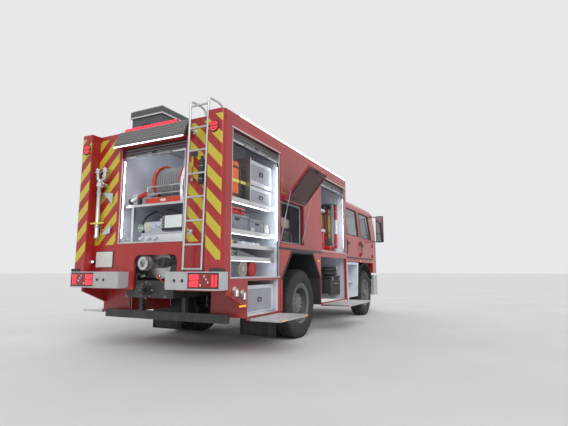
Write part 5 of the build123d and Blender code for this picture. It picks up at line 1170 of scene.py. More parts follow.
def reel():
    """The drum wound with hose, and its flanges with rims, spokes and hubs."""
    piece = Piece("hose_reel_forms", "hose_reel")
    x, z = REEL_CENTRE
    y0, y1 = REEL_Y
    turns = int((y1 - y0 - 0.03) / (2.55 * HOSE_RADIUS))
    for i in range(turns):
        y = y0 + 0.018 + (i + 0.5) * (y1 - y0 - 0.036) / turns
        torus(piece, (x, y, z), LEFT, REEL_HOSE - HOSE_RADIUS, HOSE_RADIUS * 0.96, "grey_hose", 56, 10)
    piece.drum(REEL_HOSE - 2.0 * HOSE_RADIUS, y0 + 0.008, y1 - 0.008, (x, 0, z), LEFT, "frame_grey", 48)
    for y, way in ((y0, 1), (y1, -1)):
        outline = circle(x, z, REEL_FLANGE - 0.006, 60)
        low, high = sorted((y, y + way * 0.006))
        plate(piece, outline, [], "y", low, high, "reel_red")
        torus(piece, (x, y + way * 0.006, z), LEFT, REEL_FLANGE - 0.007, 0.006, "reel_red", 60, 10)
        band = [(REEL_FLANGE - 0.030, y), (REEL_FLANGE - 0.002, y), (REEL_FLANGE - 0.002, y + way * 0.040),
                (REEL_FLANGE - 0.012, y + way * 0.046), (REEL_FLANGE - 0.030, y + way * 0.040)]
        piece.lathe(band, (x, 0, z), LEFT, "reel_red", 60)
        for i in range(6):
            angle = math.pi * i / 3
            ray = Vector((math.cos(angle), 0, math.sin(angle)))
            middle = Vector((x, y - way * 0.001, z))
            piece.rod(middle + ray * 0.06, middle + ray * (REEL_FLANGE - 0.02), 0.0055, "reel_red", 10)
        piece.lathe(
            [(0, 0), (0.055, 0), (0.055, 0.014), (0.040, 0.020), (0.022, 0.020),
             (0.022, 0.039), (0, 0.039)],
            (x, y, z), (0, -way, 0), "steel", 28)
        bolts(piece, (x, y - way * 0.014, z), (0, -way, 0), 0.046, 6, 0.010)
    piece.done("hose_reel")


reel()


def reel_kit():
    """Guard rails, motor, red skid with its blank plate, guide rods, hoses and the branch pipe."""
    piece = Piece("reel_kit")
    x, z = REEL_CENTRE
    y0, y1 = REEL_Y
    shelf = 1.945
    front = x - 0.332
    piece.box((front, y0 - 0.058, shelf + 0.012), (front + 0.006, y1 + 0.058, shelf + 0.088),
              "reel_red", 0.002, 1)
    piece.box((front - 0.002, -0.110, shelf + 0.036), (front + 0.002, -0.020, shelf + 0.068),
              "clear_lens", 0.001, 1)
    for y in (y0 + 0.13, y1 - 0.13):
        piece.rod((x - 0.320, y, shelf + 0.085), (x - 0.320, y, shelf + 0.255), 0.0035, "steel", 8)
    for level in (0.150, 0.250):
        rail = [(x - 0.10, y0 - 0.030, shelf + level), (x - 0.320, y0 - 0.045, shelf + level),
                (x - 0.320, y1 + 0.045, shelf + level), (x - 0.10, y1 + 0.030, shelf + level)]
        piece.pipe(rail, 0.010, "steel", 12, smooth=2)
    branch = Vector((x - 0.36, y1 + 0.035, shelf + 0.150))
    ahead = Vector((0.02, 0.95, -0.30)).normalized()

    def along(distance, lift=0.0):
        return branch + ahead * distance + Vector((0, 0, lift))

    piece.rod(along(-0.02), along(0.14), 0.032, "red_hose", 20, 0.006)
    piece.rod(along(0.13), along(0.27), 0.026, "bottle_white", 20, 0.004)
    grip = [along(0.15, 0.02), along(0.17, 0.065), along(0.24, 0.065), along(0.26, 0.02)]
    piece.pipe(grip, 0.008, "bottle_white", 10, smooth=2)
    piece.lathe([(0, 0), (0.036, 0), (0.042, 0.01), (0.042, 0.034), (0.032, 0.042), (0, 0.042)],
                along(0.27), ahead, BLACK, 24)
    piece.pipe(
        [branch, branch + Vector((0.02, -0.08, -0.03)), branch + Vector((0.10, -0.13, 0.02)),
         (x - 0.17, y1 - 0.04, z - 0.15)],
        0.015, "grey_hose", 12, smooth=3)
    piece.box((x - 0.385, y1 + 0.115, shelf), (x - 0.335, y1 + 0.165, shelf + 0.105), BLACK, 0.006, 2)
    piece.lathe([(0, 0), (0.060, 0), (0.060, 0.11), (0.045, 0.125), (0, 0.125)],
                (x + 0.05, y1 + 0.045, z - 0.13), LEFT, "frame_grey", 28)
    bolts(piece, (x + 0.05, y1 + 0.170, z - 0.13), LEFT, 0.040, 4, 0.010)
    for y in (y0 - 0.055, y1 + 0.055):
        piece.drum(0.045, -0.006, 0.006, (x, y, z), LEFT, "steel", 24)
    piece.pipe(
        [(x - 0.06, y0 - 0.080, z + 0.26), (x - 0.20, y0 - 0.100, z + 0.10),
         (x - 0.16, y0 - 0.105, z - 0.15), (x - 0.02, y0 - 0.080, z - 0.30)],
        0.016, "clear_hose", 12, smooth=3)
    feed = [
        (x - 0.02, y0 - 0.060, z), (x - 0.10, y0 - 0.085, z + 0.16), (x - 0.30, y0 - 0.100, z + 0.20),
        (x - 0.385, y0 - 0.085, z - 0.02), (x - 0.370, y0 - 0.080, z - 0.30), (x - 0.34, y0 - 0.090, 1.930)]
    piece.pipe(feed, 0.019, "clear_hose", 14, smooth=3)
    piece.done()


reel_kit()


# Pump panel: display, gauges, hand wheels on their valves, manifold and tray

PANEL_X = -3.410
WHEEL_TABLE = [
    # y, z, radius, look
    (0.035, 1.640, 0.046, "wheel_blue"),
    (0.155, 1.632, 0.056, "wheel_cream"),
    (0.285, 1.625, 0.050, "valve_green"),
]


def hand_wheel(piece, y, z, radius, key):
    """Five-lobed wheel with spokes on a valve spindle."""
    x = PANEL_X - 0.036
    rim = [(x, a, b) for a, b in circle(y, z, radius * 0.86, 20)]
    piece.pipe([*rim, rim[0]], radius * 0.13, key, 8)
    for a, b in circle(y, z, radius * 0.8, 5):
        piece.rod((x, y, z), (x, a, b), radius * 0.09, key, 8)
    for a, b in circle(y, z, radius * 0.84, 5):
        piece.drum(radius * 0.2, -0.005, 0.005, (x, a, b), AHEAD, key, 12)
    piece.lathe(
        [(0, -0.010), (0.014, -0.008), (0.014, 0.010), (0.011, 0.036), (0.017, 0.040), (0.017, 0.060),
         (0.013, 0.064), (0.013, 0.096), (0, 0.096)],
        (x, y, z), AHEAD, "chrome", 20)


def pump_panel():
    """Display with buttons, gauges, hand wheels and outlets, cabinet and hoses."""
    piece = Piece("pump_panel_forms")
    x0 = PANEL_X
    piece.box((x0, -0.420, 1.580), (x0 + 0.060, -0.050, 1.800), BLACK, 0.012, 3)
    piece.box((x0 - 0.001, -0.396, 1.612), (x0 + 0.002, -0.106, 1.778), "screen_white", 0.001, 1)
    for i in range(5):
        z = 1.625 + i * 0.034
        piece.lathe([(0, 0), (0.010, 0), (0.009, 0.004), (0, 0.005)], (x0, -0.078, z), BACK,
                    "satin_button", 14)
    piece.box((x0 + 0.062, -0.478, 1.700), (x0 + 0.196, 0.328, 1.716), ALUMINIUM, 0.002, 1)
    piece.box((x0 + 0.060, -0.480, 1.562), (x0 + 0.200, 0.330, 1.700), "light_grey", 0.006, 2)
    piece.box((x0 + 0.020, -0.480, 1.420), (x0 + 0.400, 0.330, 1.540), "light_grey", 0.008, 2)
    piece.box((x0 + 0.014, -0.474, 1.540), (x0 + 0.396, 0.324, 1.560), ALUMINIUM, 0.003, 1)
    piece.box((x0 + 0.006, -0.450, 1.440), (x0 + 0.021, -0.020, 1.532), "bottle_white", 0.004, 2)
    for y, z, radius in ((-0.010, 1.650, 0.026), (-0.010, 1.735, 0.022)):
        piece.lathe(
            [(0, 0), (radius, 0), (radius, 0.022), (radius - 0.005, 0.026),
             (radius - 0.007, 0.020), (0, 0.020)],
            (x0 + 0.060, y, z), BACK, "chrome", 30)
        piece.lathe([(0, 0.0205), (radius - 0.008, 0.0205), (0, 0.0208)], (x0 + 0.060, y, z), BACK,
                    "screen_white", 30)
        piece.box((x0 + 0.038, y - 0.0015, z - 0.002), (x0 + 0.0395, y + 0.0015, z + radius - 0.012), BLACK)
    for y, z, radius, key in WHEEL_TABLE:
        hand_wheel(piece, y, z, radius, key)
        piece.lathe([(0, 0), (0.030, 0), (0.030, 0.012), (0.022, 0.016), (0.022, 0.070), (0, 0.070)],
                    (x0 + 0.022, y, 1.480), BACK, "chrome", 24)
        piece.lathe([(0.022, 0.030), (0.031, 0.032), (0.031, 0.050), (0.022, 0.052)],
                    (x0 + 0.022, y, 1.480), BACK, "chrome", 24)
    pipes = [(x0 + 0.10, 0.300, 1.50), (x0 + 0.02, 0.330, 1.62), (x0 + 0.10, 0.345, 1.80),
             (x0 + 0.30, 0.320, 1.90)]
    piece.pipe(pipes, 0.012, BLACK, 10, smooth=2)
    piece.pipe(
        [(x0 + 0.12, -0.30, 1.80), (x0 + 0.05, -0.20, 1.86), (x0 + 0.10, -0.02, 1.88),
         (x0 + 0.25, 0.10, 1.905)],
        0.008, BLACK, 10, smooth=2)
    piece.done("control_panel")


pump_panel()


# Hydrant standpipe with three claw heads, its clamps, strap and two pennants

STAND = (-3.630, 0.925)
HEAD_SIZE = 1.20


def claw_head(piece, place, axis, size=1.0):
    """Threaded outlet with a claw coupling cap; its profile is in metres at size 1."""
    shape = [(0, 0), (0.026, 0), (0.026, 0.022), (0.036, 0.026), (0.036, 0.040), (0.030, 0.044),
             (0.030, 0.056), (0.039, 0.058), (0.039, 0.070), (0, 0.070)]
    piece.lathe([(r * size, h * size) for r, h in shape], place, axis, "chrome", 30)
    place, axis = Vector(place), Vector(axis)
    for point in ring_of(place + axis * 0.070 * size, axis, 0.031 * size, 2, 0.6):
        piece.drum(0.009 * size, 0, 0.011 * size, point, axis, "chrome", 10)
    for point in ring_of(place + axis * 0.027 * size, axis, 0.036 * size, 8):
        piece.drum(0.005 * size, 0, 0.012 * size, point, axis, "chrome", 8)


# Corners of the pennants, from the pipe's centre and a height
UPPER_PENNANT = [(-0.225, -0.050), (-0.040, 0.120), (-0.235, 0.100)]
LOWER_PENNANT = [(-0.060, -0.020), (-0.215, 0.000), (-0.225, 0.140)]


def standpipe():
    """Upright pipe with three claw heads, two clamps, a strap and two pennants on the wall."""
    piece = Piece("standpipe_forms")
    x, y = STAND
    profile = [(0, 1.490), (0.030, 1.490), (0.034, 1.496), (0.034, 1.530), (0.029, 1.536), (0.029, 2.240),
               (0.034, 2.250), (0.034, 2.300), (0.026, 2.325), (0, 2.330)]
    piece.lathe(profile, (x, y, 0), UP, ALUMINIUM, 32)
    for head_y in (y - 0.104, y + 0.040):
        arm = [(x, y, 2.270), (x, (y + head_y) / 2, 2.318), (x, head_y, 2.335), (x, head_y, 2.398)]
        piece.pipe(arm, 0.025, ALUMINIUM, 18, smooth=2)
        claw_head(piece, (x, head_y, 2.394), UP, HEAD_SIZE)
        piece.rod((x - 0.036, head_y, 2.366), (x + 0.036, head_y, 2.366), 0.006, "chrome", 10)
        piece.drum(0.017, -0.003, 0.003, (x - 0.036, head_y, 2.366), AHEAD, "chrome", 16)
    piece.pipe([(x, y, 2.215), (x, y - 0.062, 2.232), (x, y - 0.098, 2.240)], 0.025,
               ALUMINIUM, 18, smooth=2)
    claw_head(piece, (x - 0.008, y - 0.104, 2.240), BACK, HEAD_SIZE)
    piece.drum(0.030, -0.030, 0.030, (x, y - 0.104, 2.240), AHEAD, ALUMINIUM, 24)
    for z in (1.640, 2.120):
        piece.tube(0.0295, 0.0360, 0, 0.030, (x, y, z), UP, "steel", 32)
        piece.box((x + 0.032, y - 0.014, z), (RECESS_X, y + 0.014, z + 0.030), "steel", 0.002, 1)
        piece.box((x - 0.012, y + 0.034, z + 0.002), (x + 0.012, y + 0.052, z + 0.028), "steel", 0.003, 1)
    piece.tube(0.0300, 0.0335, 1.688, 1.716, (x, y, 0), UP, "yellow_band", 28)
    piece.box((x - 0.010, y + 0.031, 1.684), (x + 0.010, y + 0.039, 1.720), BLACK, 0.002, 1)
    for z, flag in ((2.020, UPPER_PENNANT), (1.560, LOWER_PENNANT)):
        piece.prism([(y + a, z + b) for a, b in flag], "x", RECESS_X - 0.022,
                    RECESS_X - 0.020, "pennant_blue")
        piece.rod((RECESS_X - 0.021, y - 0.034, z - 0.02), (RECESS_X - 0.021, y - 0.034, z + 0.12),
                  0.003, "steel", 8)
        piece.box((RECESS_X - 0.024, y - 0.060, z + 0.050), (RECESS_X, y - 0.024, z + 0.062),
                  "steel", 0.001, 1)
    piece.box((x - 0.036, y - 0.170, 1.690), (x - 0.033, y + 0.110, 1.712), "yellow_band", 0.001, 1)
    piece.done("standpipe")


standpipe()


# Rear face: hood, plate carrier, bumper fittings, tools behind the ladder, couplings

def rear_face():
    """Stepped hood over the opening, edges of the opening and columns, and rubber pads on the bumpers."""
    piece = Piece("rear_face_kit")
    hood_back = RECESS_X - 0.110
    steps = 5
    low_z, high_z = OPENING_TOP + 0.040, ROOF_Z - 0.002
    profile = []
    for i in range(steps):
        for k, share in ((0.0, i / steps), (0.006, (i + 0.15) / steps), (0.006, (i + 0.85) / steps),
                         (0.0, (i + 1.0) / steps)):
            profile.append((hood_back - 0.001 - k + 0.090 * share, low_z + (high_z - low_z) * share))
    profile += [(hood_back + 0.100, high_z), (hood_back + 0.012, low_z)]
    piece.prism(profile, "y", -0.619, 0.619, "hood_grey")
    piece.box((hood_back - 0.004, -0.620, OPENING_TOP + 0.010),
              (hood_back + 0.012, 0.620, OPENING_TOP + 0.044), "hood_grey", 0.003, 1)
    for side in (-1, 1):
        piece.prism(
            [(hood_back - 0.003, OPENING_TOP + 0.012), (RECESS_X, OPENING_TOP + 0.012), (RECESS_X, ROOF_Z),
             (hood_back + 0.09, ROOF_Z)],
            "y", side * 0.618, side * 0.624, BLACK)
    opening = OPENING_HALF
    for y in (-opening, opening - 0.014):
        piece.box((RECESS_X - 0.005, y, DECK_Z + 0.006), (RECESS_X + 0.002, y + 0.014, OPENING_TOP - 0.150),
                  ALUMINIUM, 0.001, 1)
    piece.box((RECESS_X - 0.008, -opening - 0.01, DECK_Z - 0.012),
              (RECESS_X + 0.010, opening + 0.01, DECK_Z + 0.010), ALUMINIUM, 0.003, 2)
    for y, way in ((opening - 0.020, -1), (0.004 - opening, 1)):
        low, high = (RECESS_X + 0.032, y, DECK_Z + 0.06), (RECESS_X + 0.046, y + 0.016, OPENING_TOP - 0.17)
        light_strip(piece, low, high, (1, way), "bay_light")
    for side in (-1, 1):
        piece.box((BODY_REAR - 0.0015, side * (COLUMN_INNER - 0.0015), 1.040),
                  (BODY_REAR + 0.010, side * (COLUMN_INNER + 0.004), ROOF_Z - 0.004), "red_paint", 0.001, 1)
        piece.box((REAR + 0.005, side * 1.100, BUMPER_TOP + 0.0005),
                  (REAR + 0.120, side * 1.250, BUMPER_TOP + 0.040), BLACK, 0.010, 3)
        for k in range(3):
            y = side * (1.125 + k * 0.05)
            piece.box((REAR + 0.001, y - 0.008, BUMPER_TOP + 0.006),
                      (REAR + 0.010, y + 0.008, BUMPER_TOP + 0.034), BLACK, 0.002, 1)
    piece.done()


BUMPER_SPANS = [
    # inner end, outer end, side
    (0.330, 1.250, 1),
    (0.455, 1.250, -1),
]


def bumpers():
    """Boxes with rounded ends and pressed edges, holes and screws beside the lamp pocket."""
    piece = Piece("bumper_forms")
    face = REAR + 0.006
    for inner, outer, side in BUMPER_SPANS:
        lamp = LAMP_POCKET
        spans = [(inner, lamp[0]), (lamp[1], outer)]
        for a, b in spans:
            ys = span(side, a, b)
            holes = []
            if b - a > 0.1:
                middle_z = (BUMPER_TOP + BUMPER_BOTTOM) / 2
                holes = [circle(side * (lamp[0] - d), middle_z, 0.016, 16) for d in (0.080, 0.200)]
                outline = rounded(ys[0], BUMPER_BOTTOM, ys[1], BUMPER_TOP, 0.022)
                plate(piece, outline, holes, "x", face, face + 0.004, "silver_paint")
                for hole_y in (side * (lamp[0] - 0.080), side * (lamp[0] - 0.200)):
                    piece.lathe([(0.0158, 0), (0.020, 0), (0.019, 0.003), (0.0158, 0.003)],
                                (face, hole_y, middle_z), BACK, BLACK, 20)
                    piece.lathe([(0, 0), (0.0157, 0), (0, 0.001)], (face + 0.006, hole_y, middle_z),
                                BACK, BLACK, 16)
                ends = span(side, inner + 0.014, inner + 0.028)
                spots = [(face, (ends[0] + ends[1]) / 2, z)
                         for z in (BUMPER_BOTTOM + 0.024, BUMPER_TOP - 0.024)]
                spots += [(face, side * (lamp[0] - 0.02), z)
                          for z in (BUMPER_BOTTOM + 0.024, BUMPER_TOP - 0.024)]
                screw_row(piece, spots, BACK, 0.016, "steel")
                piece.box((face + 0.003, ys[0], BUMPER_BOTTOM), (RECESS_X, ys[1], BUMPER_BOTTOM + 0.004),
                          "silver_paint", 0.0015, 1)
                piece.box((face + 0.003, ys[0], BUMPER_TOP - 0.004), (RECESS_X, ys[1], BUMPER_TOP),
                          "silver_paint", 0.0015, 1)
                piece.box((face + 0.003, side * inner, BUMPER_BOTTOM + 0.003),
                          (RECESS_X, side * (inner + 0.004), BUMPER_TOP - 0.003), "silver_paint", 0.0015, 1)
                piece.box((face + 0.008, ys[0] + 0.004, BUMPER_BOTTOM + 0.004),
                          (RECESS_X - 0.002, ys[1] - 0.004, BUMPER_TOP - 0.004), "frame_grey")
            else:
                piece.box((face, ys[0], BUMPER_BOTTOM), (RECESS_X, ys[1], BUMPER_TOP),
                          "silver_paint", 0.005, 3)
        ys = span(side, *lamp)
        piece.box((face, ys[0] - 0.001, BUMPER_BOTTOM), (RECESS_X, ys[1] + 0.001, BUMPER_BOTTOM + 0.018),
                  "silver_paint", 0.004, 2)
        piece.box((face, ys[0] - 0.001, BUMPER_TOP - 0.014), (RECESS_X, ys[1] + 0.001, BUMPER_TOP),
                  "silver_paint", 0.004, 2)
        piece.box((REAR + 0.031, ys[0] - 0.001, BUMPER_BOTTOM + 0.017),
                  (RECESS_X, ys[1] + 0.001, BUMPER_TOP - 0.013), "frame_grey")
    piece.done("rear_bumpers")


rear_face()
bumpers()


def plate_carrier():
    """Blank number plate in its frame with two small lamps, on the skirt."""
    piece = Piece("plate_carrier")
    face = RECESS_X
    y0, y1, z0, z1 = 0.640, 0.960, 1.096, 1.306
    plate(piece, rounded(y0 - 0.008, z0 - 0.008, y1 + 0.008, z1 + 0.008, 0.014), [], "x",
          face - 0.010, face, BLACK)
    plate(piece, rounded(y0, z0, y1, z1, 0.010), [], "x", face - 0.012, face - 0.0095, "plate_white")
    screw_row(piece, [(face - 0.012, y, (z0 + z1) / 2) for y in (y0 + 0.03, y1 - 0.03)], BACK, 0.012)
    for y in (0.985, 1.008):
        piece.box((face - 0.040, y - 0.008, 1.150), (face, y + 0.008, 1.190), BLACK, 0.004, 2)
        piece.box((face - 0.042, y - 0.006, 1.155), (face - 0.038, y + 0.006, 1.185),
                  "white_lens", 0.002, 1)
    for side in (-1, 1):
        piece.lathe([(0, 0), (0.034, 0), (0.034, 0.008), (0.028, 0.012), (0, 0.012)],
                    (face, side * 0.97, 1.075), BACK, "dark_red_lens", 28)
    piece.done()


def tools_behind_ladder():
    """Yellow-shafted tool and a small black cylinder in clips on the rear wall."""
    piece = Piece("ladder_tools")
    x = RECESS_X - 0.030
    piece.rod((x, -0.700, 2.33), (x, -0.700, 2.47), 0.014, "yellow_plastic", 16, 0.003)
    piece.rod((x, -0.700, 2.19), (x, -0.700, 2.335), 0.012, "reel_red", 16, 0.003)
    piece.rod((x, -0.700, 2.15), (x, -0.700, 2.195), 0.016, "steel", 16, 0.004)
    piece.lathe(
        [(0, 2.10), (0.036, 2.10), (0.044, 2.115), (0.044, 2.38), (0.036, 2.40), (0.018, 2.415),
         (0.018, 2.45), (0, 2.455)],
        (x - 0.012, -0.860, 0), UP, BLACK, 28)
    for z in (2.16, 2.32):
        torus(piece, (x - 0.012, -0.860, z), UP, 0.0445, 0.004, "steel", 28, 8)
        piece.box((x + 0.010, -0.875, z - 0.012), (RECESS_X, -0.845, z + 0.012), "steel", 0.001, 1)
        piece.box((x - 0.002, -0.715, z + 0.028), (RECESS_X, -0.685, z + 0.046), "steel", 0.002, 1)
    piece.box((RECESS_X - 0.006, -0.760, 2.47), (RECESS_X, -0.640, 2.55), "frame_grey", 0.003, 1)
    piece.done()


plate_carrier()
tools_behind_ladder()


def claw_coupling(piece, place, axis, radius, key=ALUMINIUM):
    """Fire hose coupling: collar, ribbed ring and two opposed claws."""
    r = radius
    profile = [(r * 0.62, 0), (r * 0.86, 0), (r * 0.86, r * 0.30), (r, r * 0.34), (r, r * 0.72),
               (r * 0.90, r * 0.78), (r * 0.90, r * 0.92), (r * 0.62, r * 0.92)]
    piece.lathe(profile, place, axis, key, 36)
    for point in ring_of(Vector(place) + Vector(axis) * r * 0.90, axis, r * 0.78, 2, 0.5):
        piece.lathe([(0, 0), (r * 0.16, 0), (r * 0.16, r * 0.20), (0, r * 0.22)], point, axis, key, 12)
    for point in ring_of(Vector(place) + Vector(axis) * r * 0.36, axis, r * 1.0, 12, 0.1):
        piece.drum(r * 0.06, 0, r * 0.34, point, axis, key, 6)


SUCTION_Z = 1.140
SECOND_COUPLING = (-3.520, -0.230, 1.150)


def pump_fittings():
    """Suction coupling and its strainer, a second capped coupling, hoses and bolts in the cut-out."""
    piece = Piece("pump_fittings")

    def at(x):
        return (x, 0.0, SUCTION_Z)

    piece.lathe(
        [(0.052, 0), (0.086, 0), (0.086, 0.012), (0.080, 0.018), (0.080, 0.040), (0.088, 0.044),
         (0.088, 0.054), (0.052, 0.054)],
        at(-3.604), BACK, "dull_metal", 44)
    for k in range(3):
        torus(piece, at(-3.575 - 0.022 * k), BACK, 0.084, 0.006, "dull_metal", 44, 8)
    piece.drum(0.0495, 0, 0.003, at(-3.532), BACK, "bronze", 30)
    for radius, count in ((0.034, 8), (0.016, 4)):
        for point in ring_of(at(-3.535), BACK, radius, count):
            piece.drum(0.005, 0, 0.001, point, BACK, BLACK, 8)
    for point in ring_of(at(-3.655), BACK, 0.070, 2, 0.7):
        piece.lathe([(0, 0), (0.012, 0), (0.012, 0.010), (0, 0.011)], point, BACK, "dull_metal", 14)
    for point in ring_of(at(-3.622), BACK, 0.081, 16):
        piece.drum(0.006, 0, 0.020, point, BACK, "dull_metal", 8)
    claw_coupling(piece, SECOND_COUPLING, BACK, 0.068, "frame_grey")
    piece.lathe([(0, 0.040), (0.042, 0.040), (0.042, 0.046), (0, 0.048)], SECOND_COUPLING, BACK, BLACK, 30)
    torus(piece, (-3.560, -0.230, 1.150), BACK, 0.052, 0.010, BLACK, 30, 8)
    piece.pipe([(-3.50, 0.150, 0.98), (-3.54, 0.190, 1.02), (-3.53, 0.235, 0.94), (-3.50, 0.215, 0.86)],
               0.014, BLACK, 12, smooth=3)
    piece.pipe(
        [(-3.50, -0.120, 0.97), (-3.555, -0.150, 0.99), (-3.56, -0.215, 0.93), (-3.50, -0.245, 0.88)],
        0.010, "red_hose", 12, smooth=3)
    for y in (0.150, -0.120):
        piece.lathe([(0, 0), (0.020, 0), (0.020, 0.020), (0.014, 0.026), (0.014, 0.046), (0, 0.046)],
                    (-3.47, y, 0.975), BACK, "chrome", 20)
    bolts(piece, (-3.5705, 0.0, 0.800), BACK, 0.100, 8, 0.022)
    for y in (-0.330, 0.330):
        for z in (0.72, 0.84):
            bolts(piece, (-3.5705, y, z), BACK, 0.0005, 1, 0.026)
    piece.done()


pump_fittings()


# Stowed kit: drawer boxes, crates, tool case and trays, the same both sides

BAY_X = REAR_BAY_X[0]


def latch(piece, x, y, z, side, width=0.085):
    """Black cup handle with a paddle."""
    plate(
        piece, rounded(x - width / 2, z - 0.028, x + width / 2, z + 0.028, 0.010),
        [rounded(x - width / 2 + 0.008, z - 0.020, x + width / 2 - 0.008, z + 0.020, 0.006)], "y", y,
        y + side * 0.012, BLACK)
    piece.box((x - width / 2 + 0.012, y, z - 0.016), (x + width / 2 - 0.012, y + side * 0.008, z + 0.004),
              "steel", 0.002, 1)


def drawer_box(piece, low, high, side, key="light_grey"):
    """Sheet box with a folded frame, sunk panel, latch and corner rivets on its outward front."""
    x0, y0, z0 = low
    x1, y1, z1 = high
    piece.box((x0, side * y0, z0), (x1, side * y1, z1), key, 0.004, 2)
    rim = 0.022
    for a in (x0, x1 - rim):
        piece.box((a, side * y1, z0), (a + rim, side * (y1 + 0.006), z1), key, 0.002, 1)
    for c in (z0, z1 - rim):
        piece.box((x0 + rim, side * y1, c), (x1 - rim, side * (y1 + 0.006), c + rim), key, 0.002, 1)
    plate(piece, rounded(x0 + 0.05, z0 + 0.045, x1 - 0.05, z1 - 0.045, 0.02), [], "y", side * y1,
          side * (y1 + 0.0025), "drawer_grey")
    latch(piece, (x0 + x1) / 2, side * (y1 + 0.002), (z0 + z1) / 2, side)
    spots = [(x, side * (y1 + 0.006), z) for x in (x0 + 0.011, x1 - 0.011)
             for z in (z0 + 0.011, z1 - 0.011)]
    screw_row(piece, spots, (0, side, 0), 0.010)


def crate(piece, low, high, side):
    """Moulded crate with ribs, stacking rim and hand slot."""
    x0, y0, z0 = low
    x1, y1, z1 = high
    piece.box((x0 + 0.010, side * y0, z0), (x1 - 0.010, side * (y1 - 0.010), z1 - 0.03),
              "crate_grey", 0.008, 2)
    rim = span(side, y0, y1)
    piece.box((x0, rim[0], z1 - 0.034), (x1, rim[1], z1), "crate_grey", 0.006, 2)
    piece.box((x0 + 0.004, rim[0] + 0.002, z0), (x1 - 0.004, rim[1] - 0.002, z0 + 0.014),
              "crate_grey", 0.004, 2)
    count = max(3, int((x1 - x0) / 0.09))
    face = span(side, y1 - 0.012, y1 - 0.003)
    for i in range(count + 1):
        x = x0 + 0.016 + i * (x1 - x0 - 0.044) / count
        piece.box((x, face[0], z0 + 0.012), (x + 0.010, face[1], z1 - 0.030), "crate_grey", 0.002, 1)
    middle = (x0 + x1) / 2
    # The hand slot is drawn as a black box on the face: painted shade in place of the dark opening.
    piece.box((middle - 0.055, face[0], z1 - 0.075), (middle + 0.055, face[1], z1 - 0.045), BLACK, 0.006, 2)
    piece.box((x0 + 0.05, face[0], z0 + 0.05), (x0 + 0.13, face[1], z0 + 0.09), "clear_lens", 0.002, 1)


def tool_case(piece, low, high, side):
    """Hard red case with a parting line, ribs, two catches and a carrying handle."""
    x0, y0, z0 = low
    x1, y1, z1 = high
    ys = span(side, y0, y1)
    middle = (z0 + z1) / 2
    piece.box((x0, ys[0], z0), (x1, ys[1], middle - 0.002), "case_red", 0.018, 4)
    piece.box((x0, ys[0], middle + 0.002), (x1, ys[1], z1 - 0.022), "case_red", 0.018, 4)
    piece.box((x0 + 0.02, ys[0] + 0.015, middle - 0.006), (x1 - 0.02, ys[1] - 0.015, middle + 0.006), BLACK)
    for x in (x0 + 0.10, x1 - 0.14):
        piece.box((x, side * (y1 - 0.004), middle - 0.022), (x + 0.04, side * (y1 + 0.010), middle + 0.022),
                  BLACK, 0.004, 2)
    centre = (x0 + x1) / 2
    top = z1 - 0.024
    handle = [(-0.08, 0.0), (-0.07, 0.020), (0.07, 0.020), (0.08, 0.0)]
    piece.pipe([(centre + a, side * (y1 - 0.10), top + b) for a, b in handle], 0.008, BLACK, 12, smooth=2)
    for i in range(5):
        x = x0 + 0.06 + i * (x1 - x0 - 0.12) / 4
        piece.box((x - 0.006, ys[0] + 0.02, z1 - 0.026), (x + 0.006, ys[1] - 0.02, z1 - 0.018),
                  "case_red", 0.002, 1)


def stowed_kit():
    """Drawers, crates, tool case and small tools of the rear bay and the low locker."""
    for side, word in SIDES:
        piece = Piece(f"stowed_kit_{word}")
        drawer_box(piece, (BAY_X + 0.600, 0.700, 2.230), (BAY_X + 1.220, 1.124, 2.550), side)
        drawer_box(piece, (BAY_X + 0.600, 0.700, 1.930), (BAY_X + 1.220, 1.124, 2.190), side)
        piece.box((BAY_X + 0.578, side * 0.700, 2.205), (BAY_X + 1.270, side * 1.130, 2.230),
                  ALUMINIUM, 0.003, 1)
        crate(piece, (BAY_X + 0.060, 0.700, 1.530), (BAY_X + 0.620, 1.120, 1.760), side)
        crate(piece, (BAY_X + 0.640, 0.700, 1.530), (BAY_X + 1.060, 1.120, 1.740), side)
        drawer_box(piece, (-3.120, 0.760, 0.485), (-2.360, 1.184, 0.860), side)
        tool_case(piece, (BAY_X + 0.090, 0.720, 1.760), (BAY_X + 0.560, 1.100, 1.880), side)
        shelf_tools(piece, side)
        if side > 0:
            piece.done("stowed_boxes")
        else:
            piece.done()


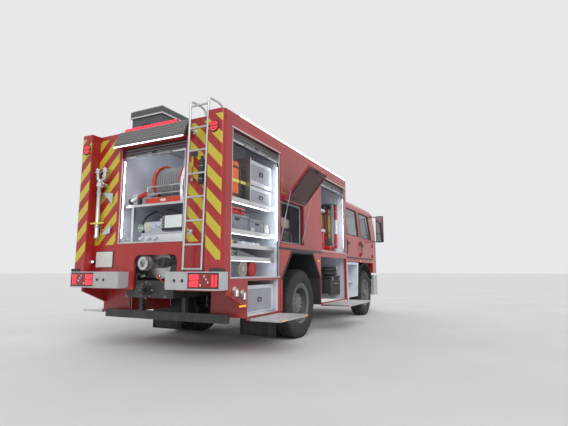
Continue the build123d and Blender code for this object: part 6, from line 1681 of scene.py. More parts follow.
def shelf_tools(piece, side):
    """Small kit on the lower trays: driver, foam bottles, coiled hose and couplings."""

    def at(x, y, z):
        return Vector((x, side * y, z))

    z = 1.351
    piece.rod(at(BAY_X + 0.10, 1.02, z + 0.045), at(BAY_X + 0.28, 1.08, z + 0.045), 0.034,
              "yellow_plastic", 20, 0.006)
    piece.rod(at(BAY_X + 0.27, 1.075, z + 0.045), at(BAY_X + 0.34, 1.10, z + 0.045), 0.020,
              BLACK, 16, 0.004)
    piece.rod(at(BAY_X + 0.06, 1.00, z + 0.045), at(BAY_X + 0.11, 1.02, z + 0.045), 0.038, BLACK, 20, 0.006)
    piece.pipe(
        [at(BAY_X + 0.17, 1.045, z + 0.02), at(BAY_X + 0.18, 1.02, z + 0.11),
         at(BAY_X + 0.10, 0.99, z + 0.12)],
        0.013, BLACK, 10, smooth=2)
    for i in range(4):
        x = BAY_X + 0.50 + i * 0.12
        low, high = at(x, 0.99, z), at(x + 0.10, 1.09, z + 0.075)
        piece.box(low, high, ALUMINIUM if i % 2 else "light_grey", 0.008, 2)
        piece.lathe([(0, 0), (0.018, 0), (0.018, 0.018), (0, 0.020)], at(x + 0.05, 1.04, z + 0.074),
                    UP, BLACK, 16)
    for i, key in enumerate(("bottle_white", "bottle_white", "yellow_plastic")):
        bottle = [(0, 0), (0.030, 0), (0.034, 0.008), (0.034, 0.11), (0.016, 0.135), (0.016, 0.15),
                  (0.019, 0.152), (0.019, 0.172), (0, 0.174)]
        piece.lathe(bottle, at(BAY_X + 1.115 + (i % 2) * 0.075, 1.07 - (i // 2) * 0.09, 1.531), UP, key, 24)
    for i in range(3):
        torus(piece, at(BAY_X + 0.22, 0.97, 1.2165 + i * 0.036), UP, 0.155 - 0.012 * (i % 2), 0.018,
              "grey_hose", 40, 10)
    claw_coupling(piece, at(BAY_X + 0.36, 1.08, 1.212 + 0.030), AHEAD, 0.030)
    gusset = [(BAY_X + 0.44, 1.196), (BAY_X + 1.20, 1.196), (BAY_X + 0.44, 1.320)]
    piece.prism(gusset, "y", side * 1.05, side * 1.053, "drawer_grey")
    for i in range(2):
        roll = [(0.010, -0.028), (0.100, -0.028), (0.100, 0.028), (0.010, 0.028)]
        piece.lathe(roll, at(BAY_X + 0.66 + i * 0.26, 0.98, 1.0685), LEFT,
                    "case_red" if i else "hose_canvas", 44)
        torus(piece, at(BAY_X + 0.66 + i * 0.26, 1.0095, 1.0685), LEFT, 0.075, 0.003, BLACK, 40, 6)
        torus(piece, at(BAY_X + 0.66 + i * 0.26, 1.0095, 1.0685), LEFT, 0.050, 0.003, BLACK, 40, 6)


stowed_kit()


# Soft kit

def soft_form(piece, low, high, key, roundness=5.0, cuts=9, dents=0.006, phase=0.0):
    """Stuffed block: rounded box with shallow folds."""
    part = bmesh.new()
    bmesh.ops.create_cube(part, size=2.0)
    bmesh.ops.subdivide_edges(part, edges=part.edges[:], cuts=cuts, use_grid_fill=True)
    low, high = ordered(low, high)
    size = (high - low) / 2
    middle = (high + low) / 2
    for vert in part.verts:
        c = vert.co
        norm = (abs(c.x) ** roundness + abs(c.y) ** roundness + abs(c.z) ** roundness) ** (1 / roundness)
        unit = c / norm
        fold = math.sin(7.0 * unit.x + 5.0 * unit.z + phase) * math.cos(6.0 * unit.y + 4.0 * unit.x)
        shrink = 1.0 - dents * (1.0 + fold) / min(size)
        vert.co = Vector((unit.x * size.x, unit.y * size.y, unit.z * size.z)) * shrink + middle
    piece.take(part, key)


SOFT_TABLE = [
    # name, x start, x end, inner y, outer y, z bottom, z top, look
    ("hanging_gear", BAY_X + 0.232, BAY_X + 0.425, 0.905, 1.100, 1.932, 2.490, "orange_cloth"),
    ("hanging_gear_dark", BAY_X + 0.434, BAY_X + 0.535, 0.905, 1.090, 1.932, 2.440, "black_cloth"),
    ("bay_bag", FRONT_BAY_X[0] + 0.092, FRONT_BAY_X[0] + 0.258, 0.505, 0.755, 1.422, 1.695, "orange_cloth"),
    ("flap_bag_low", -2.150, -1.500, 0.760, 1.130, 1.466, 1.700, "black_cloth"),
    ("flap_bag_high", -2.120, -1.540, 0.780, 1.110, 1.704, 1.900, "hose_canvas"),
]


def soft_kit():
    """Bags and clothing in the bays with their straps."""
    for side, word in SIDES:
        for index, (name, x0, x1, y0, y1, z0, z1, key) in enumerate(SOFT_TABLE):
            piece = Piece(f"{name}_{word}")
            soft_form(piece, (x0, side * y0, z0), (x1, side * y1, z1), key, phase=index)
            obj = piece.done("stowed_cases") if (name == "hanging_gear" and side > 0) else piece.done()
        straps = Piece(f"kit_straps_{word}")
        face = side * 1.100
        for z in (2.02, 2.20, 2.38):
            key = "yellow_band" if z == 2.20 else "black_cloth"
            strap_end = 0.545 if z == 2.20 else 0.420
            half = 0.020 if z == 2.20 else 0.012
            straps.box((BAY_X + 0.235, face - side * 0.010, z - half),
                       (BAY_X + strap_end, face + side * 0.003, z + half), key, 0.002, 1)
        x = BAY_X + 0.405
        ys = sorted((face - side * 0.008, face + side * 0.005))
        straps.box((x - 0.013, ys[0], 1.96), (x + 0.013, ys[1], 2.45), "black_cloth", 0.002, 1)
        straps.box((x - 0.018, ys[0] - 0.001, 2.10), (x + 0.020, ys[1] + 0.002, 2.135), BLACK, 0.003, 1)
        for x in (-2.00, -1.68):
            straps.pipe(
                [(x, side * 0.80, 1.90), (x, side * 1.118, 1.905), (x, side * 1.136, 1.70),
                 (x, side * 1.132, 1.47)],
                0.010, "black_cloth", 8, smooth=1)
        straps.done()


soft_kit()


# Cab

DOOR_SILL = 1.310
DOOR_TOP = 2.540
SCREEN_TOP_BACK = 0.262
WINDOW_BOTTOM = 1.850
DOORS = [
    # name, rear edge, front edge, window's slant
    ("crew_door", 0.990, 2.030, 0.0),
    ("front_door", 2.070, 3.150, 0.090),
]


def screen_x(z):
    """Place of the windscreen's skin at a height."""
    return CAB_FACE - 0.060 - 0.170 * (z - CAB_BELT) / 0.800


def door_kit(name, x0, x1, slant, side, word):
    """Window gasket, inner trim, recessed handle, lock, grab rail and lower step light of one door."""
    piece = Piece(f"{name}_kit_{word}", f"{name}_{word}")
    corners = [(x0 + 0.080, WINDOW_BOTTOM), (x1 - 0.085, WINDOW_BOTTOM),
               (x1 - 0.085 - slant, DOOR_TOP - 0.080), (x0 + 0.080, DOOR_TOP - 0.080)]
    loop = []
    for i, (x, z) in enumerate(corners):
        ahead = corners[(i + 1) % 4]
        loop.append((x, z))
        loop.append(((x + ahead[0]) / 2, (z + ahead[1]) / 2))
    loop.append(loop[0])
    piece.pipe([(x, side * (cab_y(z) - 0.002), z) for x, z in loop], 0.010, BLACK, 10)
    piece.pipe([(x, side * (cab_y(z) - 0.048), z) for x, z in loop], 0.010, "cabin_trim", 8)
    piece.box((x0 + 0.05, side * (CAB_HALF - 0.062), DOOR_SILL + 0.06),
              (x1 - 0.06, side * (CAB_HALF - 0.050), WINDOW_BOTTOM - 0.10), "cabin_trim", 0.006, 2)
    piece.box((x0 + 0.20, side * (CAB_HALF - 0.120), CAB_BELT - 0.16),
              (x1 - 0.25, side * (CAB_HALF - 0.055), CAB_BELT - 0.11), "cabin_trim", 0.012, 3)
    plate(piece, rounded(x0 + 0.045, CAB_BELT - 0.165, x0 + 0.205, CAB_BELT - 0.085, 0.016), [], "y",
          side * (CAB_HALF + 0.0002), side * (CAB_HALF + 0.0035), BLACK)
    piece.box((x0 + 0.058, side * (CAB_HALF + 0.012), CAB_BELT - 0.142),
              (x0 + 0.192, side * (CAB_HALF + 0.0215), CAB_BELT - 0.108), BLACK, 0.004, 3)
    piece.lathe([(0, 0), (0.011, 0), (0.011, 0.003), (0, 0.004)],
                (x0 + 0.068, side * (CAB_HALF + 0.0035), CAB_BELT - 0.178), (0, side, 0), "chrome", 18)
    y = side * (CAB_HALF - 0.075)
    rail = [(y, DOOR_SILL + 0.12), (y - side * 0.03, DOOR_SILL + 0.16), (y - side * 0.03, CAB_BELT - 0.24),
            (y, CAB_BELT - 0.20)]
    piece.pipe([(x0 + 0.10, a, b) for a, b in rail], 0.011, "yellow_plastic", 10, smooth=2)
    piece.box((x0 + 0.01, side * (CAB_HALF - 0.0005), DOOR_SILL + 0.018),
              (x1 - 0.01, side * (CAB_HALF + 0.0045), DOOR_SILL + 0.050), BLACK, 0.002, 1)
    piece.done()


def cab_skin():
    """Windscreen gasket, wipers, grille meshes, sill trims, side markers and grab rails."""
    piece = Piece("cab_kit", "cab")
    half, low, high = 0.955, CAB_BELT + 0.032, 2.518
    loop = [(half, low), (half, high), (-half, high), (-half, low), (half, low)]
    piece.pipe([(screen_x(z) + 0.001, y, z) for y, z in loop], 0.011, BLACK, 10)
    rear = [(0.700, 1.910), (0.700, 2.420), (-0.700, 2.420), (-0.700, 1.910), (0.700, 1.910)]
    piece.pipe([(CAB_REAR + 0.002, y, z) for y, z in rear], 0.009, BLACK, 10)
    for root_y, tip_y in ((0.62, 0.10), (-0.02, -0.58)):
        base = Vector((screen_x(1.80) + 0.012, root_y, 1.796))
        tip = Vector((screen_x(2.02) + 0.022, tip_y, 2.020))
        piece.lathe([(0, 0), (0.020, 0), (0.018, 0.012), (0, 0.014)], base - Vector((0.004, 0, 0)),
                    (1, 0, 0.2), BLACK, 18)
        piece.pipe([base, base.lerp(tip, 0.5) + Vector((0.010, 0, 0)), tip], 0.0055, BLACK, 8, smooth=1)
        for k in (-0.26, 0.26):
            end = Vector((screen_x(2.02 + k * 0.35) + 0.014, tip_y - k * 1.0, 2.02 + k * 0.35))
            piece.pipe([tip, end], 0.0050, BLACK, 8)
    rows = 6
    pitch = 0.200 / rows
    for i in range(rows):
        z = 1.040 + i * pitch
        for way in (-1, 1):
            piece.box((CAB_FACE - 0.0275, way * 0.019, z + 0.001),
                      (CAB_FACE - 0.022, way * 0.759, z + pitch - 0.010), BLACK)
            for k in range(24):
                y = way * (0.035 + k * 0.030)
                piece.box((CAB_FACE - 0.022, y - 0.002, z + 0.001),
                          (CAB_FACE - 0.016, y + 0.002, z + pitch - 0.010), BLACK)
    front_panel(piece)
    for side in (-1, 1):
        piece.box((CAB_REAR + 0.01, side * (CAB_HALF - 0.001), 1.254),
                  (3.150, side * (CAB_HALF + 0.004), 1.258), BLACK, 0.001, 1)
        for x in (1.990, 3.060):
            marker_lamp(piece, x, side * CAB_HALF, 1.282, side)
        y = side * CAB_HALF
        for x in (0.945, 2.050):
            rail = [(-0.004, 1.40), (0.042, 1.42), (0.042, 1.72), (-0.004, 1.74)]
            piece.pipe([(x, y + side * a, z) for a, z in rail], 0.010, BLACK, 12, smooth=2)
    for k in range(5):
        y = -0.60 + k * 0.30
        piece.box((CAB_FACE - SCREEN_TOP_BACK, y - 0.030, 2.585),
                  (CAB_FACE - SCREEN_TOP_BACK + 0.030, y + 0.030, 2.602), "amber_lens", 0.004, 2)
    piece.done()


def marker_lamp(piece, x, y, z, side):
    """Amber side marker in a black base."""
    piece.box((x - 0.045, y - side * 0.0005, z - 0.019), (x + 0.045, y + side * 0.006, z + 0.019),
              BLACK, 0.003, 2)
    piece.box((x - 0.036, y + side * 0.004, z - 0.013), (x + 0.036, y + side * 0.012, z + 0.013),
              "amber_lens", 0.004, 3)


def front_panel(piece):
    """Seam of the service flap under the windscreen, its catches, the cowl grille and a trim bar."""

    def skin(z):
        """Place of the cab's face at a height."""
        if z <= 1.500:
            return CAB_FACE
        return CAB_FACE - 0.060 * (z - 1.500) / (CAB_BELT - 1.500)

    piece.box((CAB_FACE - 0.004, -0.800, 1.250), (CAB_FACE - 0.0002, 0.800, 1.262), "steel", 0.001, 1)
    seam = [(-0.84, 1.272), (-0.84, 1.735), (0.84, 1.735), (0.84, 1.272), (-0.84, 1.272)]
    loop = []
    for (y0, z0), (y1, z1) in zip(seam, seam[1:]):
        for k in range(6):
            y, z = y0 + (y1 - y0) * k / 6, z0 + (z1 - z0) * k / 6
            loop.append((skin(z) - 0.0010, y, z))
    loop.append(loop[0])
    piece.pipe(loop, 0.0022, BLACK, 6)
    for y in (-0.62, 0.62):
        x = skin(1.690)
        piece.box((x - 0.006, y - 0.055, 1.672), (x - 0.0005, y + 0.055, 1.708), BLACK, 0.003, 2)
        piece.rod((x + 0.001, y - 0.045, 1.690), (x + 0.001, y + 0.045, 1.690), 0.006, BLACK, 10)
    for i in range(3):
        z = 1.748 + i * 0.012
        piece.box((skin(z) - 0.003, -0.900, z), (skin(z) + 0.001, 0.900, z + 0.006), BLACK, 0.001, 1)


def bumper_kit():
    """Blank plate, tow pins, step tread and lower lamps of the front bumper."""
    piece = Piece("front_bumper_kit", "chassis")
    x = 3.750
    plate(piece, rounded(-0.270, 0.690, 0.270, 0.812, 0.010), [], "x", x - 0.006, x - 0.001, "plate_white")
    plate(piece, rounded(-0.280, 0.680, 0.280, 0.822, 0.014), [rounded(-0.264, 0.696, 0.264, 0.806, 0.008)],
          "x", x - 0.005, x, BLACK)
    for y in (-0.52, 0.52):
        piece.lathe([(0, 0), (0.045, 0), (0.045, 0.0035), (0.020, 0.004), (0, 0.004)],
                    (x - 0.004, y, 0.700), AHEAD, BLACK, 28)
        torus(piece, (x - 0.006, y, 0.560), AHEAD, 0.050, 0.006, BLACK, 28, 8)
        piece.lathe([(0, 0), (0.046, 0), (0.040, 0.004), (0, 0.005)], (x - 0.0055, y, 0.560), AHEAD,
                    "clear_lens", 28)
    for i in range(9):
        y = -0.72 + i * 0.18
        piece.box((3.600, y - 0.070, 0.9395), (3.715, y + 0.070, 0.9425), BLACK, 0.001, 1)
    piece.done()


def beacons():
    """Two blue domes with rotating-lamp ribs on a dark bar."""
    piece = Piece("beacon_forms", "cab")
    x0, x1 = 3.080, 3.300
    piece.box((x0 + 0.01, -0.690, 2.6395), (x1 - 0.01, 0.690, 2.668), BLACK, 0.006, 2)
    piece.box((x0 + 0.012, -0.250, 2.664), (x1 - 0.012, 0.250, 2.722), BLACK, 0.014, 3)
    for side in (-1, 1):
        piece.box((x0, side * 0.255, 2.668), (x1, side * 0.700, 2.735), "blue_lens", 0.022, 4)
        for k in range(7):
            y = side * (0.290 + k * 0.062)
            piece.box((x0 - 0.0005, y - 0.003, 2.690), (x1 + 0.0005, y + 0.003, 2.7355),
                      "blue_lens", 0.001, 1)
    piece.done("beacons")


def mirrors():
    """Housings with rounded backs on bent arms, two glasses facing back."""
    piece = Piece("mirror_forms", "cab")
    for side in (-1, 1):
        ys = span(side, 1.270, 1.470)
        piece.box((3.300, ys[0], 1.800), (3.360, ys[1], 2.500), BLACK, 0.020, 4)
        for z0, z1 in ((1.825, 2.020), (2.035, 2.475)):
            spans = (ys[0] + 0.018, ys[1] - 0.018)
            plate(piece, rounded(spans[0], z0, spans[1], z1, 0.014), [], "x", 3.2975,
                  3.3005, "mirror_glass")
        for z in (1.820, 2.480):
            inner = cab_y(z) - 0.004
            arm = [(3.240, inner), (3.285, inner + 0.06), (3.330, 1.30), (3.330, 1.35)]
            piece.pipe([(x, side * y, z) for x, y in arm], 0.0125, BLACK, 12, smooth=2)
            piece.lathe([(0, 0), (0.030, 0), (0.026, 0.010), (0, 0.012)],
                        (3.240, side * (cab_y(z) - 0.001), z), (0, side, 0), BLACK, 18)
    piece.done("cab_mirrors")


def headlamps():
    """Clear cover over two chrome bowls and a turn lamp in a dark housing."""
    piece = Piece("headlamp_forms", "chassis")
    for side in (-1, 1):
        cover = [(3.742, 0.702), (3.742, 0.882), (3.676, 1.058), (3.670, 1.055),
                 (3.736, 0.880), (3.736, 0.702)]
        piece.prism([(a, side * b) for a, b in cover], "z", 0.622, 0.798, "lamp_glass")
        shell = [(3.690, 0.704), (3.690, 0.875), (3.640, 1.054), (3.625, 1.054),
                 (3.672, 0.875), (3.672, 0.704)]
        piece.prism([(a, side * b) for a, b in shell], "z", 0.626, 0.794, BLACK)
        for x, y, radius in ((3.690, 0.790, 0.066), (3.664, 0.962, 0.058)):
            bowl = [(0.012, 0.000), (radius * 0.6, 0.012), (radius, 0.034), (radius + 0.004, 0.034),
                    (radius + 0.004, 0.0), (0.012, -0.002)]
            piece.lathe(bowl, (x, side * y, 0.708), AHEAD, "chrome", 30)
            piece.lathe([(0, 0), (0.012, 0.002), (0.012, 0.022), (0, 0.028)], (x, side * y, 0.708), AHEAD,
                        "clear_lens", 16)
        piece.box((3.700, side * 0.706, 0.778), (3.728, side * 0.870, 0.792), "amber_lens", 0.003, 2)
    piece.done("headlamps")


for row in DOORS:
    for side, word in SIDES:
        door_kit(*row, side, word)
cab_skin()
bumper_kit()
beacons()
mirrors()
headlamps()


# Cab inside

SEAT_TABLE = [
    # name, rear x, centre y, width
    ("driver", 2.290, 0.600, 0.500),
    ("front_mate", 2.290, -0.600, 0.500),
    ("crew_left", 1.040, 0.640, 0.560),
    ("crew_middle", 1.040, 0.000, 0.560),
    ("crew_right", 1.040, -0.640, 0.560),
]


def seats():
    """Seats with cushion, back, head rest, frame and belt."""
    for name, x, y, width in SEAT_TABLE:
        half = width / 2 - 0.015
        cushion = Piece(f"seat_cushion_{name}", "cab")
        soft_form(cushion, (x + 0.05, y - half, CAB_ROOM + 0.265), (x + 0.515, y + half, CAB_ROOM + 0.420),
                  "seat_cloth", 4.5, 9, 0.003)
        cushion.done()
        back = Piece(f"seat_back_{name}", "cab")
        soft_form(back, (x - 0.050, y - half, CAB_ROOM + 0.400), (x + 0.085, y + half, CAB_ROOM + 0.860),
                  "seat_cloth", 4.5, 9, 0.003, 1.0)
        back.done()
        rest = Piece(f"seat_head_rest_{name}", "cab")
        soft_form(rest, (x - 0.060, y - 0.130, CAB_ROOM + 0.885), (x + 0.035, y + 0.130, CAB_ROOM + 1.065),
                  "seat_cloth", 4.0, 7, 0.002, 2.0)
        rest.done()
        frame_piece = Piece(f"seat_frame_{name}", "cab")
        frame_piece.box((x + 0.06, y - half + 0.03, CAB_ROOM),
                        (x + 0.46, y + half - 0.03, CAB_ROOM + 0.270), BLACK, 0.012, 2)
        frame_piece.box((x - 0.075, y - half + 0.04, CAB_ROOM + 0.25),
                        (x - 0.045, y + half - 0.04, CAB_ROOM + 0.87), BLACK, 0.010, 2)
        for dy in (-0.06, 0.06):
            frame_piece.rod((x - 0.02, y + dy, CAB_ROOM + 0.84), (x - 0.02, y + dy, CAB_ROOM + 0.92),
                            0.006, "steel", 10)
        belt = [(x - 0.04, y + half - 0.05, CAB_ROOM + 0.86), (x + 0.06, y + half - 0.08, CAB_ROOM + 0.80),
                (x + 0.10, y - half + 0.06, CAB_ROOM + 0.44)]
        frame_piece.pipe(belt, 0.010, "black_cloth", 8, smooth=1)
        frame_piece.done()


def dashboard():
    """Dash with hood, dials, screen, vents and shelf, steering wheel on its column, pedals and lever."""
    piece = Piece("dashboard_forms", "cab")
    back, floor_z = CAB_FACE - 0.080, CAB_ROOM
    face = CAB_FACE - 0.470
    outline = [
        (face + 0.10, floor_z), (back, floor_z), (CAB_FACE - 0.110, CAB_BELT - 0.060),
        (CAB_FACE - 0.330, CAB_BELT - 0.030), (CAB_FACE - 0.400, CAB_BELT - 0.080),
        (face + 0.02, CAB_BELT - 0.300)]
    piece.prism(outline, "y", -0.965, 0.965, "cabin_trim", 0.012, 2)
    for y in (-0.80, -0.25, 0.25, 0.95):
        piece.box((face + 0.035, y - 0.075, CAB_BELT - 0.180), (face + 0.060, y + 0.015, CAB_BELT - 0.130),
                  BLACK, 0.006, 2)
    piece.box((face + 0.020, -0.150, CAB_BELT - 0.260), (face + 0.055, 0.150, CAB_BELT - 0.110),
              BLACK, 0.008, 2)
    piece.box((face + 0.018, -0.130, CAB_BELT - 0.245), (face + 0.022, 0.130, CAB_BELT - 0.125),
              "screen_dark", 0.001, 1)
    piece.box((face - 0.02, 0.400, CAB_BELT - 0.060), (CAB_FACE - 0.300, 0.800, CAB_BELT - 0.010),
              BLACK, 0.020, 3)
    for y in (0.52, 0.68):
        piece.lathe([(0, 0), (0.055, 0), (0.055, 0.006), (0.050, 0.008), (0.048, 0.003), (0, 0.003)],
                    (face - 0.002, y, CAB_BELT - 0.090), (-1, 0, 0.2), BLACK, 28)
    hub = Vector((CAB_FACE - 0.620, 0.600, CAB_BELT + 0.040))
    tilt = Vector((-0.6, 0, 0.8))
    torus(piece, hub + tilt * 0.013, tilt, 0.210, 0.015, BLACK, 56, 12)
    piece.lathe([(0, 0), (0.070, 0), (0.075, 0.012), (0.060, 0.030), (0, 0.034)], hub - tilt * 0.004,
                tilt, BLACK, 32)
    for point in ring_of(hub + tilt * 0.010, tilt, 0.205, 4, 0.6):
        piece.pipe([hub + tilt * 0.008, point], 0.012, BLACK, 8)
    piece.rod(Vector((CAB_FACE - 0.380, 0.600, CAB_BELT - 0.180)), hub, 0.030, BLACK, 18)
    for y in (0.46, 0.56, 0.70):
        piece.pipe([(3.30, y, CAB_ROOM + 0.20), (3.22, y, CAB_ROOM + 0.09)], 0.008, BLACK, 8)
        piece.box((3.18, y - 0.030, CAB_ROOM + 0.060), (3.225, y + 0.030, CAB_ROOM + 0.110),
                  BLACK, 0.006, 2)
    piece.pipe([(2.78, 0.250, CAB_ROOM), (2.80, 0.250, CAB_ROOM + 0.28), (2.84, 0.250, CAB_ROOM + 0.36)],
               0.010, BLACK, 10, smooth=1)
    piece.lathe([(0, -0.02), (0.022, -0.012), (0.024, 0.012), (0, 0.024)], (2.845, 0.250, CAB_ROOM + 0.375),
                UP, BLACK, 18)
    piece.done("cab_interior")


seats()
dashboard()


# Body sides: moulding, arch edges, flap linings, markers, roof chest fittings, corner couplings

ARCH_EDGE = [
    # distance from the axle, height, for the inner and outer edge of the lip
    ((0.7400, SKIRT_Z), (0.7626, SKIRT_Z)),
    ((0.7400, 0.9300), (0.7626, 0.9384)),
    ((0.4000, 1.3300), (0.4105, 1.3524)),
]


def arch_edges(piece, side):
    """Black lip round the rear wheel arch."""
    for way in (-1, 1):
        for (a_in, a_out), (b_in, b_out) in zip(ARCH_EDGE, ARCH_EDGE[1:]):
            outline = [(REAR_AXLE_X + way * p[0], p[1]) for p in (a_in, a_out, b_out, b_in)]
            piece.prism(outline, "y", side * 1.2495, side * 1.2598, BLACK)
    inner, outer = ARCH_EDGE[-1]
    outline = [(REAR_AXLE_X - inner[0], inner[1]), (REAR_AXLE_X + inner[0], inner[1]),
               (REAR_AXLE_X + outer[0], outer[1]), (REAR_AXLE_X - outer[0], outer[1])]
    piece.prism(outline, "y", side * 1.2495, side * 1.2598, BLACK)


def side_trims():
    """Arch lips, moulding, marker, outline, couplings, rail, screws and drip edge of each side."""
    for side, word in SIDES:
        piece = Piece(f"side_trims_{word}")
        arch_edges(piece, side)
        piece.box((-2.2905, side * 1.2495, 1.3594), (-0.6095, side * 1.2604, 1.3906),
                  "frame_grey", 0.003, 2)
        marker_lamp(piece, -0.790, side * BODY_HALF, 1.220, side)
        frame_line(piece, side)
        if side < 0:
            corner_couplings(piece, side)
        piece.box((-2.246, side * (BODY_HALF - 0.0005), 0.478), (-2.206, side * (BODY_HALF + 0.012), 0.925),
                  "reel_red", 0.004, 3)
        for z in (DECK_Z + 0.02, 2.15):
            screw_row(piece, [(x, side * BODY_HALF, z) for x in (-2.238, -1.392, -0.640, 0.812)],
                      (0, side, 0), 0.012, "red_paint")
        piece.box((-2.245, side * (BODY_HALF - 0.0005), 2.136), (-1.385, side * (BODY_HALF + 0.010), 2.150),
                  "red_paint", 0.003, 2)
        piece.done()


def corner_couplings(piece, side):
    """Two bent outlets with capped couplings on the red corner behind the locker, and a reflector below."""
    # The reflector takes the lit amber lens and glows: painted light on a part that is no lamp.
    piece.box((-3.330, side * (BODY_HALF - 0.0005), 0.610), (-3.175, side * (BODY_HALF + 0.0012), 0.632),
              "amber_lens")
    for x, z in ((-3.440, 0.790), (-3.270, 0.745)):
        skin = side * BODY_HALF
        piece.lathe([(0, 0), (0.042, 0), (0.042, 0.006), (0.030, 0.010), (0, 0.010)], (x, skin, z + 0.03),
                    (0, side, 0), ALUMINIUM, 28)
        outlet = [(0.0, 0.0, 0.030), (0.0, 0.035, 0.030), (-0.012, 0.045, 0.005), (-0.020, 0.045, -0.030)]
        piece.pipe([(x + a, skin + side * b, z + c) for a, b, c in outlet], 0.022, ALUMINIUM, 16, smooth=2)
        torus(piece, (x - 0.020, skin + side * 0.045, z - 0.034), UP, 0.024, 0.009, ALUMINIUM, 24, 8)
        piece.lathe([(0, 0), (0.024, 0), (0.024, -0.016), (0, -0.018)],
                    (x - 0.020, skin + side * 0.045, z - 0.036), UP, "frame_grey", 20)


def frame_line(piece, side):
    """Thin yellow outline of a triangle on the upper panel."""
    corners = [(-2.205, 2.200), (-2.205, 2.460), (-2.035, 2.200)]
    inner = [(-2.193, 2.212), (-2.193, 2.426), (-2.053, 2.212)]
    plate(piece, corners, [inner], "y", side * (BODY_HALF + 0.0002),
          side * (BODY_HALF + 0.0010), "yellow_film")


FLAP_HINGE = (1.262, 2.106)
FLAP_OPEN = 140.0
FLAP_MIDDLE = -1.815


def flap_linings():
    """Dark red lining inside each lifting flap, darkened as painted shade of the flap's underside, with a
    pressed frame, latch and pull strap.
    """
    for side, word in SIDES:
        piece = Piece(f"flap_lining_{word}", f"flap_{word}")
        hinge = Matrix.Translation((0, side * FLAP_HINGE[0], FLAP_HINGE[1]))
        place = hinge @ Matrix.Rotation(side * math.radians(FLAP_OPEN), 4, "X") @ hinge.inverted()
        x0, x1 = FLAP_MIDDLE - 0.352, FLAP_MIDDLE + 0.352
        z0, z1 = 1.482, 2.080
        inner = 1.225
        # The lining and its pressed frame are near black: painted shade under the open flap.
        plate(piece, rounded(x0, z0, x1, z1, 0.02), [], "y", side * (inner - 0.003), side * (inner + 0.001),
              "painted_shade_lining", place)
        for a0, a1, c0, c1 in (
            (x0 + 0.03, x1 - 0.03, z0 + 0.03, z0 + 0.06), (x0 + 0.03, x1 - 0.03, z1 - 0.06, z1 - 0.03),
            (x0 + 0.03, x0 + 0.06, z0 + 0.06, z1 - 0.06), (x1 - 0.06, x1 - 0.03, z0 + 0.06, z1 - 0.06)):
            piece.box((a0, side * (inner - 0.010), c0), (a1, side * (inner - 0.002), c1),
                      "painted_shade_lining", 0.003, 2, place)
        box = span(side, inner - 0.022, inner - 0.002)
        piece.box((-1.875, box[0], z0 + 0.004), (-1.755, box[1], z0 + 0.045), BLACK, 0.006, 2, place)
        screws = [(x, side * (inner - 0.003), z) for x in (x0 + 0.015, x1 - 0.015)
                  for z in (z0 + 0.015, (z0 + z1) / 2, z1 - 0.015)]
        for point in screws:
            piece.lathe([(0, 0), (0.006, 0), (0.004, 0.003), (0, 0.003)], point, (0, -side, 0),
                        "steel", 10, place)
        piece.done()


def flap_frames():
    """Pale inner frame and drip gutter of the flap openings with a rubber seal."""
    piece = Piece("flap_frames")
    for side in (-1, 1):
        x0, x1, z0, z1 = -2.220, -1.410, 1.452, 2.096
        outline = rounded(x0, z0, x1, z1, 0.03)
        hole = rounded(x0 + 0.028, z0 + 0.028, x1 - 0.028, z1 - 0.028, 0.02)
        plate(piece, outline, [hole], "y", side * 1.188, side * 1.196, "light_grey")
        seal = [(x, side * 1.198, z)
                for x, z in rounded(x0 + 0.014, z0 + 0.014, x1 - 0.014, z1 - 0.014, 0.025, 3)]
        piece.pipe([*seal, seal[0]], 0.006, BLACK, 8)
    piece.done()


def chest_fittings():
    """Pale edging round the lid, its hinges, catches and lifting handles, stays along the roof rails."""
    piece = Piece("chest_fittings")
    x0, x1 = CHEST_SPAN
    y0, y1 = 0.180, 0.810
    lid = 3.330
    for ys in ((y0 - 0.003, y0 + 0.001), (y1 - 0.001, y1 + 0.003)):
        piece.box((x0 - 0.003, ys[0], lid), (x1 + 0.003, ys[1], lid + 0.022), ALUMINIUM, 0.001, 1)
    for xs in ((x0 - 0.003, x0 + 0.001), (x1 - 0.001, x1 + 0.003)):
        piece.box((xs[0], y0 - 0.003, lid), (xs[1], y1 + 0.003, lid + 0.022), ALUMINIUM, 0.001, 1)
    for x in (x0 + 0.35, (x0 + x1) / 2, x1 - 0.35):
        piece.box((x - 0.045, y0 + 0.004, lid - 0.055), (x + 0.045, y0 + 0.021, lid), BLACK, 0.005, 2)
        piece.rod((x - 0.05, y1 - 0.012, lid - 0.004), (x + 0.05, y1 - 0.012, lid - 0.004),
                  0.009, "steel", 12)
    for x in (x0 + 0.020, x1 - 0.020):
        way = -1 if x < -2 else 1
        handle = [(x, 0.420, 3.20), (x + way * 0.035, 0.430, 3.20), (x + way * 0.035, 0.560, 3.20),
                  (x, 0.570, 3.20)]
        piece.pipe(handle, 0.008, BLACK, 10, smooth=2)
    for i in range(8):
        x = -3.00 + i * 0.50
        for side in (-1, 1):
            low, high = (x - 0.02, side * 1.145, ROOF_Z + 0.044), (x + 0.02, side * 1.195, ROOF_Z + 0.050)
            piece.box(low, high, ALUMINIUM, 0.002, 1)
    piece.pipe(
        [(-2.9, -0.60, ROOF_Z + 0.09), (-2.9, -0.60, ROOF_Z + 0.10), (-0.4, -0.60, ROOF_Z + 0.10),
         (-0.4, -0.60, ROOF_Z + 0.09)],
        0.035, "hose_canvas", 14)
    for x in (-2.6, -1.65, -0.7):
        piece.box((x - 0.02, -0.66, ROOF_Z - 0.001), (x + 0.02, -0.54, ROOF_Z + 0.066), "steel", 0.004, 2)
    piece.done()


side_trims()
flap_linings()
flap_frames()
chest_fittings()


# Chassis fittings

TANK_STRAP = [
    # round the fuel tank: outer face upwards, inner face back down
    (-0.985, 0.606), (-0.985, 0.996), (-0.940, 1.044), (-0.520, 1.044), (-0.520, 1.041), (-0.938, 1.041),
    (-0.981, 0.994), (-0.981, 0.608), (-0.938, 0.559), (-0.520, 0.559), (-0.520, 0.556), (-0.940, 0.556),
]


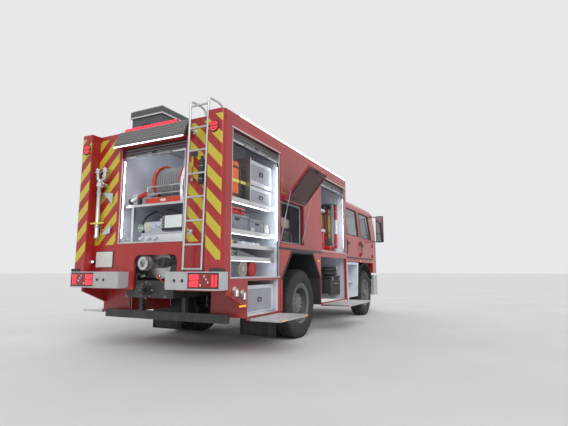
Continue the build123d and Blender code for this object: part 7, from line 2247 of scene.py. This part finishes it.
def chassis_kit():
    """Tank straps, cap and bands, spring clamps, lines and bolts along the frame."""
    piece = Piece("chassis_fittings")
    fuel_x = (-0.550, 0.110)
    for x in (fuel_x[0] + 0.12, fuel_x[1] - 0.12):
        piece.prism(TANK_STRAP, "x", x - 0.020, x + 0.020, "steel")
    piece.lathe([(0, 0), (0.045, 0), (0.045, 0.022), (0.038, 0.028), (0, 0.028)], (-0.30, -0.970, 0.985),
                (0, -1, 0.6), BLACK, 24)
    for z in (0.660, 0.880):
        for x in (-0.400, -0.050):
            torus(piece, (x, 0.593, z), AHEAD, 0.1015, 0.004, "steel", 36, 6)
    for side in (-1, 1):
        for x in (REAR_AXLE_X - 0.09, REAR_AXLE_X + 0.09):
            y = side * 0.520
            piece.pipe([(x, y - 0.05, 0.42), (x, y - 0.05, 0.80), (x, y + 0.05, 0.80), (x, y + 0.05, 0.42)],
                       0.010, "steel", 10)
        for z, radius, key in ((0.86, 0.008, BLACK), (0.86 - 0.025, 0.006, "orange_line")):
            piece.pipe([(x, side * 0.392, z) for x in (-3.30, -1.0, 1.2, 3.0)], radius, key, 8)
        for x in (-2.9, -2.2, -1.6, -0.2, 0.6, 1.4, 2.2):
            bolts(piece, (x, side * 0.4035, 0.80), (0, side, 0), 0.030, 4, 0.018)
    piece.done()


def mudflap_ribs():
    """Clamping bars and a raised border on the flaps behind the rear wheels."""
    piece = Piece("mudflap_fittings")
    for side in (-1, 1):
        ys = span(side, 0.570, 1.150)
        piece.box((-2.232, ys[0], 0.700), (-2.219, ys[1], 0.740), "steel", 0.003, 1)
        bolts_y = [ys[0] + 0.05 + k * (ys[1] - ys[0] - 0.1) / 3 for k in range(4)]
        for y in bolts_y:
            bolts(piece, (-2.232, y, 0.720), BACK, 0.0004, 1, 0.016)
        outline = rounded(ys[0] + 0.015, 0.125, ys[1] - 0.015, 0.690, 0.03)
        hole = rounded(ys[0] + 0.028, 0.138, ys[1] - 0.028, 0.677, 0.02)
        plate(piece, outline, [hole], "x", -2.2245, -2.2195, "tyre_rubber")
    piece.done()


chassis_kit()
mudflap_ribs()


# Front bay: tools on its forward wall, hoses on hooks, extinguishers and red cases at its foot

FORWARD_WALL = 0.770
KIT_Y = 1.060
BROAD_HEAD = [(-0.055, 0.0), (0.055, 0.0), (0.040, 0.085), (-0.030, 0.095)]
FLARED_HEAD = [(-0.035, 0.0), (0.030, 0.0), (0.048, 0.100), (-0.048, 0.100)]
WALL_TOOLS = [
    # y, top of the shaft, look, length, head, look of the head
    (0.90, 2.36, "yellow_plastic", 0.62, FLARED_HEAD, BLACK),
    (0.82, 2.40, "case_red", 0.70, BROAD_HEAD, "steel"),
    (0.74, 2.38, "yellow_plastic", 0.55, FLARED_HEAD, BLACK),
    (0.64, 2.40, BLACK, 0.74, BROAD_HEAD, "steel"),
]
RAIL_HOSES = [
    # x, y, length of the loop, look
    (0.02, 0.560, 0.80, "blue_strap"),
    (0.16, 0.580, 0.70, "grey_hose"),
    (0.30, 0.600, 0.80, "blue_strap"),
]


def hooked_hose(piece, x, y, z, drop, radius, key):
    """Long loop of hose or strap over a peg."""
    torus(piece, (x, y, z), LEFT, 0.045, 0.007, "steel", 20, 8)
    for k in range(3):
        spread = 0.030 + 0.018 * k
        low = z - drop + 0.03 * k
        left, right = x - spread, x + spread
        loop = [(left, low + 0.10), (left, z - 0.02), (x, z + 0.045), (right, z - 0.02),
                (right, low + 0.10), (x, low), (left, low + 0.10)]
        piece.pipe([(a, y - 0.02 * k, b) for a, b in loop], radius, key, 10, smooth=2)


def extinguisher(piece, x, y, z, height, radius, key):
    """Bottle with its head, hose and holding ring."""
    profile = [(0, 0), (radius, 0.006), (radius, height * 0.80), (radius * 0.7, height * 0.90),
               (0.020, height * 0.94), (0.020, height), (0, height)]
    piece.lathe(profile, (x, y, z), UP, key, 28)
    piece.box((x - 0.012, y - 0.045, z + height), (x + 0.012, y + 0.045, z + height + 0.020),
              BLACK, 0.004, 2)
    piece.pipe(
        [(x + 0.02, y, z + height * 0.97), (x + radius + 0.012, y, z + height * 0.88),
         (x + radius + 0.010, y, z + height * 0.30)],
        0.008, BLACK, 8, smooth=1)
    torus(piece, (x, y, z + height * 0.45), UP, radius + 0.0015, 0.005, "steel", 28, 6)


def front_bay_kit():
    """Tubes, tools on their board, hanging hoses, extinguishers, tool case and boxes."""
    for side, word in SIDES:
        piece = Piece(f"front_bay_kit_{word}")
        x = FORWARD_WALL
        tube_x = x - 0.055
        y = side * KIT_Y
        profile = [(0, 0), (0.032, 0.002), (0.032, 0.30), (0, 0.30)]
        for k, key in enumerate(("case_red", "bottle_white", "case_red")):
            piece.lathe(profile, (tube_x, y, 1.52 + 0.300 * k), UP, key, 24)
        piece.lathe([(0, 0), (0.036, 0.002), (0.036, 0.040), (0, 0.045)], (tube_x, y, 2.42), UP, BLACK, 24)
        for z in (1.60, 2.30):
            torus(piece, (tube_x, y, z), UP, 0.036, 0.006, "steel", 24, 8)
            piece.box((tube_x + 0.030, y - 0.02, z - 0.015), (x + 0.001, y + 0.02, z + 0.015),
                      "steel", 0.003, 1)
        piece.box((x - 0.012, side * 0.500, 1.560), (x + 0.001, side * 0.960, 2.500), ALUMINIUM, 0.003, 1)
        for dy, z, key, length, head, head_key in WALL_TOOLS:
            shaft = side * dy
            piece.rod((x - 0.045, shaft, z - length), (x - 0.045, shaft, z), 0.014, key, 14, 0.004)
            blade = [(shaft + a, z - 0.01 + b) for a, b in head]
            piece.prism(blade, "x", x - 0.060, x - 0.030, head_key, 0.004, 1)
            for clip in (z - 0.12, z - length + 0.10):
                piece.box((x - 0.062, shaft - 0.022, clip), (x - 0.011, shaft + 0.022, clip + 0.030),
                          BLACK, 0.005, 2)
        for hx, dy, drop, key in RAIL_HOSES:
            hooked_hose(piece, hx, side * dy, 2.46, drop, 0.012, key)
        piece.rod((-0.10, side * 0.575, 2.515), (0.60, side * 0.575, 2.515), 0.012, "steel", 14)
        for hx in (-0.08, 0.24, 0.58):
            piece.box((hx - 0.012, side * 0.440, 2.505), (hx + 0.012, side * 0.590, 2.525),
                      "steel", 0.003, 1)
        for k in range(3):
            extinguisher(piece, 0.02 + 0.175 * k, side * (0.86 + 0.02 * (k % 2)), DECK_Z + 0.001,
                         0.52 - 0.05 * (k % 2), 0.070, "case_red")
        tool_case(piece, (0.42, 0.62, DECK_Z + 0.002), (0.72, 1.04, DECK_Z + 0.16), side)
        for z, key in ((1.802, "case_red"), (2.182, "crate_grey")):
            inner_low, inner_high = span(side, 0.62, 1.05)
            piece.box((-0.52, inner_low, z), (-0.24, inner_high, z + 0.150), key, 0.012, 3)
            piece.box((-0.525, inner_low - 0.003, z + 0.118), (-0.235, inner_high + 0.003, z + 0.132),
                      BLACK, 0.003, 1)
        piece.done()


front_bay_kit()


# Low lockers: pale jambs behind the rear wheel, a hose box and suction hoses ahead of it

REAR_LOCKER_X = (-3.140, -2.320)
REAR_LOCKER_Z = (0.487, 0.928)
FRONT_LOCKER_X = (0.200, 0.760)


def low_lockers():
    """Pale jambs of the rear lockers; hose box on brackets and coiled suction hoses in the front ones."""
    for side, word in SIDES:
        piece = Piece(f"low_locker_kit_{word}")
        x0, x1 = REAR_LOCKER_X
        z0, z1 = REAR_LOCKER_Z
        for x in (x0 - 0.0005, x1 - 0.0025):
            piece.box((x, side * 0.700, z0), (x + 0.003, side * 1.247, z1), "light_grey")
        piece.box((x0, side * 0.700, z1 - 0.001), (x1, side * 1.247, z1 + 0.0015), "light_grey")
        x0, x1 = FRONT_LOCKER_X
        ys = span(side, 0.700, 1.120)
        piece.box((x0, ys[0], 0.600), (x1, ys[1], 0.900), BLACK, 0.014, 3)
        piece.box((x0 - 0.006, ys[0] - 0.006, 0.904), (x1 + 0.006, ys[1] + 0.006, 0.950), BLACK, 0.014, 3)
        face = side * 1.122
        grip = [(0.400, face, 0.800), (0.405, face + side * 0.030, 0.800),
                (0.555, face + side * 0.030, 0.800), (0.560, face, 0.800)]
        piece.pipe(grip, 0.007, "steel", 12, smooth=1)
        for x in (x0 + 0.080, x1 - 0.110):
            piece.box((x, face - side * 0.004, 0.865), (x + 0.030, face + side * 0.012, 0.925),
                      "steel", 0.003, 1)
        for y in (0.740, 1.060):
            piece.box((x0, side * y, 0.572), (0.811, side * (y + 0.030), 0.600), "frame_grey", 0.003, 1)
        for k in range(2):
            torus(piece, (0.480, side * 0.905, 0.996 + 0.088 * k), UP, 0.190 - 0.012 * k,
                  0.044, BLACK, 44, 14)
        claw_coupling(piece, (0.480, side * 1.100, 1.084), (0.94, 0, 0.34), 0.056)
        piece.done()


low_lockers()


# Small body parts: sloped sills at the locker feet, roof joints, panel seams and tie-down rings

def body_details():
    """Sills, roof joints, tread ribs, tie-down rings and panel seams."""
    piece = Piece("body_details")
    for side in (-1, 1):
        sill = [(1.190, 0.474), (1.236, 0.474), (1.236, 0.480), (1.210, 0.512), (1.190, 0.512)]
        piece.prism([(side * a, b) for a, b in sill], "x", -3.155, -2.310, ALUMINIUM, 0.002, 1)
        for x in (-2.78, -1.84, -0.90, 0.04):
            piece.box((x - 0.006, side * 0.30, ROOF_Z - 0.001), (x + 0.006, side * 1.16, ROOF_Z + 0.0035),
                      ALUMINIUM, 0.001, 1)
        for x in (-2.35, -0.55):
            torus(piece, (x, side * 1.10, ROOF_Z + 0.004), (0, side, 1), 0.030, 0.006, "steel", 24, 8)
            low, high = (x - 0.02, side * 1.10, ROOF_Z), (x + 0.02, side * 1.15, ROOF_Z + 0.010)
            piece.box(low, high, "steel", 0.003, 1)
        rib = span(side, 0.34, 1.10)
        for i in range(26):
            x = -3.10 + i * 0.148
            if CHEST_SPAN[0] - 0.03 < x < CHEST_SPAN[1] + 0.03 and side > 0:
                continue
            for k in range(6):
                y = rib[0] + 0.06 + k * (rib[1] - rib[0] - 0.12) / 5
                piece.box((x - 0.024, y - 0.004, ROOF_Z - 0.001), (x + 0.024, y + 0.004, ROOF_Z + 0.0022),
                          ALUMINIUM)
        for x, z0, z1 in ((-1.385, 1.40, 2.90), (-2.248, 1.40, 2.90), (-0.630, 0.55, 2.80)):
            piece.box((x - 0.0015, side * (BODY_HALF - 0.0005), z0),
                      (x + 0.0015, side * (BODY_HALF + 0.0006), z1), BLACK)
        piece.box((-3.700, side * (BODY_HALF - 0.0005), 2.884), (0.840, side * (BODY_HALF + 0.0006), 2.887),
                  BLACK)
    piece.done()


body_details()


# Camera, floor and light

AMBIENT = 0.60


def camera():
    """Camera of the photograph."""
    data = bpy.data.cameras.new("camera")
    data.sensor_width = SENSOR
    data.lens = CAMERA_FOCAL / PHOTO_WIDTH * SENSOR
    data.clip_end = 500.0
    obj = bpy.data.objects.new("camera", data)
    yaw, pitch = math.radians(CAMERA_YAW), math.radians(CAMERA_PITCH)
    look = Vector((math.cos(pitch) * math.cos(yaw), math.cos(pitch) * math.sin(yaw), math.sin(pitch)))
    obj.location = CAMERA_PLACE
    obj.rotation_mode = "QUATERNION"
    obj.rotation_quaternion = look.to_track_quat("-Z", "Y")
    bpy.context.scene.collection.objects.link(obj)
    bpy.context.scene.camera = obj


def floor():
    """Plain floor."""
    look = Look("floor", (0.72, 0.72, 0.71), 0.8)
    patches = look.spread(look.noise(0.6, 4.0), 0.3, 0.7)
    look.use("Base Color", look.mix(patches, (0.69, 0.69, 0.68), (0.74, 0.74, 0.73)))
    look.use("Normal", look.bump(look.noise(90.0, 2.0), 0.1, 0.001))
    part = bmesh.new()
    bmesh.ops.create_circle(part, cap_ends=True, radius=240.0, segments=64)
    mesh = bpy.data.meshes.new("floor")
    part.to_mesh(mesh)
    part.free()
    mesh.materials.append(look.material)
    obj = bpy.data.objects.new("floor", mesh)
    bpy.context.scene.collection.objects.link(obj)


def sun(name, place, strength, softness):
    """Broad even light from the direction of place."""
    data = bpy.data.lights.new(name, "SUN")
    data.angle = math.radians(softness)
    data.energy = strength
    obj = bpy.data.objects.new(name, data)
    obj.rotation_mode = "QUATERNION"
    obj.rotation_quaternion = (-Vector(place)).to_track_quat("-Z", "Y")
    bpy.context.scene.collection.objects.link(obj)


def world():
    """Even white light; mirrors and glass see a light grey instead."""
    made = bpy.data.worlds.new("studio")
    made.use_nodes = True
    tree = made.node_tree
    back = tree.nodes["Background"]
    back.inputs["Color"].default_value = (1.0, 1.0, 1.0, 1.0)
    back.inputs["Strength"].default_value = AMBIENT
    seen = tree.nodes.new("ShaderNodeBackground")
    seen.inputs["Color"].default_value = (0.80, 0.81, 0.82, 1.0)
    path = tree.nodes.new("ShaderNodeLightPath")
    share = path.outputs["Is Camera Ray"]
    for ray in ("Is Glossy Ray", "Is Transmission Ray"):
        either = tree.nodes.new("ShaderNodeMath")
        either.operation = "MAXIMUM"
        tree.links.new(share, either.inputs[0])
        tree.links.new(path.outputs[ray], either.inputs[1])
        share = either.outputs[0]
    blend = tree.nodes.new("ShaderNodeMixShader")
    tree.links.new(share, blend.inputs[0])
    tree.links.new(back.outputs[0], blend.inputs[1])
    tree.links.new(seen.outputs[0], blend.inputs[2])
    tree.links.new(blend.outputs[0], tree.nodes["World Output"].inputs["Surface"])
    bpy.context.scene.world = made


camera()
floor()
world()
sun("key", (-9.0, -7.0, 9.5), 1.35, 45.0)
sun("fill", (8.0, 8.0, 7.0), 0.35, 70.0)
bpy.context.scene.view_settings.view_transform = "Standard"
